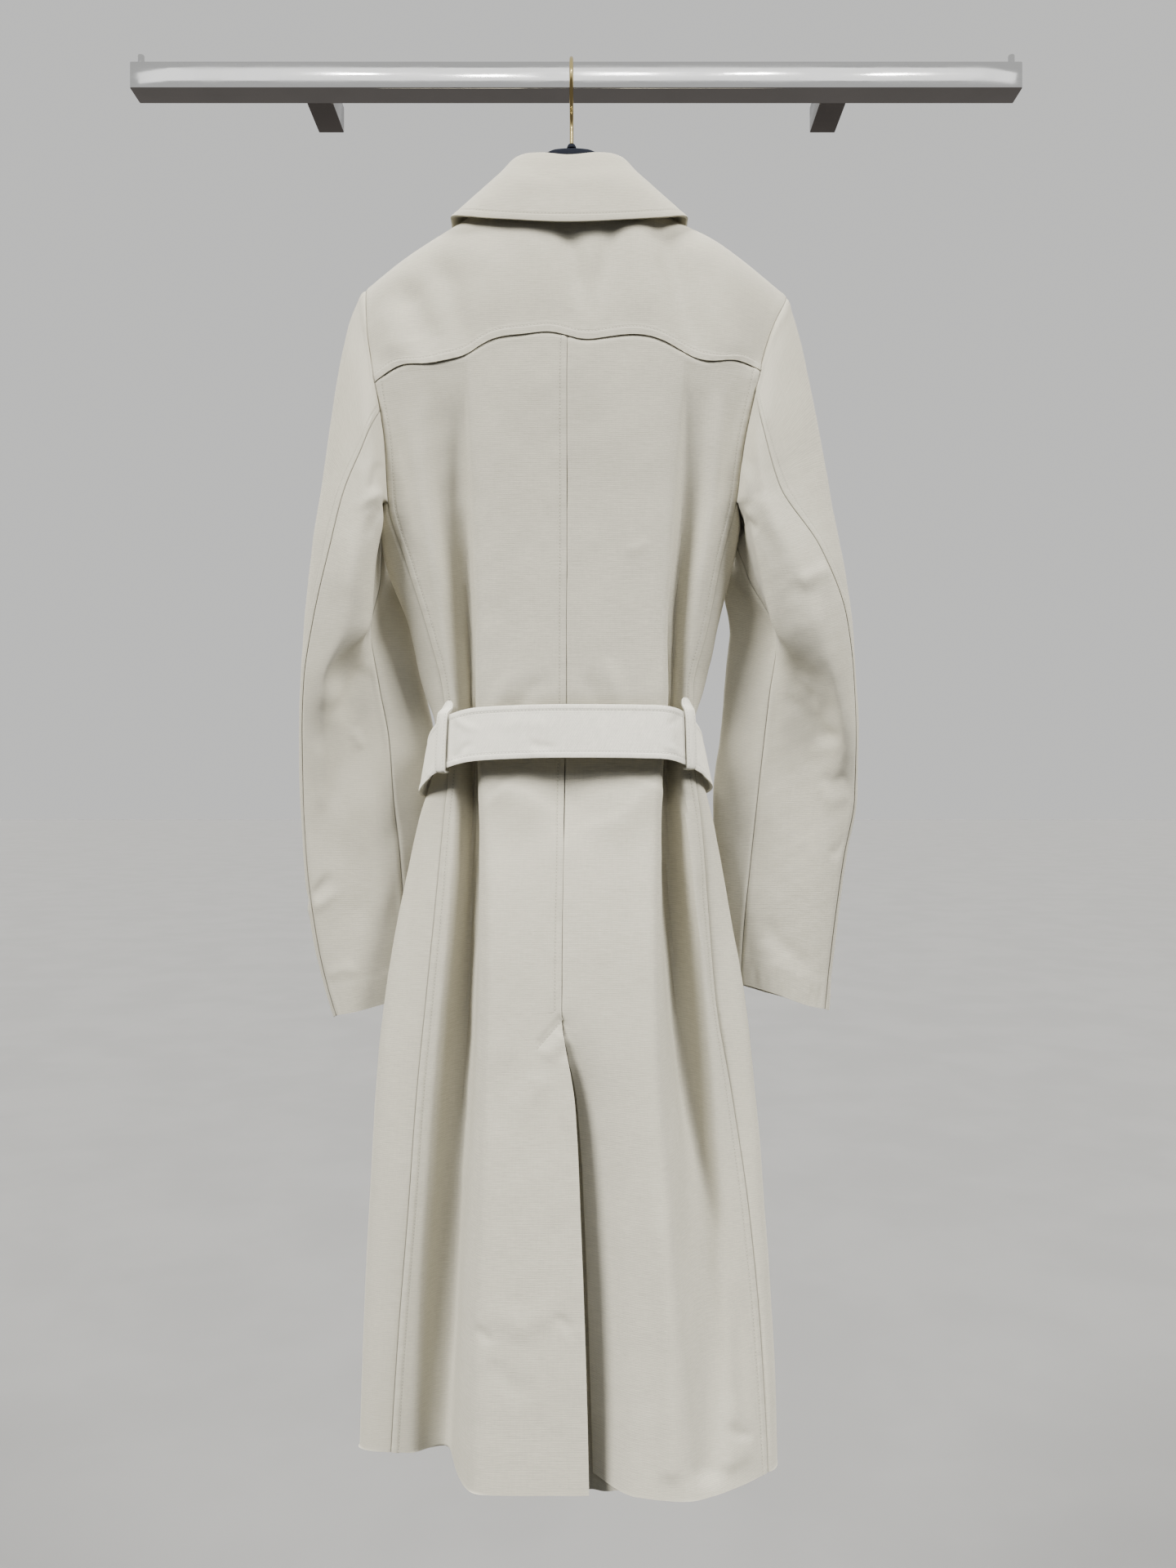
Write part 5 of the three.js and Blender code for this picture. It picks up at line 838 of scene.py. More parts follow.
BACK_MARKS = [
    # between the yoke and the belt
    ([(604, 460), (602, 560), (606, 700), (604, 840)], 17, 0.9, (0.3, 0.2)),
    ([(648, 470), (655, 600), (650, 760)], 20, -0.5, (0.3, 0.3)),
    ([(728, 440), (722, 560), (728, 700), (724, 800)], 16, -0.9, (0.25, 0.3)),
    ([(762, 430), (764, 560), (772, 690), (770, 760)], 14, 0.8, (0.3, 0.3)),
    ([(760, 864), (752, 834), (738, 796)], 10, 2.0, (0.0, 0.6)),
    ([(732, 866), (726, 842), (716, 820)], 9, -1.4, (0.0, 0.6)),
    ([(632, 868), (652, 842), (684, 826)], 11, -1.6, (0.0, 0.6)),
    ([(604, 866), (618, 840), (640, 812)], 9, 1.2, (0.0, 0.6)),
    ([(806, 640), (812, 740), (800, 850)], 9, -0.8, (0.4, 0.2)),
    ([(795, 660), (780, 672), (760, 676)], 7, 0.8, (0.3, 0.5)),
    ([(496, 478), (508, 560), (524, 650), (542, 760)], 10, 1.6, (0.3, 0.3)),
    ([(478, 500), (489, 580), (504, 660)], 8, -1.4, (0.3, 0.3)),
    ([(560, 470), (560, 560), (562, 640)], 9, -1.3, (0.5, 0.3)),
    ([(882, 465), (878, 560), (866, 660), (852, 760)], 9, 1.6, (0.3, 0.3)),
    ([(900, 470), (896, 550), (884, 630)], 8, -1.5, (0.3, 0.3)),
    # below the belt
    ([(586, 912), (640, 918), (690, 920), (750, 918), (810, 912)], 24, -2.0, (0.02, 0.02)),
    ([(690, 925), (693, 980), (696, 1050)], 34, -4.6, (0.0, 0.6)),
    ([(612, 960), (636, 985), (648, 1040)], 30, 2.0, (0.1, 0.6)),
    ([(790, 950), (770, 985), (756, 1040)], 26, 2.0, (0.1, 0.6)),
    ([(590, 946), (606, 962), (640, 975), (672, 996), (688, 1040), (690, 1120)], (9, 24), 1.5, (0.1, 0.4)),
    ([(590, 930), (640, 942), (682, 950)], 13, -1.3, (0.2, 0.2)),
    ([(806, 946), (792, 972), (760, 1004), (722, 1016), (700, 1024)], (24, 9), 1.4, (0.15, 0.3)),
    ([(700, 950), (750, 948), (806, 934)], 13, -1.3, (0.2, 0.2)),
    ([(612, 1010), (600, 1200), (596, 1400), (600, 1600)], 20, 1.2, (0.2, 0.3)),
    ([(660, 1030), (664, 1130), (668, 1230)], 16, -0.9, (0.3, 0.3)),
    ([(688, 1246), (672, 1266), (656, 1284)], (9, 4), -1.7, (0.05, 0.2)),
    ([(690, 1266), (680, 1282), (664, 1300)], 11, 1.5, (0.1, 0.4)),
    ([(664, 1310), (648, 1350), (640, 1400)], 14, 1.2, (0.2, 0.6)),
    ([(630, 1280), (612, 1340), (604, 1400)], 16, -1.1, (0.3, 0.5)),
    ([(692, 1290), (694, 1340), (700, 1420)], 7, 1.2, (0.1, 0.4)),
    ([(583, 1622), (594, 1638), (606, 1646)], 6, -1.3, (0.3, 0.4)),
    ([(598, 1662), (620, 1690), (654, 1718)], 13, -1.1, (0.3, 0.4)),
    ([(675, 1611), (690, 1618), (702, 1636)], 6, -1.2, (0.3, 0.4)),
    ([(590, 1596), (640, 1626), (690, 1596)], 16, 1.1, (0.3, 0.3)),
    ([(760, 1060), (752, 1200), (748, 1400), (742, 1640)], 18, -1.3, (0.25, 0.3)),
    ([(792, 1060), (792, 1200), (796, 1400), (806, 1640)], 15, 1.2, (0.2, 0.3)),
    ([(834, 1400), (848, 1540), (864, 1660), (868, 1800)], 18, -6.6, (0.35, 0.0)),
    ([(812, 1430), (820, 1600), (822, 1800)], 13, 2.4, (0.3, 0.0)),
    ([(872, 1480), (886, 1620), (894, 1790)], 11, 2.6, (0.3, 0.0)),
    ([(904, 1560), (908, 1680), (912, 1780)], 9, -1.1, (0.3, 0.2)),
    ([(840, 976), (846, 1053), (856, 1130), (872, 1220)], (4, 7), 2.0, (0.1, 0.5)),
    ([(856, 1060), (868, 1160), (884, 1280)], 6, -1.5, (0.2, 0.4)),
    ([(886, 1742), (902, 1756), (926, 1760)], (8, 5), -1.8, (0.4, 0.3)),
    ([(896, 1700), (908, 1760), (912, 1800)], 11, 1.6, (0.4, 0.2)),
    ([(560, 960), (552, 1080), (540, 1240), (530, 1400)], 7, 1.4, (0.15, 0.4)),
    ([(500, 1200), (492, 1360), (486, 1560), (478, 1700)], 10, 0.8, (0.3, 0.3)),
    ([(470, 1300), (466, 1480), (460, 1640)], 9, -0.9, (0.3, 0.3)),
    ([(544, 1420), (536, 1560), (530, 1700)], 9, -1.0, (0.3, 0.3)),
    ([(566, 960), (568, 1000), (566, 1080)], 5, -1.4, (0.1, 0.4)),
]
SLEEVE_MARKS = {
    "left": [
        ([(480, 600), (470, 606), (452, 612), (430, 626)], (6, 8.4), 2.21, (0.2, 0.5)),
        ([(466, 566), (458, 586), (452, 604)], 7.2, -1.53, (0.2, 0.3)),
        ([(470, 618), (456, 640), (452, 664)], (6, 6), -1.87, (0.2, 0.4)),
        ([(440, 560), (444, 590), (440, 615)], 8.4, 1.19, (0.3, 0.4)),
        ([(425, 640), (428, 690), (432, 740)], 14.4, 0.85, (0.3, 0.3)),
        ([(460, 752), (440, 790), (418, 838), (400, 876)], (9, 13), 3.2, (0.2, 0.2)),
        ([(452, 812), (436, 850), (420, 896)], 15, -2.4, (0.2, 0.4)),
        ([(407, 872), (412, 940), (410, 1004)], 12, -1.36, (0.2, 0.3)),
        ([(432, 890), (438, 906), (446, 918)], 7.2, 1.02, (0.3, 0.3)),
        ([(388, 900), (392, 950), (394, 1000)], 9.6, 1.1, (0.3, 0.3)),
        ([(378, 1100), (392, 1086), (408, 1066)], (4.8, 8.4), -1.61, (0, 0.5)),
        ([(380, 1112), (398, 1104), (420, 1084)], 7.2, 1.19, (0, 0.5)),
        ([(424, 1010), (436, 1080), (446, 1150)], 14.4, -0.85, (0.3, 0.3)),
        ([(460, 960), (466, 1050), (468, 1140)], 12, 0.77, (0.3, 0.3)),
        ([(398, 1196), (420, 1186), (446, 1192)], 7.2, 0.85, (0.2, 0.4)),
        ([(470, 880), (478, 940), (484, 1000)], 8.4, -1.02, (0.3, 0.3)),
    ],
    "right": [
        ([(906, 560), (914, 590), (910, 620)], (7.2, 10.2), 1.49, (0.2, 0.2)),
        ([(920, 556), (926, 590), (932, 622)], 8.7, -1.12, (0.2, 0.3)),
        ([(904, 638), (916, 629), (932, 634)], (7.2, 7.2), 1.36, (0.3, 0.5)),
        ([(906, 646), (918, 642), (930, 650)], (5.8, 7.2), -1.74, (0.2, 0.3)),
        ([(928, 600), (944, 640), (966, 672)], 11.6, 1.12, (0.2, 0.4)),
        ([(940, 560), (948, 586), (962, 612)], 10.2, -0.62, (0.3, 0.3)),
        ([(930, 640), (944, 672), (950, 700)], 8.7, -0.99, (0.2, 0.4)),
        ([(976, 716), (996, 704), (1020, 696)], (8.7, 11.6), 1.49, (0.25, 0.2)),
        ([(960, 716), (986, 728), (1012, 722)], 13, -1.12, (0.25, 0.3)),
        ([(960, 760), (986, 768), (1016, 756)], 14.5, 0.74, (0.3, 0.3)),
        ([(975, 822), (1001, 848), (1004, 868), (1019, 888), (1034, 902)], (10.2, 5.8), 1.43, (0.2, 0.2)),
        ([(952, 848), (980, 868), (1004, 898), (1030, 908)], (8.7, 10.2), -1.43, (0.2, 0.2)),
        ([(990, 926), (1010, 916), (1034, 914)], 8.7, 0.87, (0.3, 0.2)),
        ([(1002, 948), (1018, 958), (1040, 950)], (7.2, 8.7), -1.05, (0.3, 0.2)),
        ([(1004, 972), (1020, 980), (1040, 972)], 8.7, 0.74, (0.3, 0.2)),
        ([(1012, 1048), (1024, 1042), (1036, 1030)], 7.2, -0.99, (0.3, 0)),
        ([(980, 900), (972, 980), (962, 1060)], 20.3, -0.62, (0.3, 0.3)),
        ([(1000, 990), (990, 1080), (982, 1160)], 18.8, 0.68, (0.3, 0.3)),
        ([(935, 1120), (950, 1150), (984, 1178), (1008, 1180)], (10.2, 13), -1.18, (0.2, 0.3)),
        ([(930, 1150), (950, 1176), (976, 1196)], 11.6, 0.93, (0.2, 0.3)),
        ([(905, 760), (900, 860), (892, 960)], 13, 0.5, (0.3, 0.3)),
    ],
}
# Hidden sides: paths in millimetres on the front, [x, z]
FRONT_MARKS = {
    "left": [
        ([(-60, -250), (-66, -330), (-60, -420)], 14, 1.8, (0.3, 0.3)),
        ([(-100, -330), (-96, -430), (-84, -560)], 12, -2.4, (0.3, 0.1)),
        ([(-120, -420), (-112, -500), (-100, -590)], 9, 2.2, (0.3, 0.05)),
        ([(-40, -520), (-44, -580), (-46, -625)], 7, -1.8, (0.5, 0.0)),
        ([(-20, -500), (-26, -580), (-24, -625)], 7, 1.5, (0.5, 0.0)),
        ([(-50, -690), (-58, -800), (-70, -1000), (-80, -1250)], 14, 4, (0.05, 0.0)),
        ([(-80, -690), (-92, -800), (-104, -1000), (-112, -1250)], 13, -4.7, (0.05, 0.0)),
        ([(-104, -700), (-126, -860), (-140, -1060), (-146, -1250)], 13, 3.6, (0.1, 0.0)),
        ([(-150, -860), (-168, -1050), (-174, -1250)], 12, -2.9, (0.3, 0.0)),
    ],
    "right": [
        ([(30, -250), (42, -330), (36, -420)], 14, 1.7, (0.3, 0.3)),
        ([(76, -330), (74, -440), (64, -560)], 12, -2.2, (0.3, 0.1)),
        ([(98, -420), (92, -500), (84, -590)], 9, 2.1, (0.3, 0.05)),
        ([(24, -520), (26, -580), (22, -625)], 7, -2, (0.5, 0.0)),
        ([(44, -500), (42, -570), (40, -625)], 7, 1.7, (0.5, 0.0)),
        ([(24, -690), (30, -820), (44, -1000), (50, -1250)], 14, 3.6, (0.05, 0.0)),
        ([(56, -690), (68, -820), (82, -1000), (88, -1250)], 13, -4.3, (0.05, 0.0)),
        ([(86, -700), (104, -860), (120, -1060), (126, -1250)], 13, 3.4, (0.1, 0.0)),
        ([(130, -860), (146, -1050), (154, -1250)], 12, -2.7, (0.3, 0.0)),
    ],
}


def marked(P, N, marks, hidden=()):
    """The height of the marks at each point: those of the seen side and those of the hidden side."""
    u, v = seen_at(P)
    seen = np.zeros(P.shape[:2])
    for path, wide, deep, ends in marks:
        seen += line_mark(u, v, path, wide, deep, ends)
    total = seen * smooth_step(0.02, 0.4, -N[..., 1])
    if hidden:
        back = np.zeros(P.shape[:2])
        for path, wide, deep, ends in hidden:
            back += line_mark(P[..., 0], P[..., 2], path, wide, deep, ends)
        total = total + back * smooth_step(0.02, 0.4, N[..., 1])
    return total


# ---- cloth panels ----
def slope_facing(place_at, s, t, sign, s_max, t_max, ring=False):
    """The direction out of a surface at places s, t."""
    e = 0.06
    s, t = np.broadcast_arrays(np.asarray(s, float), np.asarray(t, float))
    s0, s1 = (s - e, s + e) if ring else (np.maximum(0, s - e), np.minimum(s_max, s + e))
    t0, t1 = np.maximum(0, t - e), np.minimum(t_max, t + e)
    ds = place_at(s1, t) - place_at(s0, t)
    dt = place_at(s, t1) - place_at(s, t0)
    return unit(np.cross(ds, dt)) * sign


def back_facing(side, s, t):
    return slope_facing(lambda a, b: back_place(side, a, b), s, t, shade_sign(side), EDGE, TOP)


def front_facing(side, s, t):
    return slope_facing(lambda a, b: front_place(side, a, b), s, t, -1 if side == "left" else 1, 5, TOP) * 1.0


def sleeve_facing(side, s, t):
    return slope_facing(lambda a, b: sleeve_place(side, a, b), s, t, -1 if side == "left" else 1, 7, 10, True)


def side_seam_out(side, t):
    return unit(back_facing(side, np.full(t.shape, float(EDGE)), t) + front_facing(side, np.zeros(t.shape), t))


def armhole_out(side, w):
    """One direction for both sides of the armhole's seam."""
    w = np.asarray(w, float)
    tb = np.clip(TOP + (UNDERARM - TOP) * w, UNDERARM, TOP - 0.4)
    tf = np.clip(UNDERARM + (TOP - UNDERARM) * (w - 1), UNDERARM, TOP - 0.4)
    body = np.where((w <= 1)[:, None], back_facing(side, np.full(w.shape, float(EDGE)), tb), front_facing(side, np.zeros(w.shape), tf))
    turn = TURNS[side]
    v = np.where(w < turn[0], w + 2, w)
    s = np.interp(v, turn, np.arange(8))
    arm = sleeve_facing(side, s, np.full(w.shape, 0.25))
    out = unit(body + arm)
    for _ in range(3):
        out[1:-1] = unit(out[:-2] + out[1:-1] * 2 + out[2:])
    return out


def dressed(P, sign, marks=(), hidden=(), wander=0.35, wave=95.0, seed=1, shared="", extra=None, smooth=6, groove="LRBT", outs=None):
    """Softens a grid and gives it its marks, its slow wander and its sunk seams. shared and groove name the edges:
    L and R are the first and last columns, B and T the first and last rows."""
    P = soften(P, smooth)
    N = grid_normals(P, sign)
    across, up = cumulative(P, 1), cumulative(P, 0)
    d = {"L": across, "R": across[:, -1:] - across, "B": up, "T": up[-1:] - up}
    height = marked(P, N, marks, hidden) + wander * slow_noise(P, seed, wave) + wander * 0.35 * slow_noise(P, seed + 50, wave * 0.33)
    for e in shared:
        height = height * smooth_step(0.0, 7.0, d[e])
    if extra is not None:
        height = height + extra(P, N, d)
    for e in groove:
        height = height + (near_seam(d[e]) if e in shared else -0.35 * np.exp(-((d[e] / 0.8) ** 2)))
    # close to a shared edge the surface moves the way its neighbour does
    outs = outs or {}
    M = N.copy()
    for e, out in outs.items():
        k = np.exp(-((d[e] / 2.5) ** 2))[..., None]
        along_edge = out[:, None] if e in "LR" else out[None, :]
        M = M * (1 - k) + along_edge * k
    P = P + unit(M) * height[..., None]
    N = grid_normals(P, sign)
    for e, out in outs.items():
        if e == "L":
            N[:, 0] = out
        if e == "R":
            N[:, -1] = out
        if e == "B":
            N[0] = out
        if e == "T":
            N[-1] = out
    return P, N, d


def shut(d, edges):
    """The distance to the nearest of some edges."""
    out = np.full(d["L"].shape, 60.0)
    for e in edges:
        out = np.minimum(out, d[e])
    return out


def pull(P, edges, by=GAP):
    P = P.copy()
    for e in edges:
        if e == "L":
            P[:, 0] += unit(P[:, 1] - P[:, 0]) * by
        if e == "R":
            P[:, -1] += unit(P[:, -2] - P[:, -1]) * by
        if e == "B":
            P[0] += unit(P[1] - P[0]) * by
        if e == "T":
            P[-1] += unit(P[-2] - P[-1]) * by
    return P


def shade_sign(side):
    return -1 if side == "left" else 1


def undercut(side, s, t, P):
    """The back's middle panel hangs over the trough beside it, most of all round the belt and down the skirt."""
    sign = 1 if side == "left" else -1
    if side == "left":
        down = np.interp(t, [0, 2, 4, 6, 8, 10, 11, 12.0, 12.9], [0.7, 0.95, 1.0, 1.0, 1.0, 0.95, 0.7, 0.3, 0.0])
    else:
        down = np.interp(t, [0, 2, 4, 6, 8, 10, 11, 12.0, 12.9], [0.0, 0.3, 0.85, 1.0, 1.0, 0.95, 0.7, 0.3, 0.0])
    trough = np.exp(-(((s - 3.65) / 0.72) ** 2))
    crest = np.exp(-(((s - 2.75) / 0.5) ** 2))
    P = P.copy()
    P[..., 0] += sign * (8.0 * trough - 1.5 * crest) * down
    P[..., 1] += (5.0 * trough - 1.0 * crest) * down
    return P


FOLDS = {  # the deep folds beside the middle panel: v, the panel's edge, the strip's edge, how much deeper
    "left": [
        (425, 573, 530, 0), (470, 573, 528, 2), (520, 574, 530, 5), (600, 577, 536, 10), (700, 578, 549, 15), (779, 579.4, 558, 17), (870, 580, 571, 16), (936, 582, 572, 16),
        (1040, 582, 567, 15), (1155, 582, 561, 14), (1280, 579, 550, 14), (1418, 571, 540, 12), (1556, 565, 530, 11), (1735, 557, 522, 6), (1800, 554, 518, 4)],
    "right": [
        (425, 838, 872, 0), (470, 837, 868, 2), (520, 834, 862, 5), (625, 829, 854, 10), (753, 822, 836, 13), (855, 820, 826, 13), (936, 814, 822, 14), (1104, 813, 835, 14),
        (1257, 820, 850, 9), (1400, 833, 862, 5), (1520, 850, 880, 0), (1800, 860, 890, 0)],
}


def fold_in(side, P):
    """Sinks the cloth between the panel's edge and the strip's."""
    u, v = seen_at(P)
    f = np.array(FOLDS[side], float)
    edge, strip, deep = (np.interp(v, f[:, 0], f[:, k]) for k in (1, 2, 3))
    sign = 1 if side == "left" else -1
    inside = smooth_step(0.0, 5.0, (edge - u) * sign) * smooth_step(-16.0, 4.0, (u - strip) * sign)
    # under the belt the middle panel is drawn in, and it comes out again slowly down the skirt
    drawn = smooth_step(846, 905, v) * (1 - smooth_step(938, 1180, v)) * smooth_step(562, 598, u) * (1 - smooth_step(802, 838, u))
    P = P.copy()
    P[..., 1] += deep * inside + 6.5 * drawn
    return P


def vent_sink(t, away):
    """How far the right side of the vent lies back under the left flap; away is the distance from the back's middle."""
    return 4.6 * (1 - smooth_step(2.2, 3.75, t)) * (1 - smooth_step(6.0, 80.0, away))


def back_panel(side):
    S = np.linspace(0, EDGE, 500)
    su, width = even(np.stack([back_place(side, S, t) for t in (0.0, 4.0, 8.0, 11.0)]), 62)
    s = su * EDGE
    R = np.linspace(0, 13, 900)

    def at(r, s, top):
        t = np.where(r <= 12, r, 12 + (top - 12) * (r - 12))
        return back_place(side, s, t), t

    curves = np.stack([at(R, np.full(R.shape, k), yoke_level(side, k)[0])[0] for k in (0.0, 2.0, 4.0, 6.0)])
    ru, length = even(curves, 346)
    r = ru * 13
    top = yoke_level(side, s)
    rr, ss = np.meshgrid(r, s, indexing="ij")
    P, t = at(rr, ss, top[None, :])
    P = soften(undercut(side, ss, t, P), 4)
    P = fold_in(side, P)

    def extra(P, N, d):
        h = np.zeros(P.shape[:2])
        # small puckers along the side seam and its topstitching
        beat = np.sin(d["B"] * 2 * math.pi / 13.0 + 2.0 * np.sin(d["B"] / 47.0)) + 0.6 * np.sin(d["B"] * 2 * math.pi / 21.0 + 1.0)
        h += 0.13 * beat * np.exp(-(((d["R"] - 4.0) / 3.6) ** 2))
        if side == "left":
            beat = np.sin(d["B"] * 2 * math.pi / 17.0 + 1.6 * np.sin(d["B"] / 61.0))
            h += 0.06 * beat * np.exp(-(((d["L"] - 3.5) / 3.2) ** 2))
        # the fold of the topstitched allowance
        h += 0.60 * (1 - smooth_step(6.2, 8.4, d["R"]))
        if side == "left":
            h += 0.20 * (1 - smooth_step(5.4, 7.6, d["L"])) * smooth_step(3.9, 4.3, t)
        if side == "right":
            h -= vent_sink(t, d["L"])
        else:
            h += 1.7 * (1 - smooth_step(2.6, 3.8, t)) * (1 - smooth_step(0.0, 40.0, d["L"]))
        # under the yoke's edge
        h += -0.15 * (1 - smooth_step(0.0, 5.0, d["T"]))
        return h

    te = t[:, -1]
    hole = armhole_out(side, np.clip((TOP - te) / (TOP - UNDERARM), 0, 1))
    flank = side_seam_out(side, np.minimum(te, UNDERARM - 0.01))
    k = smooth_step(UNDERARM - 0.25, UNDERARM + 0.1, te)[:, None]
    outs = {"R": unit(flank * (1 - k) + hole * k)}
    P, N, d = dressed(P, shade_sign(side), BACK_MARKS, (), 0.35, 110.0, 3 if side == "left" else 7, "RT", extra, 2, "RT", outs)
    # the centre seam sinks only above the vent
    above = smooth_step(3.9, 4.25, t)
    P = P + N * (near_seam(d["L"], 0.32) * above)[..., None]
    P = pull(P, "LRT")
    lines = [(d["B"], d["R"] - 7.0)]
    if side == "left":
        lines.append((d["B"], np.where(t > 3.95, d["L"] - 6.2, 50.0)))
        # the vent's slanting stitch, from the seam's foot down into the panel
        lines.append(slant(P, (690, 1248), (657, 1285)))
        seam = np.minimum(shut(d, "R"), np.where(t > 3.98, d["L"] + 0.4, d["L"] + 1.4))
    else:
        seam = np.minimum(shut(d, "R"), np.where(t > 3.98, d["L"] + 0.4, 60.0))
    seam = np.minimum(seam, d["T"] + 0.7)
    seam = np.minimum(seam, d["B"] + 0.6)
    cloth = np.stack([np.broadcast_to(su * width, P.shape[:2]), P[..., 2]], -1)
    piece = cloth_shell(f"back_panel_{side}", P, N, CLOTH, cloth, stitches(lines, P.shape[:2]), seam)
    nodes = [f"back_{side}"]
    sew(piece, nodes)
    piece.data.materials.append(COAT)
    return piece


def slant(P, a, b):
    """A straight stitch line between two places in the picture's plane."""
    u, v = seen_at(P)
    a, b = np.array(a, float), np.array(b, float)
    d = b - a
    l = np.linalg.norm(d)
    k = ((u - a[0]) * d[0] + (v - a[1]) * d[1]) / l
    off = ((u - a[0]) * d[1] - (v - a[1]) * d[0]) / l
    inside = (k > 0) & (k < l) & (P[..., 1] < -90)
    return k * 0.72, np.where(inside, off * 0.72, 50.0)


def yoke_panel():
    S = np.linspace(0, EDGE, 400)
    halves = {}
    for side in ("left", "right"):
        su, w = even(np.stack([back_place(side, S, t) for t in (14.5, 16.0, 18.0)]), 70, None)
        halves[side] = su * EDGE
    F = np.linspace(0, 1, 400)
    curves = []
    for side in ("left", "right"):
        for k in (0.0, 3.0, 5.0):
            low = yoke_level(side, k)[0]
            curves.append(back_place(side, np.full(F.shape, k), low + (TOP - low) * F))
    f, _ = even(np.stack(curves), 64)
    columns = []
    for side in ("left", "right"):
        ks = halves[side]
        low = yoke_level(side, ks)
        ff, kk = np.meshgrid(f, ks, indexing="ij")
        columns.append(back_place(side, kk, low[None, :] + (TOP - low[None, :]) * ff))
    P = np.concatenate([columns[0][:, :0:-1], columns[1]], 1)

    def extra(P, N, d):
        lift = 0.3 * (1 - smooth_step(0.0, 26.0, d["B"]))
        run = d["L"]
        beat = np.sin(run * 2 * math.pi / 11.5 + 1.8 * np.sin(run / 37.0)) + 0.7 * np.sin(run * 2 * math.pi / 7.3 + 0.9)
        band = 0.20 * beat * np.exp(-(((d["B"] - 3.8) / 3.0) ** 2))
        allowance = 0.75 * (1 - smooth_step(6.4, 8.6, d["B"]))
        return lift + band + allowance

    outs = {}
    for e, side in (("L", "left"), ("R", "right")):
        low = yoke_level(side, float(EDGE))[0]
        te = low + (TOP - low) * f
        outs[e] = armhole_out(side, np.clip((TOP - te) / (TOP - UNDERARM), 0, 1))
    P, N, d = dressed(P, 1, YOKE_MARKS, (), 0.25, 90.0, 11, "LRT", extra, 8, "LRT", outs)
    P = pull(P, "LRBT", 0.12)
    seam = np.minimum(shut(d, "LRT"), d["B"] + 0.9)
    cloth = np.stack([P[..., 0], P[..., 2]], -1)
    piece = cloth_shell("yoke_panel", P, N, CLOTH, cloth, stitches([(d["L"], d["B"] - 7.3)], P.shape[:2]), seam)
    sew(piece, ["back_yoke"])
    piece.data.materials.append(COAT)
    return piece


def front_panel(side):
    S = np.linspace(0, 5, 500)

    def at(t, s):
        P = front_place(side, s, t)
        near = np.clip(1 - s, 0, 1) ** 2
        back = back_place(side, np.full(np.shape(t), float(EDGE)), np.minimum(t, 12.0))
        own = front_place(side, np.zeros(np.shape(t)), t)
        low = (t <= 12)
        P = P + (back - own) * (near * low)[..., None]
        high = np.clip(t - 18, 0, 1) ** 2 * (s <= 3)
        q = np.clip(1 - s / 3, 0, 1)
        seam = shoulder_seam(side, q.ravel()).reshape(*np.shape(q), 3)
        top = front_place(side, s, np.full(np.shape(t), 19.0))
        return P + (seam - top) * high[..., None]

    su, width = even(np.stack([at(np.full(S.shape, t), S) for t in (0.0, 4.0, 8.0, 11.0)]), 76)
    s = su * 5
    T = np.linspace(0, TOP, 1200)
    curves = np.stack([at(T, np.full(T.shape, k)) for k in (0.0, 2.0, 4.0, 5.0)])
    tu, length = even(curves, 330)
    t = tu * TOP
    tt, ss = np.meshgrid(t, s, indexing="ij")
    P = at(tt, ss)

    def extra(P, N, d):
        beat = np.sin(d["B"] * 2 * math.pi / 15.0 + 1.7 * np.sin(d["B"] / 53.0))
        h = 0.10 * beat * np.exp(-(((d["L"] - 2.5) / 3.0) ** 2))
        return h + 0.35 * (1 - smooth_step(6.4, 9.0, d["R"]))

    hole = armhole_out(side, np.clip(1 + (t - UNDERARM) / (TOP - UNDERARM), 1, 2))
    flank = side_seam_out(side, np.minimum(t, UNDERARM - 0.01))
    k = smooth_step(UNDERARM - 0.25, UNDERARM + 0.1, t)[:, None]
    outs = {"L": unit(flank * (1 - k) + hole * k)}
    P, N, d = dressed(P, -1 if side == "left" else 1, SIDE_MARKS, FRONT_MARKS[side], 0.4, 110.0, 21 if side == "left" else 27, "LT", extra, 6, "LT", outs)
    P = pull(P, "LT")
    lines = [(d["B"], d["R"] - 7.0)]
    seam = np.minimum(shut(d, "LT"), np.minimum(d["R"], d["B"]) + 0.6)
    cloth = np.stack([np.broadcast_to(su * width, P.shape[:2]), P[..., 2]], -1)
    piece = cloth_shell(f"front_panel_{side}", P, N, CLOTH, cloth, stitches(lines, P.shape[:2]), seam)
    sew(piece, [f"front_{side}"])
    piece.data.materials.append(COAT)
    return piece


SIDE_MARKS = [  # the fronts where they show beside the back: above the belt and down the skirt's sides
    ([(478, 690), (492, 730), (508, 790), (520, 850)], 6, 1.2, (0.3, 0.2)),
    ([(470, 672), (480, 712), (494, 760), (506, 820)], 5, -1.3, (0.3, 0.3)),
    ([(886, 700), (876, 760), (866, 830)], 6, 1.2, (0.3, 0.2)),
    ([(500, 1020), (486, 1140), (474, 1260), (466, 1400)], 9, 0.9, (0.2, 0.4)),
    ([(512, 1000), (502, 1090), (492, 1200)], 6, -0.9, (0.2, 0.4)),
    ([(874, 1010), (886, 1080), (900, 1170)], 6, -1.3, (0.2, 0.4)),
    ([(880, 980), (892, 1060), (906, 1150), (914, 1230)], 5, 1.1, (0.1, 0.4)),
]


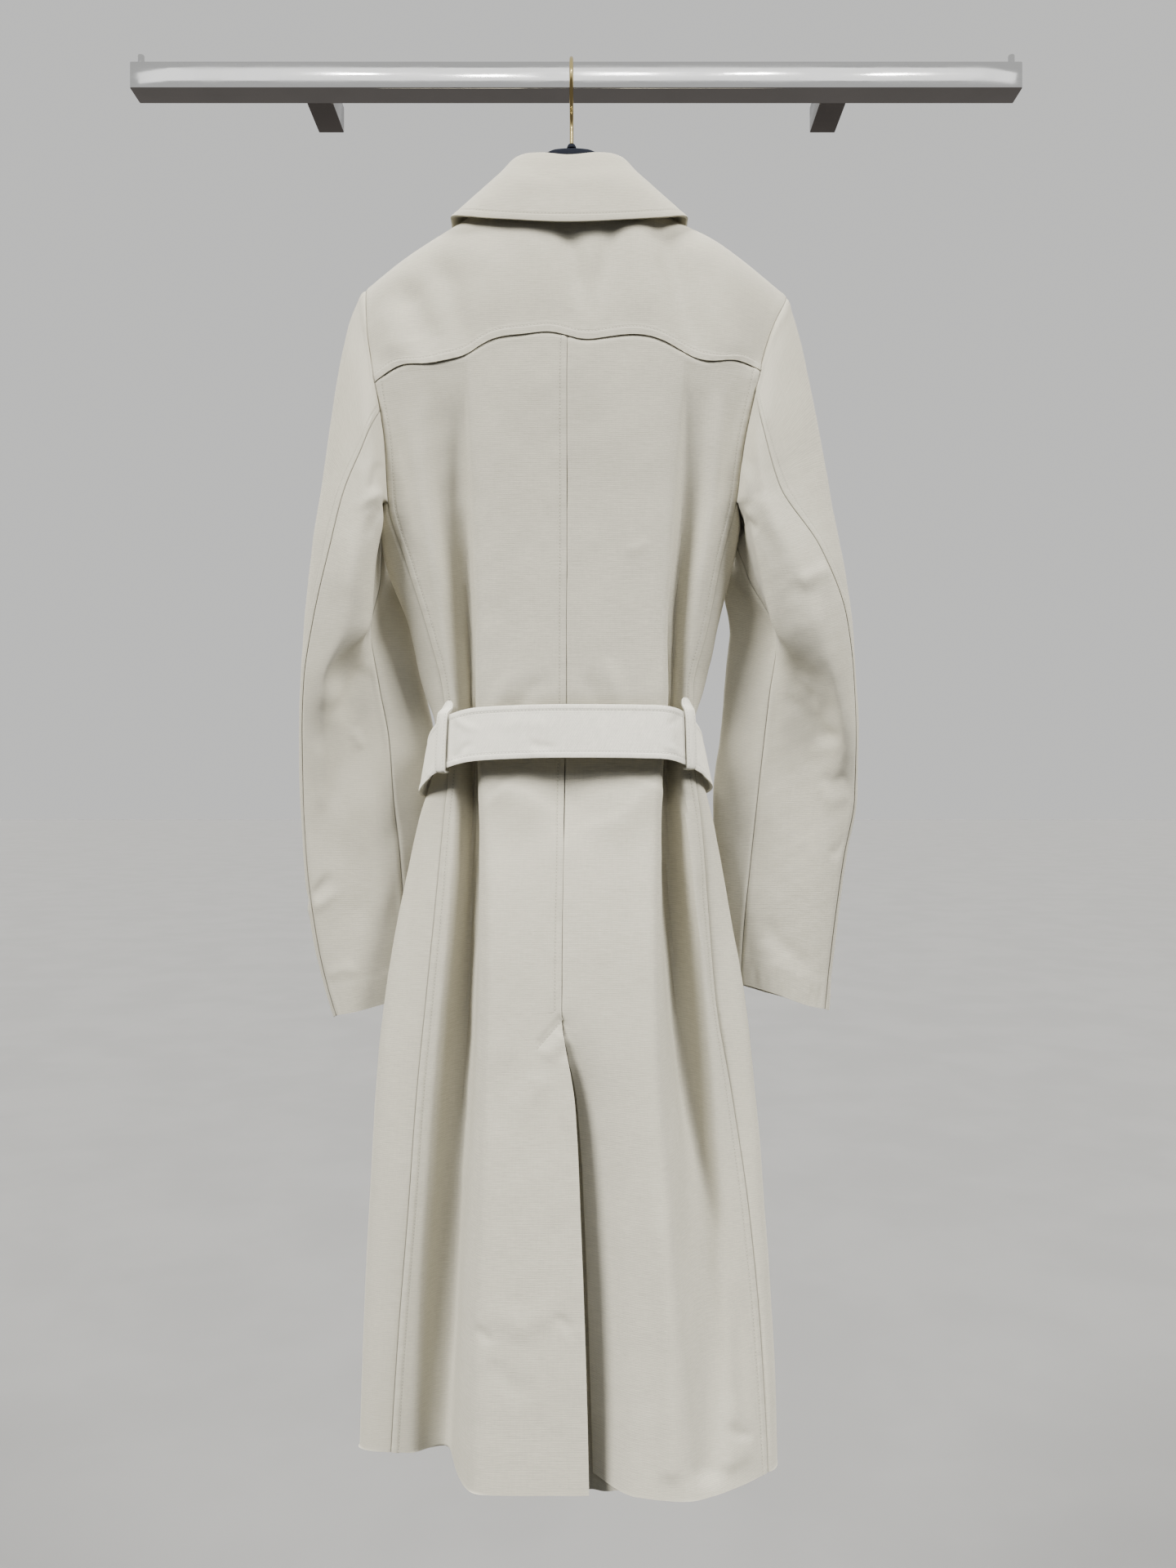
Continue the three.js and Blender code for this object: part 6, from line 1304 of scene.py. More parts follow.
def sleeve(side, part):
    lo, hi = (0.0, 3.0) if part == "under" else (3.0, 7.0)
    S = np.linspace(lo, hi, 600)
    su, width = even(np.stack([sleeve_place(side, S, t) for t in (1.0, 4.0, 8.0, 10.0)]), 60 if part == "under" else 88)
    s = lo + su * (hi - lo)
    T = np.linspace(0, 10, 900)
    curves = np.stack([sleeve_place(side, np.full(T.shape, k), T) for k in np.linspace(lo, hi, 5)])
    tu, length = even(curves, 190 if part == "under" else 215)
    tt, ss = np.meshgrid(tu * 10, s, indexing="ij")
    P = sleeve_place(side, ss, tt)
    sign = -1 if side == "left" else 1
    # its inner side swells towards the body just under the arm
    inner = smooth_step(0.25, 0.8, -sign * grid_normals(P, sign)[..., 0]) * smooth_step(-70, -50, P[..., 1])
    z = P[..., 2].copy()
    row = seen_at(P)[1]
    P[..., 1] += -4.0 * smooth_step(600, 850, row) + 11.0 * smooth_step(850, 1270, row)
    P[..., 0] -= sign * (9.0 if side == "left" else 11.0) * inner * smooth_step(-365, -410, z) * smooth_step(-520, -462, z)

    def extra(P, N, d):
        h = np.zeros(P.shape[:2])
        run = d["B"]
        if part == "top":
            # the sewn-in head of the sleeve stands up a little beside the armhole
            h += 0.9 * np.exp(-(((run - 7.0) / 6.0) ** 2))
            edge = d["R"]
        else:
            edge = d["L"]
            h += 0.5 * np.exp(-(((run - 6.0) / 5.0) ** 2))
        if part == "top":
            beat = np.sin(run * 2 * math.pi / 12.0 + 1.8 * np.sin(run / 39.0)) + 0.5 * np.sin(run * 2 * math.pi / 7.9)
            h += 0.15 * beat * np.exp(-(((edge - 3.8) / 3.4) ** 2))
            h += 0.60 * (1 - smooth_step(6.4, 8.6, edge))
        # puckers over the cuff's hem
        beat = np.sin(d["L"] * 2 * math.pi / 9.0 + 1.4 * np.sin(d["L"] / 23.0))
        fold = np.exp(-(((d["T"] - 12.0) / 9.0) ** 2))
        h += (0.22 if side == "right" else 0.08) * beat * fold
        h += 0.25 * (1 - smooth_step(26, 30, d["T"]))
        return h

    seam_at = {e: unit(sleeve_facing(side, np.full(tu.shape, k - 0.3), tu * 10) + sleeve_facing(side, np.full(tu.shape, k + 0.3), tu * 10)) for e, k in (("L", lo), ("R", hi))}
    outs = {"L": seam_at["L"], "R": seam_at["R"], "B": armhole_out(side, armhole_at(side, s))}
    P, N, d = dressed(P, sign, SLEEVE_MARKS[side], (), 0.55, 80.0, 31 if side == "left" else 37, "LRB", extra, 5, "LRB", outs)
    P = pull(P, "LRB", 0.25)
    lines = [(d["B"], d["R"] - 7.2)] if part == "top" else []
    seam = np.minimum(shut(d, "LRB"), d["T"] + 0.6)
    cloth = np.stack([np.broadcast_to(su * width, P.shape[:2]), np.broadcast_to(-(tu * length)[:, None], P.shape[:2])], -1)
    piece = cloth_shell(f"sleeve_{part}_{side}", P, N, CLOTH, cloth, stitches(lines, P.shape[:2]), seam)
    sew(piece, [f"{part}_sleeve_{side}"])
    piece.data.materials.append(COAT)
    return piece


def collar():
    nq = 230
    q = np.linspace(0, 12, nq)
    S, F, M, E = (collar_place(c, q) for c in range(4))
    run = unit(np.gradient(F, axis=0))
    down = unit(unit((F + M) / 2 - F) + unit(S - F))
    apart = unit(np.cross(down, run))
    flip = np.where(np.einsum("ij,ij->i", apart, M - S) < 0, -1.0, 1.0)[:, None]
    apart = apart * flip
    reach = np.linalg.norm(F - S, axis=1)[:, None]
    r = 2.1 * smooth_step(0, 16, reach)
    C = F + down * r
    rows = []
    for v in np.concatenate([[1, 0.985, 0.965, 0.94], np.linspace(0.91, 0.0, 26)]):  # from the fall's edge up to the fold
        cols = np.stack([F, M, E])
        B = along(cols, np.full(nq, 2 * v))
        k = 1 - smooth_step(0, 0.3, v)
        rows.append(B + (C + apart * r - F) * k)
    for a in np.linspace(0, math.pi, 9)[1:-1]:
        rows.append(C + apart * r * math.cos(a) - down * r * math.sin(a))
    turn = len(rows)
    for w in np.concatenate([np.linspace(0, 0.16, 4), np.linspace(0.2, 1.0, 12)]):
        G = F + (S - F) * w
        k = 1 - smooth_step(0, 0.35, w)
        rows.append(G - apart * (r * k + 2.0 * (1 - k)) + down * r * k)
    P = np.array(rows)  # rows go from the edge over the fold to the seam
    cut = turn + 4

    def build(P, name, nodes, thick, stitch, marks, groove):
        sign = 1
        N = grid_normals(P, 1)
        mid = P.shape[1] // 2
        # away from the neck on the fall, towards it on the stand
        want = np.array([0.0, -1.0, 0.0]) if name == "collar_leaf" else np.array([0.0, 1.0, 0.0])
        if N[2, mid] @ want < 0:
            sign = -1
        P2, N2, d = dressed(P, sign, marks, (), 0.18, 70.0, 41, "", None, 1, "")
        lift = -0.3 * np.exp(-((d["B"] / 0.9) ** 2))
        if stitch:
            lift = lift + 0.25 * (1 - smooth_step(6.5, 9.0, d["B"])) - 0.3 * np.exp(-((d["L"] / 0.9) ** 2)) - 0.3 * np.exp(-((d["R"] / 0.9) ** 2))
        P2 = P2 + N2 * lift[..., None]
        N2 = grid_normals(P2, sign)
        seam = np.minimum(d["L"], d["R"]) + 0.8
        seam = np.minimum(seam, d["T"] if name == "collar_leaf" else np.minimum(d["T"], d["B"]))
        if name == "collar_leaf":
            seam = np.minimum(seam, d["B"] + 0.7)
        lines = [(d["L"], d["B"] - 7.2)] if stitch else []
        if stitch:
            lines += [(d["B"], d["L"] - 7.2), (d["B"], d["R"] - 7.2)]
        cloth = np.stack([d["L"], -d["B"]], -1)
        piece = cloth_shell(name, P2, N2, thick, cloth, stitches(lines, P2.shape[:2]), seam)
        sew(piece, nodes)
        piece.data.materials.append(COAT)

    build(P[:cut], "collar_leaf", ["collar_fall"], 2.0, True, COLLAR_MARKS, "")
    build(P[cut - 1:] + (P[cut] - P[cut - 1]) * 0.15, "collar_stand_band", ["collar_stand"], 1.6, False, (), "")


COLLAR_MARKS = [
    ([(600, 236), (650, 222), (700, 218), (750, 222), (800, 236)], 14, 0.9, (0.2, 0.2)),
    ([(640, 204), (664, 216), (700, 222)], 8, -0.6, (0.3, 0.3)),
    ([(570, 268), (590, 250), (612, 232)], 6, 0.5, (0.2, 0.3)),
]


def underlap():
    ts = np.linspace(0, 3.9, 12)
    behind = 2 + 1.5
    cols = []
    e = 0.02
    for t in ts:
        edge = back_place("right", np.array([0.0]), np.array([t]))[0]
        row = [edge + [dx, behind + 0.6, 0] for dx in (-UNDERLAP["reach"], -UNDERLAP["reach"] / 2, 0)]
        for s in (0.25, 0.5, 0.75, 1.0):
            p = back_place("right", np.array([s]), np.array([t]))[0]
            ds = back_place("right", np.array([s + e]), np.array([t]))[0] - back_place("right", np.array([s - e]), np.array([t]))[0]
            t0, t1 = max(0, t - e), min(18.9, t + e)
            dt = back_place("right", np.array([s]), np.array([t1]))[0] - back_place("right", np.array([s]), np.array([t0]))[0]
            n = unit(np.cross(ds, dt))
            row.append(p - n * behind)
        row = np.array(row)
        away = np.linalg.norm(row - row[2], axis=1) * np.array([0, 0, 0, 1, 1, 1, 1])
        row[:, 1] += vent_sink(t, away)
        if t == 0:
            row[:, 2] = UNDERLAP["hem"] + np.array([0.0, 0.0, 1.0, 5.0, 10.0, 16.0, 22.0])
        cols.append(row)
    G = np.array(cols)
    v = np.linspace(0, len(ts) - 1, 130)
    h = np.linspace(0, 6, 34)
    vv, hh = np.meshgrid(v, h, indexing="ij")
    at = np.stack([along(G[:, c], vv.ravel()) for c in range(7)])
    P = along(at, hh.ravel()).reshape(*vv.shape, 3)
    P, N, d = dressed(P, 1, (), (), 0.15, 90.0, 51, "", None, 2)
    cloth = np.stack([P[..., 0], P[..., 2]], -1)
    seam = np.minimum(d["L"], d["B"]) + 0.7
    piece = cloth_shell("vent_lap", P, N, 1.4, cloth, stitches([(d["B"], d["L"] - 20.0)], P.shape[:2]), seam)
    sew(piece, ["vent_underlap"])
    piece.data.materials.append(COAT)


def belt():
    nu, nk = 440, 20
    U = np.linspace(0, 13, 1500)
    u, length = even(belt_place(U, 0.5)[None], nu)
    u = u * 13
    ks = np.concatenate([[0, 0.012, 0.03, 0.055], np.linspace(0.09, 0.91, nk), [0.945, 0.97, 0.988, 1]])
    P = np.stack([belt_place(u, k) for k in ks], 1)  # along, then from the top edge to the bottom edge
    mid = len(u) // 2
    N = grid_normals(P, 1)
    sign = 1 if N[mid, len(ks) // 2] @ np.array([0, -1.0, 0]) > 0 else -1

    def extra(P, N, d):
        run = cumulative(P, 0)
        beat = np.sin(run * 2 * math.pi / 10.5 + 1.5 * np.sin(run / 41.0)) + 0.6 * np.sin(run * 2 * math.pi / 6.9 + 0.7)
        edge = np.minimum(d["L"], d["R"])
        h = 0.07 * beat * np.exp(-(((edge - 3.0) / 2.4) ** 2))
        h += 0.45 * (1 - smooth_step(4.6, 6.2, edge))
        h += 0.35 * np.exp(-(((edge - 20.0) / 14.0) ** 2))
        return h

    P, N, d = dressed(P, sign, BELT_MARKS, (), 0.30, 70.0, 61, "", extra, 2)
    edge = np.minimum(d["L"], d["R"])
    seam = np.minimum(edge, np.minimum(d["B"], d["T"])) + 0.8
    # the belt's seam value falls to almost nothing under and beside each loop, so the material paints shade where the
    # loop lies on it
    for which in ("left", "right"):
        top, bottom, _, across = loop_axes(which)
        lean = (bottom[0] - top[0]) / (bottom[2] - top[2])
        beside = np.abs(P[..., 0] - top[0] - lean * (P[..., 2] - top[2])) - 0.5 * LOOP_WIDTH * abs(across[0])
        seam = np.minimum(seam, np.where(P[..., 1] < -60, np.maximum(beside, 0.0) * 0.45 + 0.1, 9.0))
    lines = [(d["B"], d["L"] - 5.4), (d["B"], d["R"] - 5.4), (d["L"], d["B"] - 5.4), (d["L"], d["T"] - 5.4)]
    cloth = np.stack([d["B"], d["L"]], -1)
    piece = cloth_shell("belt_strip", P, N, BELT_THICK, cloth, stitches(lines, P.shape[:2]), seam)
    sew(piece, ["belt"])
    piece.data.materials.append(BELT)
    return length


BELT_MARKS = [
    ([(646, 906), (658, 913), (672, 914), (684, 909)], (4, 9), -0.9, (0.3, 0.4)),
    ([(636, 914), (656, 922), (682, 921)], 6, 0.6, (0.4, 0.4)),
    ([(600, 890), (640, 884), (690, 892)], 9, 0.5, (0.3, 0.3)),
    ([(556, 880), (572, 890), (592, 896)], 5, 0.9, (0.05, 0.5)),
    ([(556, 930), (568, 916), (586, 906)], 4, -1.0, (0.05, 0.5)),
    ([(838, 872), (826, 884), (810, 892)], 4, -0.8, (0.05, 0.5)),
    ([(838, 928), (824, 916), (806, 912)], 4, 0.8, (0.05, 0.5)),
    ([(524, 952), (536, 938), (545, 926)], 4, 1.0, (0.1, 0.3)),
    ([(862, 950), (856, 936), (850, 922)], 4, 1.0, (0.1, 0.3)),
]


def loop_axes(side):
    L = LOOPS[side]
    at = np.array([L["at"]])
    top, bottom = belt_place(at, 0.0)[0], belt_place(at, 1.0)[0]
    d = belt_place(at + 0.1, 0.5)[0] - belt_place(at - 0.1, 0.5)[0]
    o = unit(np.array([d[1], -d[0], 0.0]))
    p = belt_place(at, 0.5)[0]
    if o[0] * (p[0] + 8) + o[1] * (p[1] + 66) < 0:
        o = -o
    o = unit(o * 0.85 + np.array([0.0, -0.15, 0.0]))  # the strip follows the belt's turn
    return top, bottom, o, unit(np.array([-o[1], o[0], 0.0]))


def loop(side):
    L = LOOPS[side]
    top, bottom, o, side_dir = loop_axes(side)
    lean = bottom - top
    root, above = L["root"], L["above"]
    path = [[root, top[2] + above], [root + 1.6, top[2] + above * 0.6], [3.2, top[2] + 3.0], [4.3, top[2] - 8], [4.5, (top[2] + bottom[2]) / 2], [4.2, bottom[2] + 8], [3.3, bottom[2] - 0.6], [1.2, bottom[2] - 2.6], [-1.6, bottom[2] - 2.9], [root, bottom[2] - 3.2]]
    path = np.array([[off, z, 0] for off, z in path], float)
    n = 96
    fine = along(path, (len(path) - 1) * np.linspace(0, 1, n) ** 1.25)
    off, z = fine[:, 0], fine[:, 1]
    k = (z - top[2]) / lean[2]
    base = top + lean * k[:, None]
    base[:, 2] = z
    centre = base + o * off[:, None]
    w = np.concatenate([[-0.5, -0.47, -0.42], np.linspace(-0.35, 0.35, 5), [0.42, 0.47, 0.5]])
    # its head is round, and its foot narrows where it turns under the belt
    head = np.clip((top[2] + above - z) / 8.0, 0.0, 1.0)
    foot = np.clip((z - bottom[2] + 3.2) / 7.0, 0.0, 1.0)
    wide = LOOP_WIDTH * np.maximum(np.sqrt(1 - (1 - head) ** 2), 0.22) * (0.72 + 0.28 * np.sqrt(1 - (1 - foot) ** 2))
    P = centre[:, None] + side_dir * (w[None, :] * wide[:, None])[..., None]
    N = grid_normals(P, 1)
    sign = 1 if N[n // 2, 5] @ o > 0 else -1
    P, N, d = dressed(P, sign, (), (), 0.08, 40.0, 71, "", lambda P, N, d: 0.35 * np.exp(-(((np.minimum(d["L"], d["R"]) - 6.0) / 3.0) ** 2)), 1)
    cloth = np.stack([d["L"], d["B"]], -1)
    lines = [(d["B"], d["L"] - 1.8), (d["B"], d["R"] - 1.8)]
    seam = np.minimum(np.minimum(d["L"], d["R"]) + 0.5, np.minimum(d["B"], d["T"]) + 0.3)
    piece = cloth_shell(f"belt_loop_strip_{side}", P, N, LOOP_THICK, cloth, stitches(lines, P.shape[:2]), seam)
    sew(piece, [f"belt_loop_{side}"])
    piece.data.materials.append(BELT)


# ---- hard pieces ----
def swept(name, rings, close=False, caps=True):
    """A closed body through rings of points."""
    m, n = rings.shape[:2]
    idx = np.arange(m * n).reshape(m, n)
    faces = []
    last = m if close else m - 1
    for i in range(last):
        a, b = idx[i], idx[(i + 1) % m]
        for j in range(n):
            k = (j + 1) % n
            faces.append((a[j], a[k], b[k], b[j]))
    verts = rings.reshape(-1, 3)
    if caps and not close:
        faces += [tuple(idx[0][::-1]), tuple(idx[-1])]
    obj = new_mesh(name, verts, faces)
    face_out(obj)
    obj.data.set_sharp_from_angle(angle=math.radians(38))
    return obj


def bevelled_box(name, size, centre, bevel):
    x, y, z = (k / 2 for k in size)
    steps = 3
    ring = []
    # section across the length, with rounded corners
    for cx, cz, a0 in ((1, 1, 0), (-1, 1, 90), (-1, -1, 180), (1, -1, 270)):
        for i in range(steps + 1):
            a = math.radians(a0 + 90 * i / steps)
            ring.append((cx * (y - bevel) + bevel * math.cos(a), cz * (z - bevel) + bevel * math.sin(a)))
    ring = np.array(ring)
    inset = lambda k: np.array([(p[0] * (y - k) / y, p[1] * (z - k) / z) for p in ring])
    stations = [(-x, bevel), (-x + bevel * 0.3, bevel * 0.3), (-x + bevel, 0)]
    inner = np.linspace(-x + bevel, x - bevel, 24)[1:-1]
    stations += [(k, 0) for k in inner] + [(x - bevel, 0), (x - bevel * 0.3, bevel * 0.3), (x, bevel)]
    rings = np.array([[[s + centre[0], p[0] + centre[1], p[1] + centre[2]] for p in inset(k)] for s, k in stations])
    return swept(name, rings)


def lathe(name, profile, at, axis="z", turn=40):
    """profile is (radius, height) pairs from the axis to the axis."""
    ang = np.linspace(0, 2 * math.pi, turn, endpoint=False)
    rings = []
    for r, h in profile:
        r = max(r, 0.01)
        c, s = np.cos(ang) * r, np.sin(ang) * r
        ring = np.stack([c, s, np.full(turn, h)], 1) if axis == "z" else np.stack([c, np.full(turn, h), s], 1)
        rings.append(ring + np.array(at))
    return swept(name, np.array(rings))


def hard(piece, nodes, material):
    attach(piece, "root")
    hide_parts(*nodes)
    piece.data.materials.append(material)
    return piece


def rail_and_brackets():
    hard(bevelled_box("rail_bar", (RAIL["length"], RAIL["side"], RAIL["side"]), (0, RAIL["y"], 0), 0.9), ["rail"], STEEL)
    depth = -(RAIL["y"] + RAIL["side"] / 2) - 0.3
    for side, sign in (("left", -1), ("right", 1)):
        b = bevelled_box(f"bracket_arm_{side}", (BRACKET["width"], depth, BRACKET["height"]), (sign * BRACKET["x"], -depth / 2, 0), 0.8)
        hard(b, [f"bracket_{side}"], SHADED_STEEL)
        base = RAIL["side"] / 2 + 0.3
        r, h = RAIL["pin_radius"], RAIL["pin_top"]
        pin = lathe(f"end_pin_post_{side}", [(0, base), (r, base), (r, base + 0.4), (r, h - 0.8), (r - 0.25, h - 0.25), (r - 0.8, h), (0, h)], (sign * RAIL["pin_x"], RAIL["y"], 0), "z", 32)
        hard(pin, [f"end_pin_{side}"], STEEL)


def catmull(points, per):
    p = np.array(points, float)
    p = np.concatenate([[2 * p[0] - p[1]], p, [2 * p[-1] - p[-2]]])
    out = []
    for i in range(1, len(p) - 2):
        for k in np.linspace(0, 1, per, endpoint=False):
            a, b, c, d = p[i - 1], p[i], p[i + 1], p[i + 2]
            out.append(0.5 * (2 * b + (c - a) * k + (2 * a - 5 * b + 4 * c - d) * k**2 + (3 * b - a - 3 * c + d) * k**3))
    out.append(p[-2])
    return np.array(out)


def hook():
    R, y, z = HOOK["inner"] + HOOK["wire"] / 2, RAIL["y"], HOOK["eye_z"]
    line = [[y, HOOK["foot"]], [y, HOOK["foot"] + 10], [y, -40], [y - 3.2, -32], [y - 10.5, -25.6]]
    for a in range(55, 263, 23):
        line.append([y - R * math.sin(math.radians(a)), z - R * math.cos(math.radians(a))])
    path = catmull(line, 9)
    tan = unit(np.gradient(path, axis=0))
    turn = 18
    ang = np.linspace(0, 2 * math.pi, turn, endpoint=False)
    rings = []
    for i, (p, t) in enumerate(zip(path, tan)):
        nrm = np.array([-t[1], t[0]])
        r = HOOK["wire"] / 2
        rings.append([[HOOK["x"] + r * math.cos(a), p[0] + nrm[0] * r * math.sin(a), p[1] + nrm[1] * r * math.sin(a)] for a in ang])
    rings = np.array(rings)
    # round both ends
    for end, sign in ((0, 1), (-1, -1)):
        c = rings[end].mean(0)
        axis = np.array([0, *tan[end]]) * sign
        first = rings[end].copy()
        rings[end] = c + (first - c) * 0.75
        rings[end + sign] = c + (rings[end + sign] - rings[end + sign].mean(0)) * 0.97 + axis * 0.45
    hard(swept("hook_wire", rings), ["hook"], BRASS)
    n = NUB
    z0, z1 = HOOK["foot"] - 0.3 - n["height"], HOOK["foot"] - 0.3
    profile = [(0, z0), (n["radius"] - 0.3, z0), (n["radius"], z0 + 0.5), (n["radius"] * 0.93, z0 + n["height"] * 0.5), (n["radius"] * 0.74, z1 - 0.6), (n["radius"] * 0.62, z1), (0, z1)]
    hard(lathe("hanger_nub_cap", profile, (HOOK["x"], RAIL["y"], 0), "z", 36), ["hanger_nub"], BLACK)


def hanger():
    A = np.array(ARM, float)
    u = np.linspace(0, 10, 90)

    def arm(u):
        parts = [along(np.repeat(A[:, k : k + 1], 3, 1), u)[:, 0] for k in range(5)]
        return np.stack(parts, 1)

    right = arm(u)
    left = right[:0:-1].copy()
    left[:, 0] *= -1
    all_rows = np.concatenate([left, right])
    ang = np.linspace(0, 2 * math.pi, 28, endpoint=False)
    c, s = np.cos(ang), np.sin(ang)
    soft = lambda v: np.sign(v) * np.abs(v) ** 0.72
    rings = []
    for i, (x, y, top, depth, height) in enumerate(all_rows):
        k = min(i, len(all_rows) - 1 - i)
        tip = (0.45, 0.72, 0.88, 0.97)[k] if k < 4 else 1.0
        rings.append(np.stack([np.full(28, HOOK["x"] + x), y + depth / 2 * tip * soft(c), top - height / 2 + height / 2 * tip * soft(s)], 1))
    hard(swept("hanger_body", np.array(rings)), ["hanger"], BLACK)


def buckle():
    B = BUCKLE
    w, h, bar, thick = B["width"], B["height"], B["bar"], B["thick"]
    cx, cy, r = (w - bar) / 2, (h - bar) / 2, 3.0
    line = []
    for sx, sy, a0 in ((1, 1, 0), (-1, 1, 90), (-1, -1, 180), (1, -1, 270)):
        for i in range(7):
            a = math.radians(a0 + 15 * i)
            line.append([sx * (cx - r) + r * math.cos(a), sy * (cy - r) + r * math.sin(a)])
    line = np.array(line)
    # even steps round the frame
    closed = np.concatenate([line, line[:1]])
    c = np.concatenate([[0], np.cumsum(np.linalg.norm(np.diff(closed, axis=0), axis=1))])
    m = 150
    at = np.linspace(0, c[-1], m, endpoint=False)
    pts = np.stack([np.interp(at, c, closed[:, k]) for k in (0, 1)], 1)
    tan = unit(np.roll(pts, -1, 0) - np.roll(pts, 1, 0))
    out = np.stack([tan[:, 1], -tan[:, 0]], 1)
    n = 16
    ang = np.linspace(0, 2 * math.pi, n, endpoint=False)
    soft = lambda v: np.sign(v) * np.abs(v) ** 0.55
    rings = np.zeros((m, n, 3))
    for j, a in enumerate(ang):
        off = soft(math.cos(a)) * (bar / 2 - 0.1)
        dep = thick / 2 + soft(math.sin(a)) * (thick / 2)
        rings[:, j, 0] = pts[:, 0] + out[:, 0] * off
        rings[:, j, 1] = pts[:, 1] + out[:, 1] * off
        rings[:, j, 2] = dep
    th = -math.pi / 2 + B["lean"]
    y, z = rings[..., 1].copy(), rings[..., 2].copy()
    rings[..., 1] = y * math.cos(th) - z * math.sin(th)
    rings[..., 2] = y * math.sin(th) + z * math.cos(th)
    rings += np.array([B["x"], B["y"], B["z"]])
    idx = np.arange(m * n).reshape(m, n)
    nxt = np.roll(idx, -1, 0)
    faces = np.stack([idx, np.roll(idx, -1, 1), np.roll(nxt, -1, 1), nxt], -1).reshape(-1, 4)
    around = np.broadcast_to(at[:, None], (m, n))
    section = np.broadcast_to(np.linspace(0, 2 * (bar + thick), n)[None], (m, n))
    uv = np.stack([around, section], -1).reshape(-1, 2) * 0.001
    far = np.stack([around, np.full((m, n), 900.0)], -1).reshape(-1, 2) * 0.001
    obj = new_mesh("buckle_frame", rings.reshape(-1, 3), faces, {"Cloth": uv, "Stitch": far}, {"seam": np.full(m * n, 0.06)})
    face_out(obj)
    hard(obj, ["belt_buckle"], BELT)


def button(i, z):
    lo, hi = np.zeros(1), np.full(1, float(TOP))
    for _ in range(34):
        mid = (lo + hi) / 2
        below = front_place("right", np.full(1, BUTTON["across"]), mid)[0, 2] < z
        lo, hi = np.where(below, mid, lo), np.where(below, hi, mid)
    x = front_place("right", np.full(1, BUTTON["across"]), lo)[0, 0]
    name = f"button_{i}"
    a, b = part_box(name)
    cx, cz = (a[0] + b[0]) * 500, (a[2] + b[2]) * 500
    y0, y1 = a[1] * 1000, b[1] * 1000
    r, t = BUTTON["radius"], y1 - y0
    profile = [(0, y0), (r - 1.6, y0), (r - 0.4, y0 + 0.9), (r, y0 + t * 0.55), (r - 0.35, y1 - 0.35), (r - 1.2, y1), (r - 2.4, y1 - 0.25), (r - 3.4, y1 - 1.1), (r - 5.5, y1 - 1.35), (0, y1 - 1.4)]
    obj = lathe(f"button_disc_{i}", profile, (cx, 0, cz), "y", 44)
    hard(obj, [name], HORN)
    # two bars of thread across its face, each end sunk into the button
    for k, dx in enumerate((-1.9, 1.9)):
        path = np.array([[cx + dx, y1 - 2.2, cz - 2.3], [cx + dx, y1 - 1.0, cz - 1.6], [cx + dx, y1 - 0.75, cz], [cx + dx, y1 - 1.0, cz + 1.6], [cx + dx, y1 - 2.2, cz + 2.3]])
        fine = catmull(path, 5)
        ang = np.linspace(0, 2 * math.pi, 8, endpoint=False)
        rings = np.array([[[p[0] + 0.65 * math.cos(q), p[1] + 0.5 * math.sin(q), p[2] + (0.3 * math.sin(q) if abs(p[2] - cz) > 1.5 else 0)] for q in ang] for p in fine])
        bar = swept(f"button_thread_{i}_{k + 1}", rings)
        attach(bar, "root")
        bar.data.materials.append(THREAD)


def thread_material():
    g = Graph("thread")
    where = g.objects()
    twist = g.wave(where, 260.0, "Z", 2.0, 2.0)
    colour = g.mix(twist, (0.42, 0.39, 0.34), (0.60, 0.57, 0.51))
    return g.finish(colour, 0.8, g.bump(twist, 0.0001, 0.6), Sheen_Weight=0.1, Sheen_Roughness=0.5)


THREAD = thread_material()


# ---- build ----
hanger()
yoke_panel()
for side in ("left", "right"):
    back_panel(side)
    front_panel(side)
    for part in ("under", "top"):
        sleeve(side, part)
    loop(side)
collar()
underlap()
belt()
rail_and_brackets()
hook()
buckle()
for i, z in enumerate(BUTTON["z"]):
    button(i + 1, z)


# ---- floor, light and camera ----
def floor():
    g = Graph("pale_floor")
    where = g.objects()
    mottle = g.noise(where, 3.0, 4.0, 0.55)
    colour = g.mix(g.ramp(mottle, 0.35, 0.65), (0.178, 0.178, 0.176), (0.190, 0.190, 0.188))
    mat = g.finish(colour, 0.85)
    mesh = bpy.data.meshes.new("floor")
    k, z = 40.0, -1.9
    mesh.from_pydata([(-k, -k, z), (k, -k, z), (k, k, z), (-k, k, z)], [], [(0, 1, 2, 3)])
    mesh.materials.append(mat)
    obj = bpy.data.objects.new("floor", mesh)
    obj.visible_diffuse = False  # it throws no light back up
    obj.visible_glossy = False
    bpy.context.scene.collection.objects.link(obj)


def aim(obj, at, target):
    obj.location = at
    obj.rotation_mode = "QUATERNION"
    obj.rotation_quaternion = (Vector(target) - Vector(at)).to_track_quat("-Z", "Y")
    bpy.context.scene.collection.objects.link(obj)


def ceiling_light(at, strength, spread, colour=(1.0, 0.984, 0.945)):
    """A wide, even light from one side of a lit ceiling."""
    data = bpy.data.lights.new("ceiling", "SUN")
    data.energy, data.angle, data.color = strength, math.radians(spread), colour
    obj = bpy.data.objects.new("ceiling", data)
    obj.visible_glossy = False
    aim(obj, at, (0.0, 0.0, 0.0))


def area_light(name, at, target, size, power, colour=(1, 1, 1)):
    data = bpy.data.lights.new(name, "AREA")
    data.shape = "RECTANGLE"
    data.size, data.size_y = size
    data.energy = power
    data.color = colour
    aim(bpy.data.objects.new(name, data), at, target)


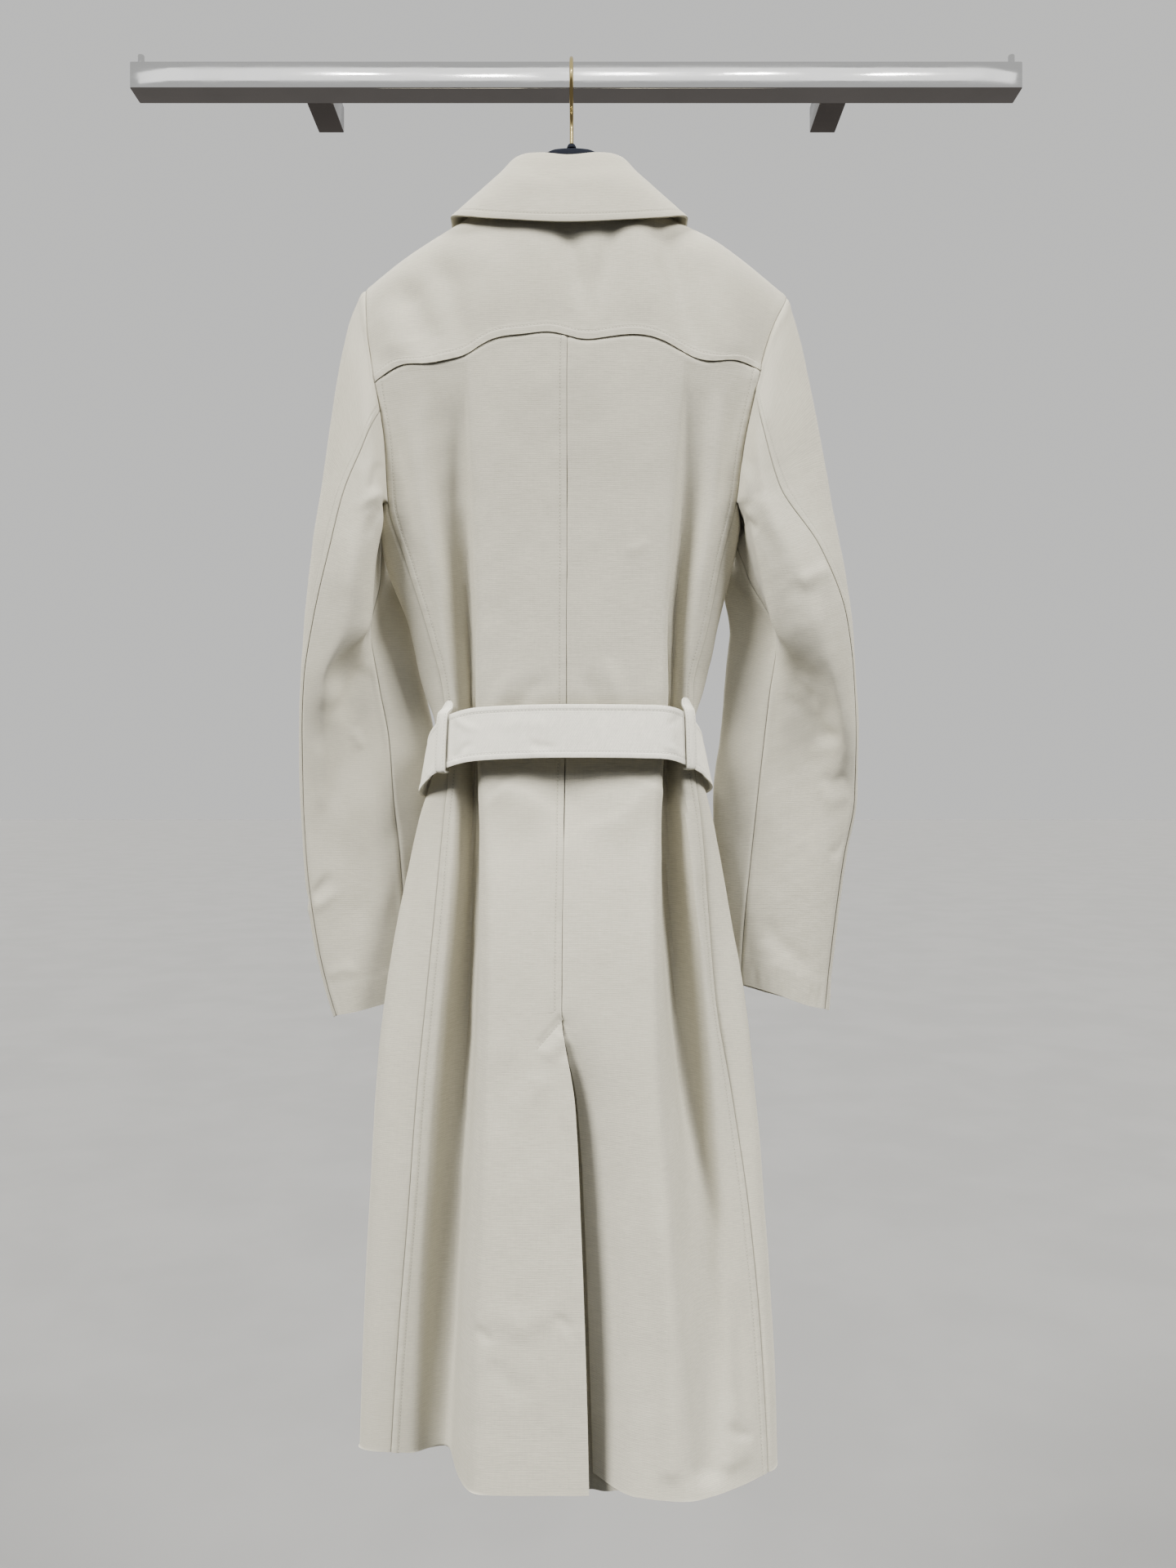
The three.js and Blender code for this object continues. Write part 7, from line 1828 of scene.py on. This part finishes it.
def world():
    """A pale surround that gives a weaker, even light than it shows."""
    w = bpy.data.worlds.new("studio")
    bpy.context.scene.world = w
    w.use_nodes = True
    nt = w.node_tree
    bg = nt.nodes["Background"]
    bg.inputs["Color"].default_value = (0.86, 0.88, 0.92, 1)
    bg.inputs["Strength"].default_value = 0.12
    shown = nt.nodes.new("ShaderNodeBackground")
    shown.inputs["Color"].default_value = (0.72, 0.72, 0.71, 1)
    shown.inputs["Strength"].default_value = 1.0
    # what polished metal shows: pale above, a darker floor below
    where = nt.nodes.new("ShaderNodeTexCoord")
    split = nt.nodes.new("ShaderNodeSeparateXYZ")
    level = nt.nodes.new("ShaderNodeValToRGB")
    level.color_ramp.elements[0].position, level.color_ramp.elements[1].position = 0.0, 0.22
    level.color_ramp.elements[0].color = (0.13, 0.12, 0.115, 1)
    level.color_ramp.elements[1].color = (0.62, 0.63, 0.64, 1)
    mirrored = nt.nodes.new("ShaderNodeBackground")
    path = nt.nodes.new("ShaderNodeLightPath")
    gloss, both = nt.nodes.new("ShaderNodeMixShader"), nt.nodes.new("ShaderNodeMixShader")
    link = nt.links.new
    link(where.outputs["Generated"], split.inputs[0])
    link(split.outputs["Z"], level.inputs[0])
    link(level.outputs[0], mirrored.inputs["Color"])
    link(path.outputs["Is Glossy Ray"], gloss.inputs[0])
    link(bg.outputs[0], gloss.inputs[1])
    link(mirrored.outputs[0], gloss.inputs[2])
    link(path.outputs["Is Camera Ray"], both.inputs[0])
    link(gloss.outputs[0], both.inputs[1])
    link(shown.outputs[0], both.inputs[2])
    link(both.outputs[0], nt.nodes["World Output"].inputs["Surface"])


floor()
world()
ceiling_light((-0.90, -0.64, 1.0), 6.6, 22)
ceiling_light((0.95, -0.66, 1.0), 5.7, 22)
ceiling_light((-0.75, 0.95, 0.95), 3.4, 30)
ceiling_light((0.85, 0.9, 0.90), 2.8, 30)
area_light("panel", (0.0, -3.4, 2.05), (0.0, 0.0, 0.0), (6.5, 1.1), 30, (0.98, 0.99, 1.0))
for i, (x, z) in enumerate([(-0.85, 2.02), (0.14, 2.02), (0.62, 2.05), (-0.35, 1.86), (1.12, 1.98)]):
    area_light(f"lamp_{i}", (x, -3.3, z), (0.0, 0.0, 0.0), (0.13, 0.06), 2.2, (1.0, 1.0, 1.0))

camera = bpy.data.cameras.new("camera")
camera.lens, camera.sensor_width, camera.sensor_fit = CAMERA["lens"], 36.0, "AUTO"
camera.clip_start, camera.clip_end = 0.05, 50
eye = bpy.data.objects.new("camera", camera)
eye.location = (CAMERA["x"] * 0.001, CAMERA["y"] * 0.001, CAMERA["z"] * 0.001)
eye.rotation_euler = (math.radians(90), 0, 0)
bpy.context.scene.collection.objects.link(eye)
bpy.context.scene.camera = eye
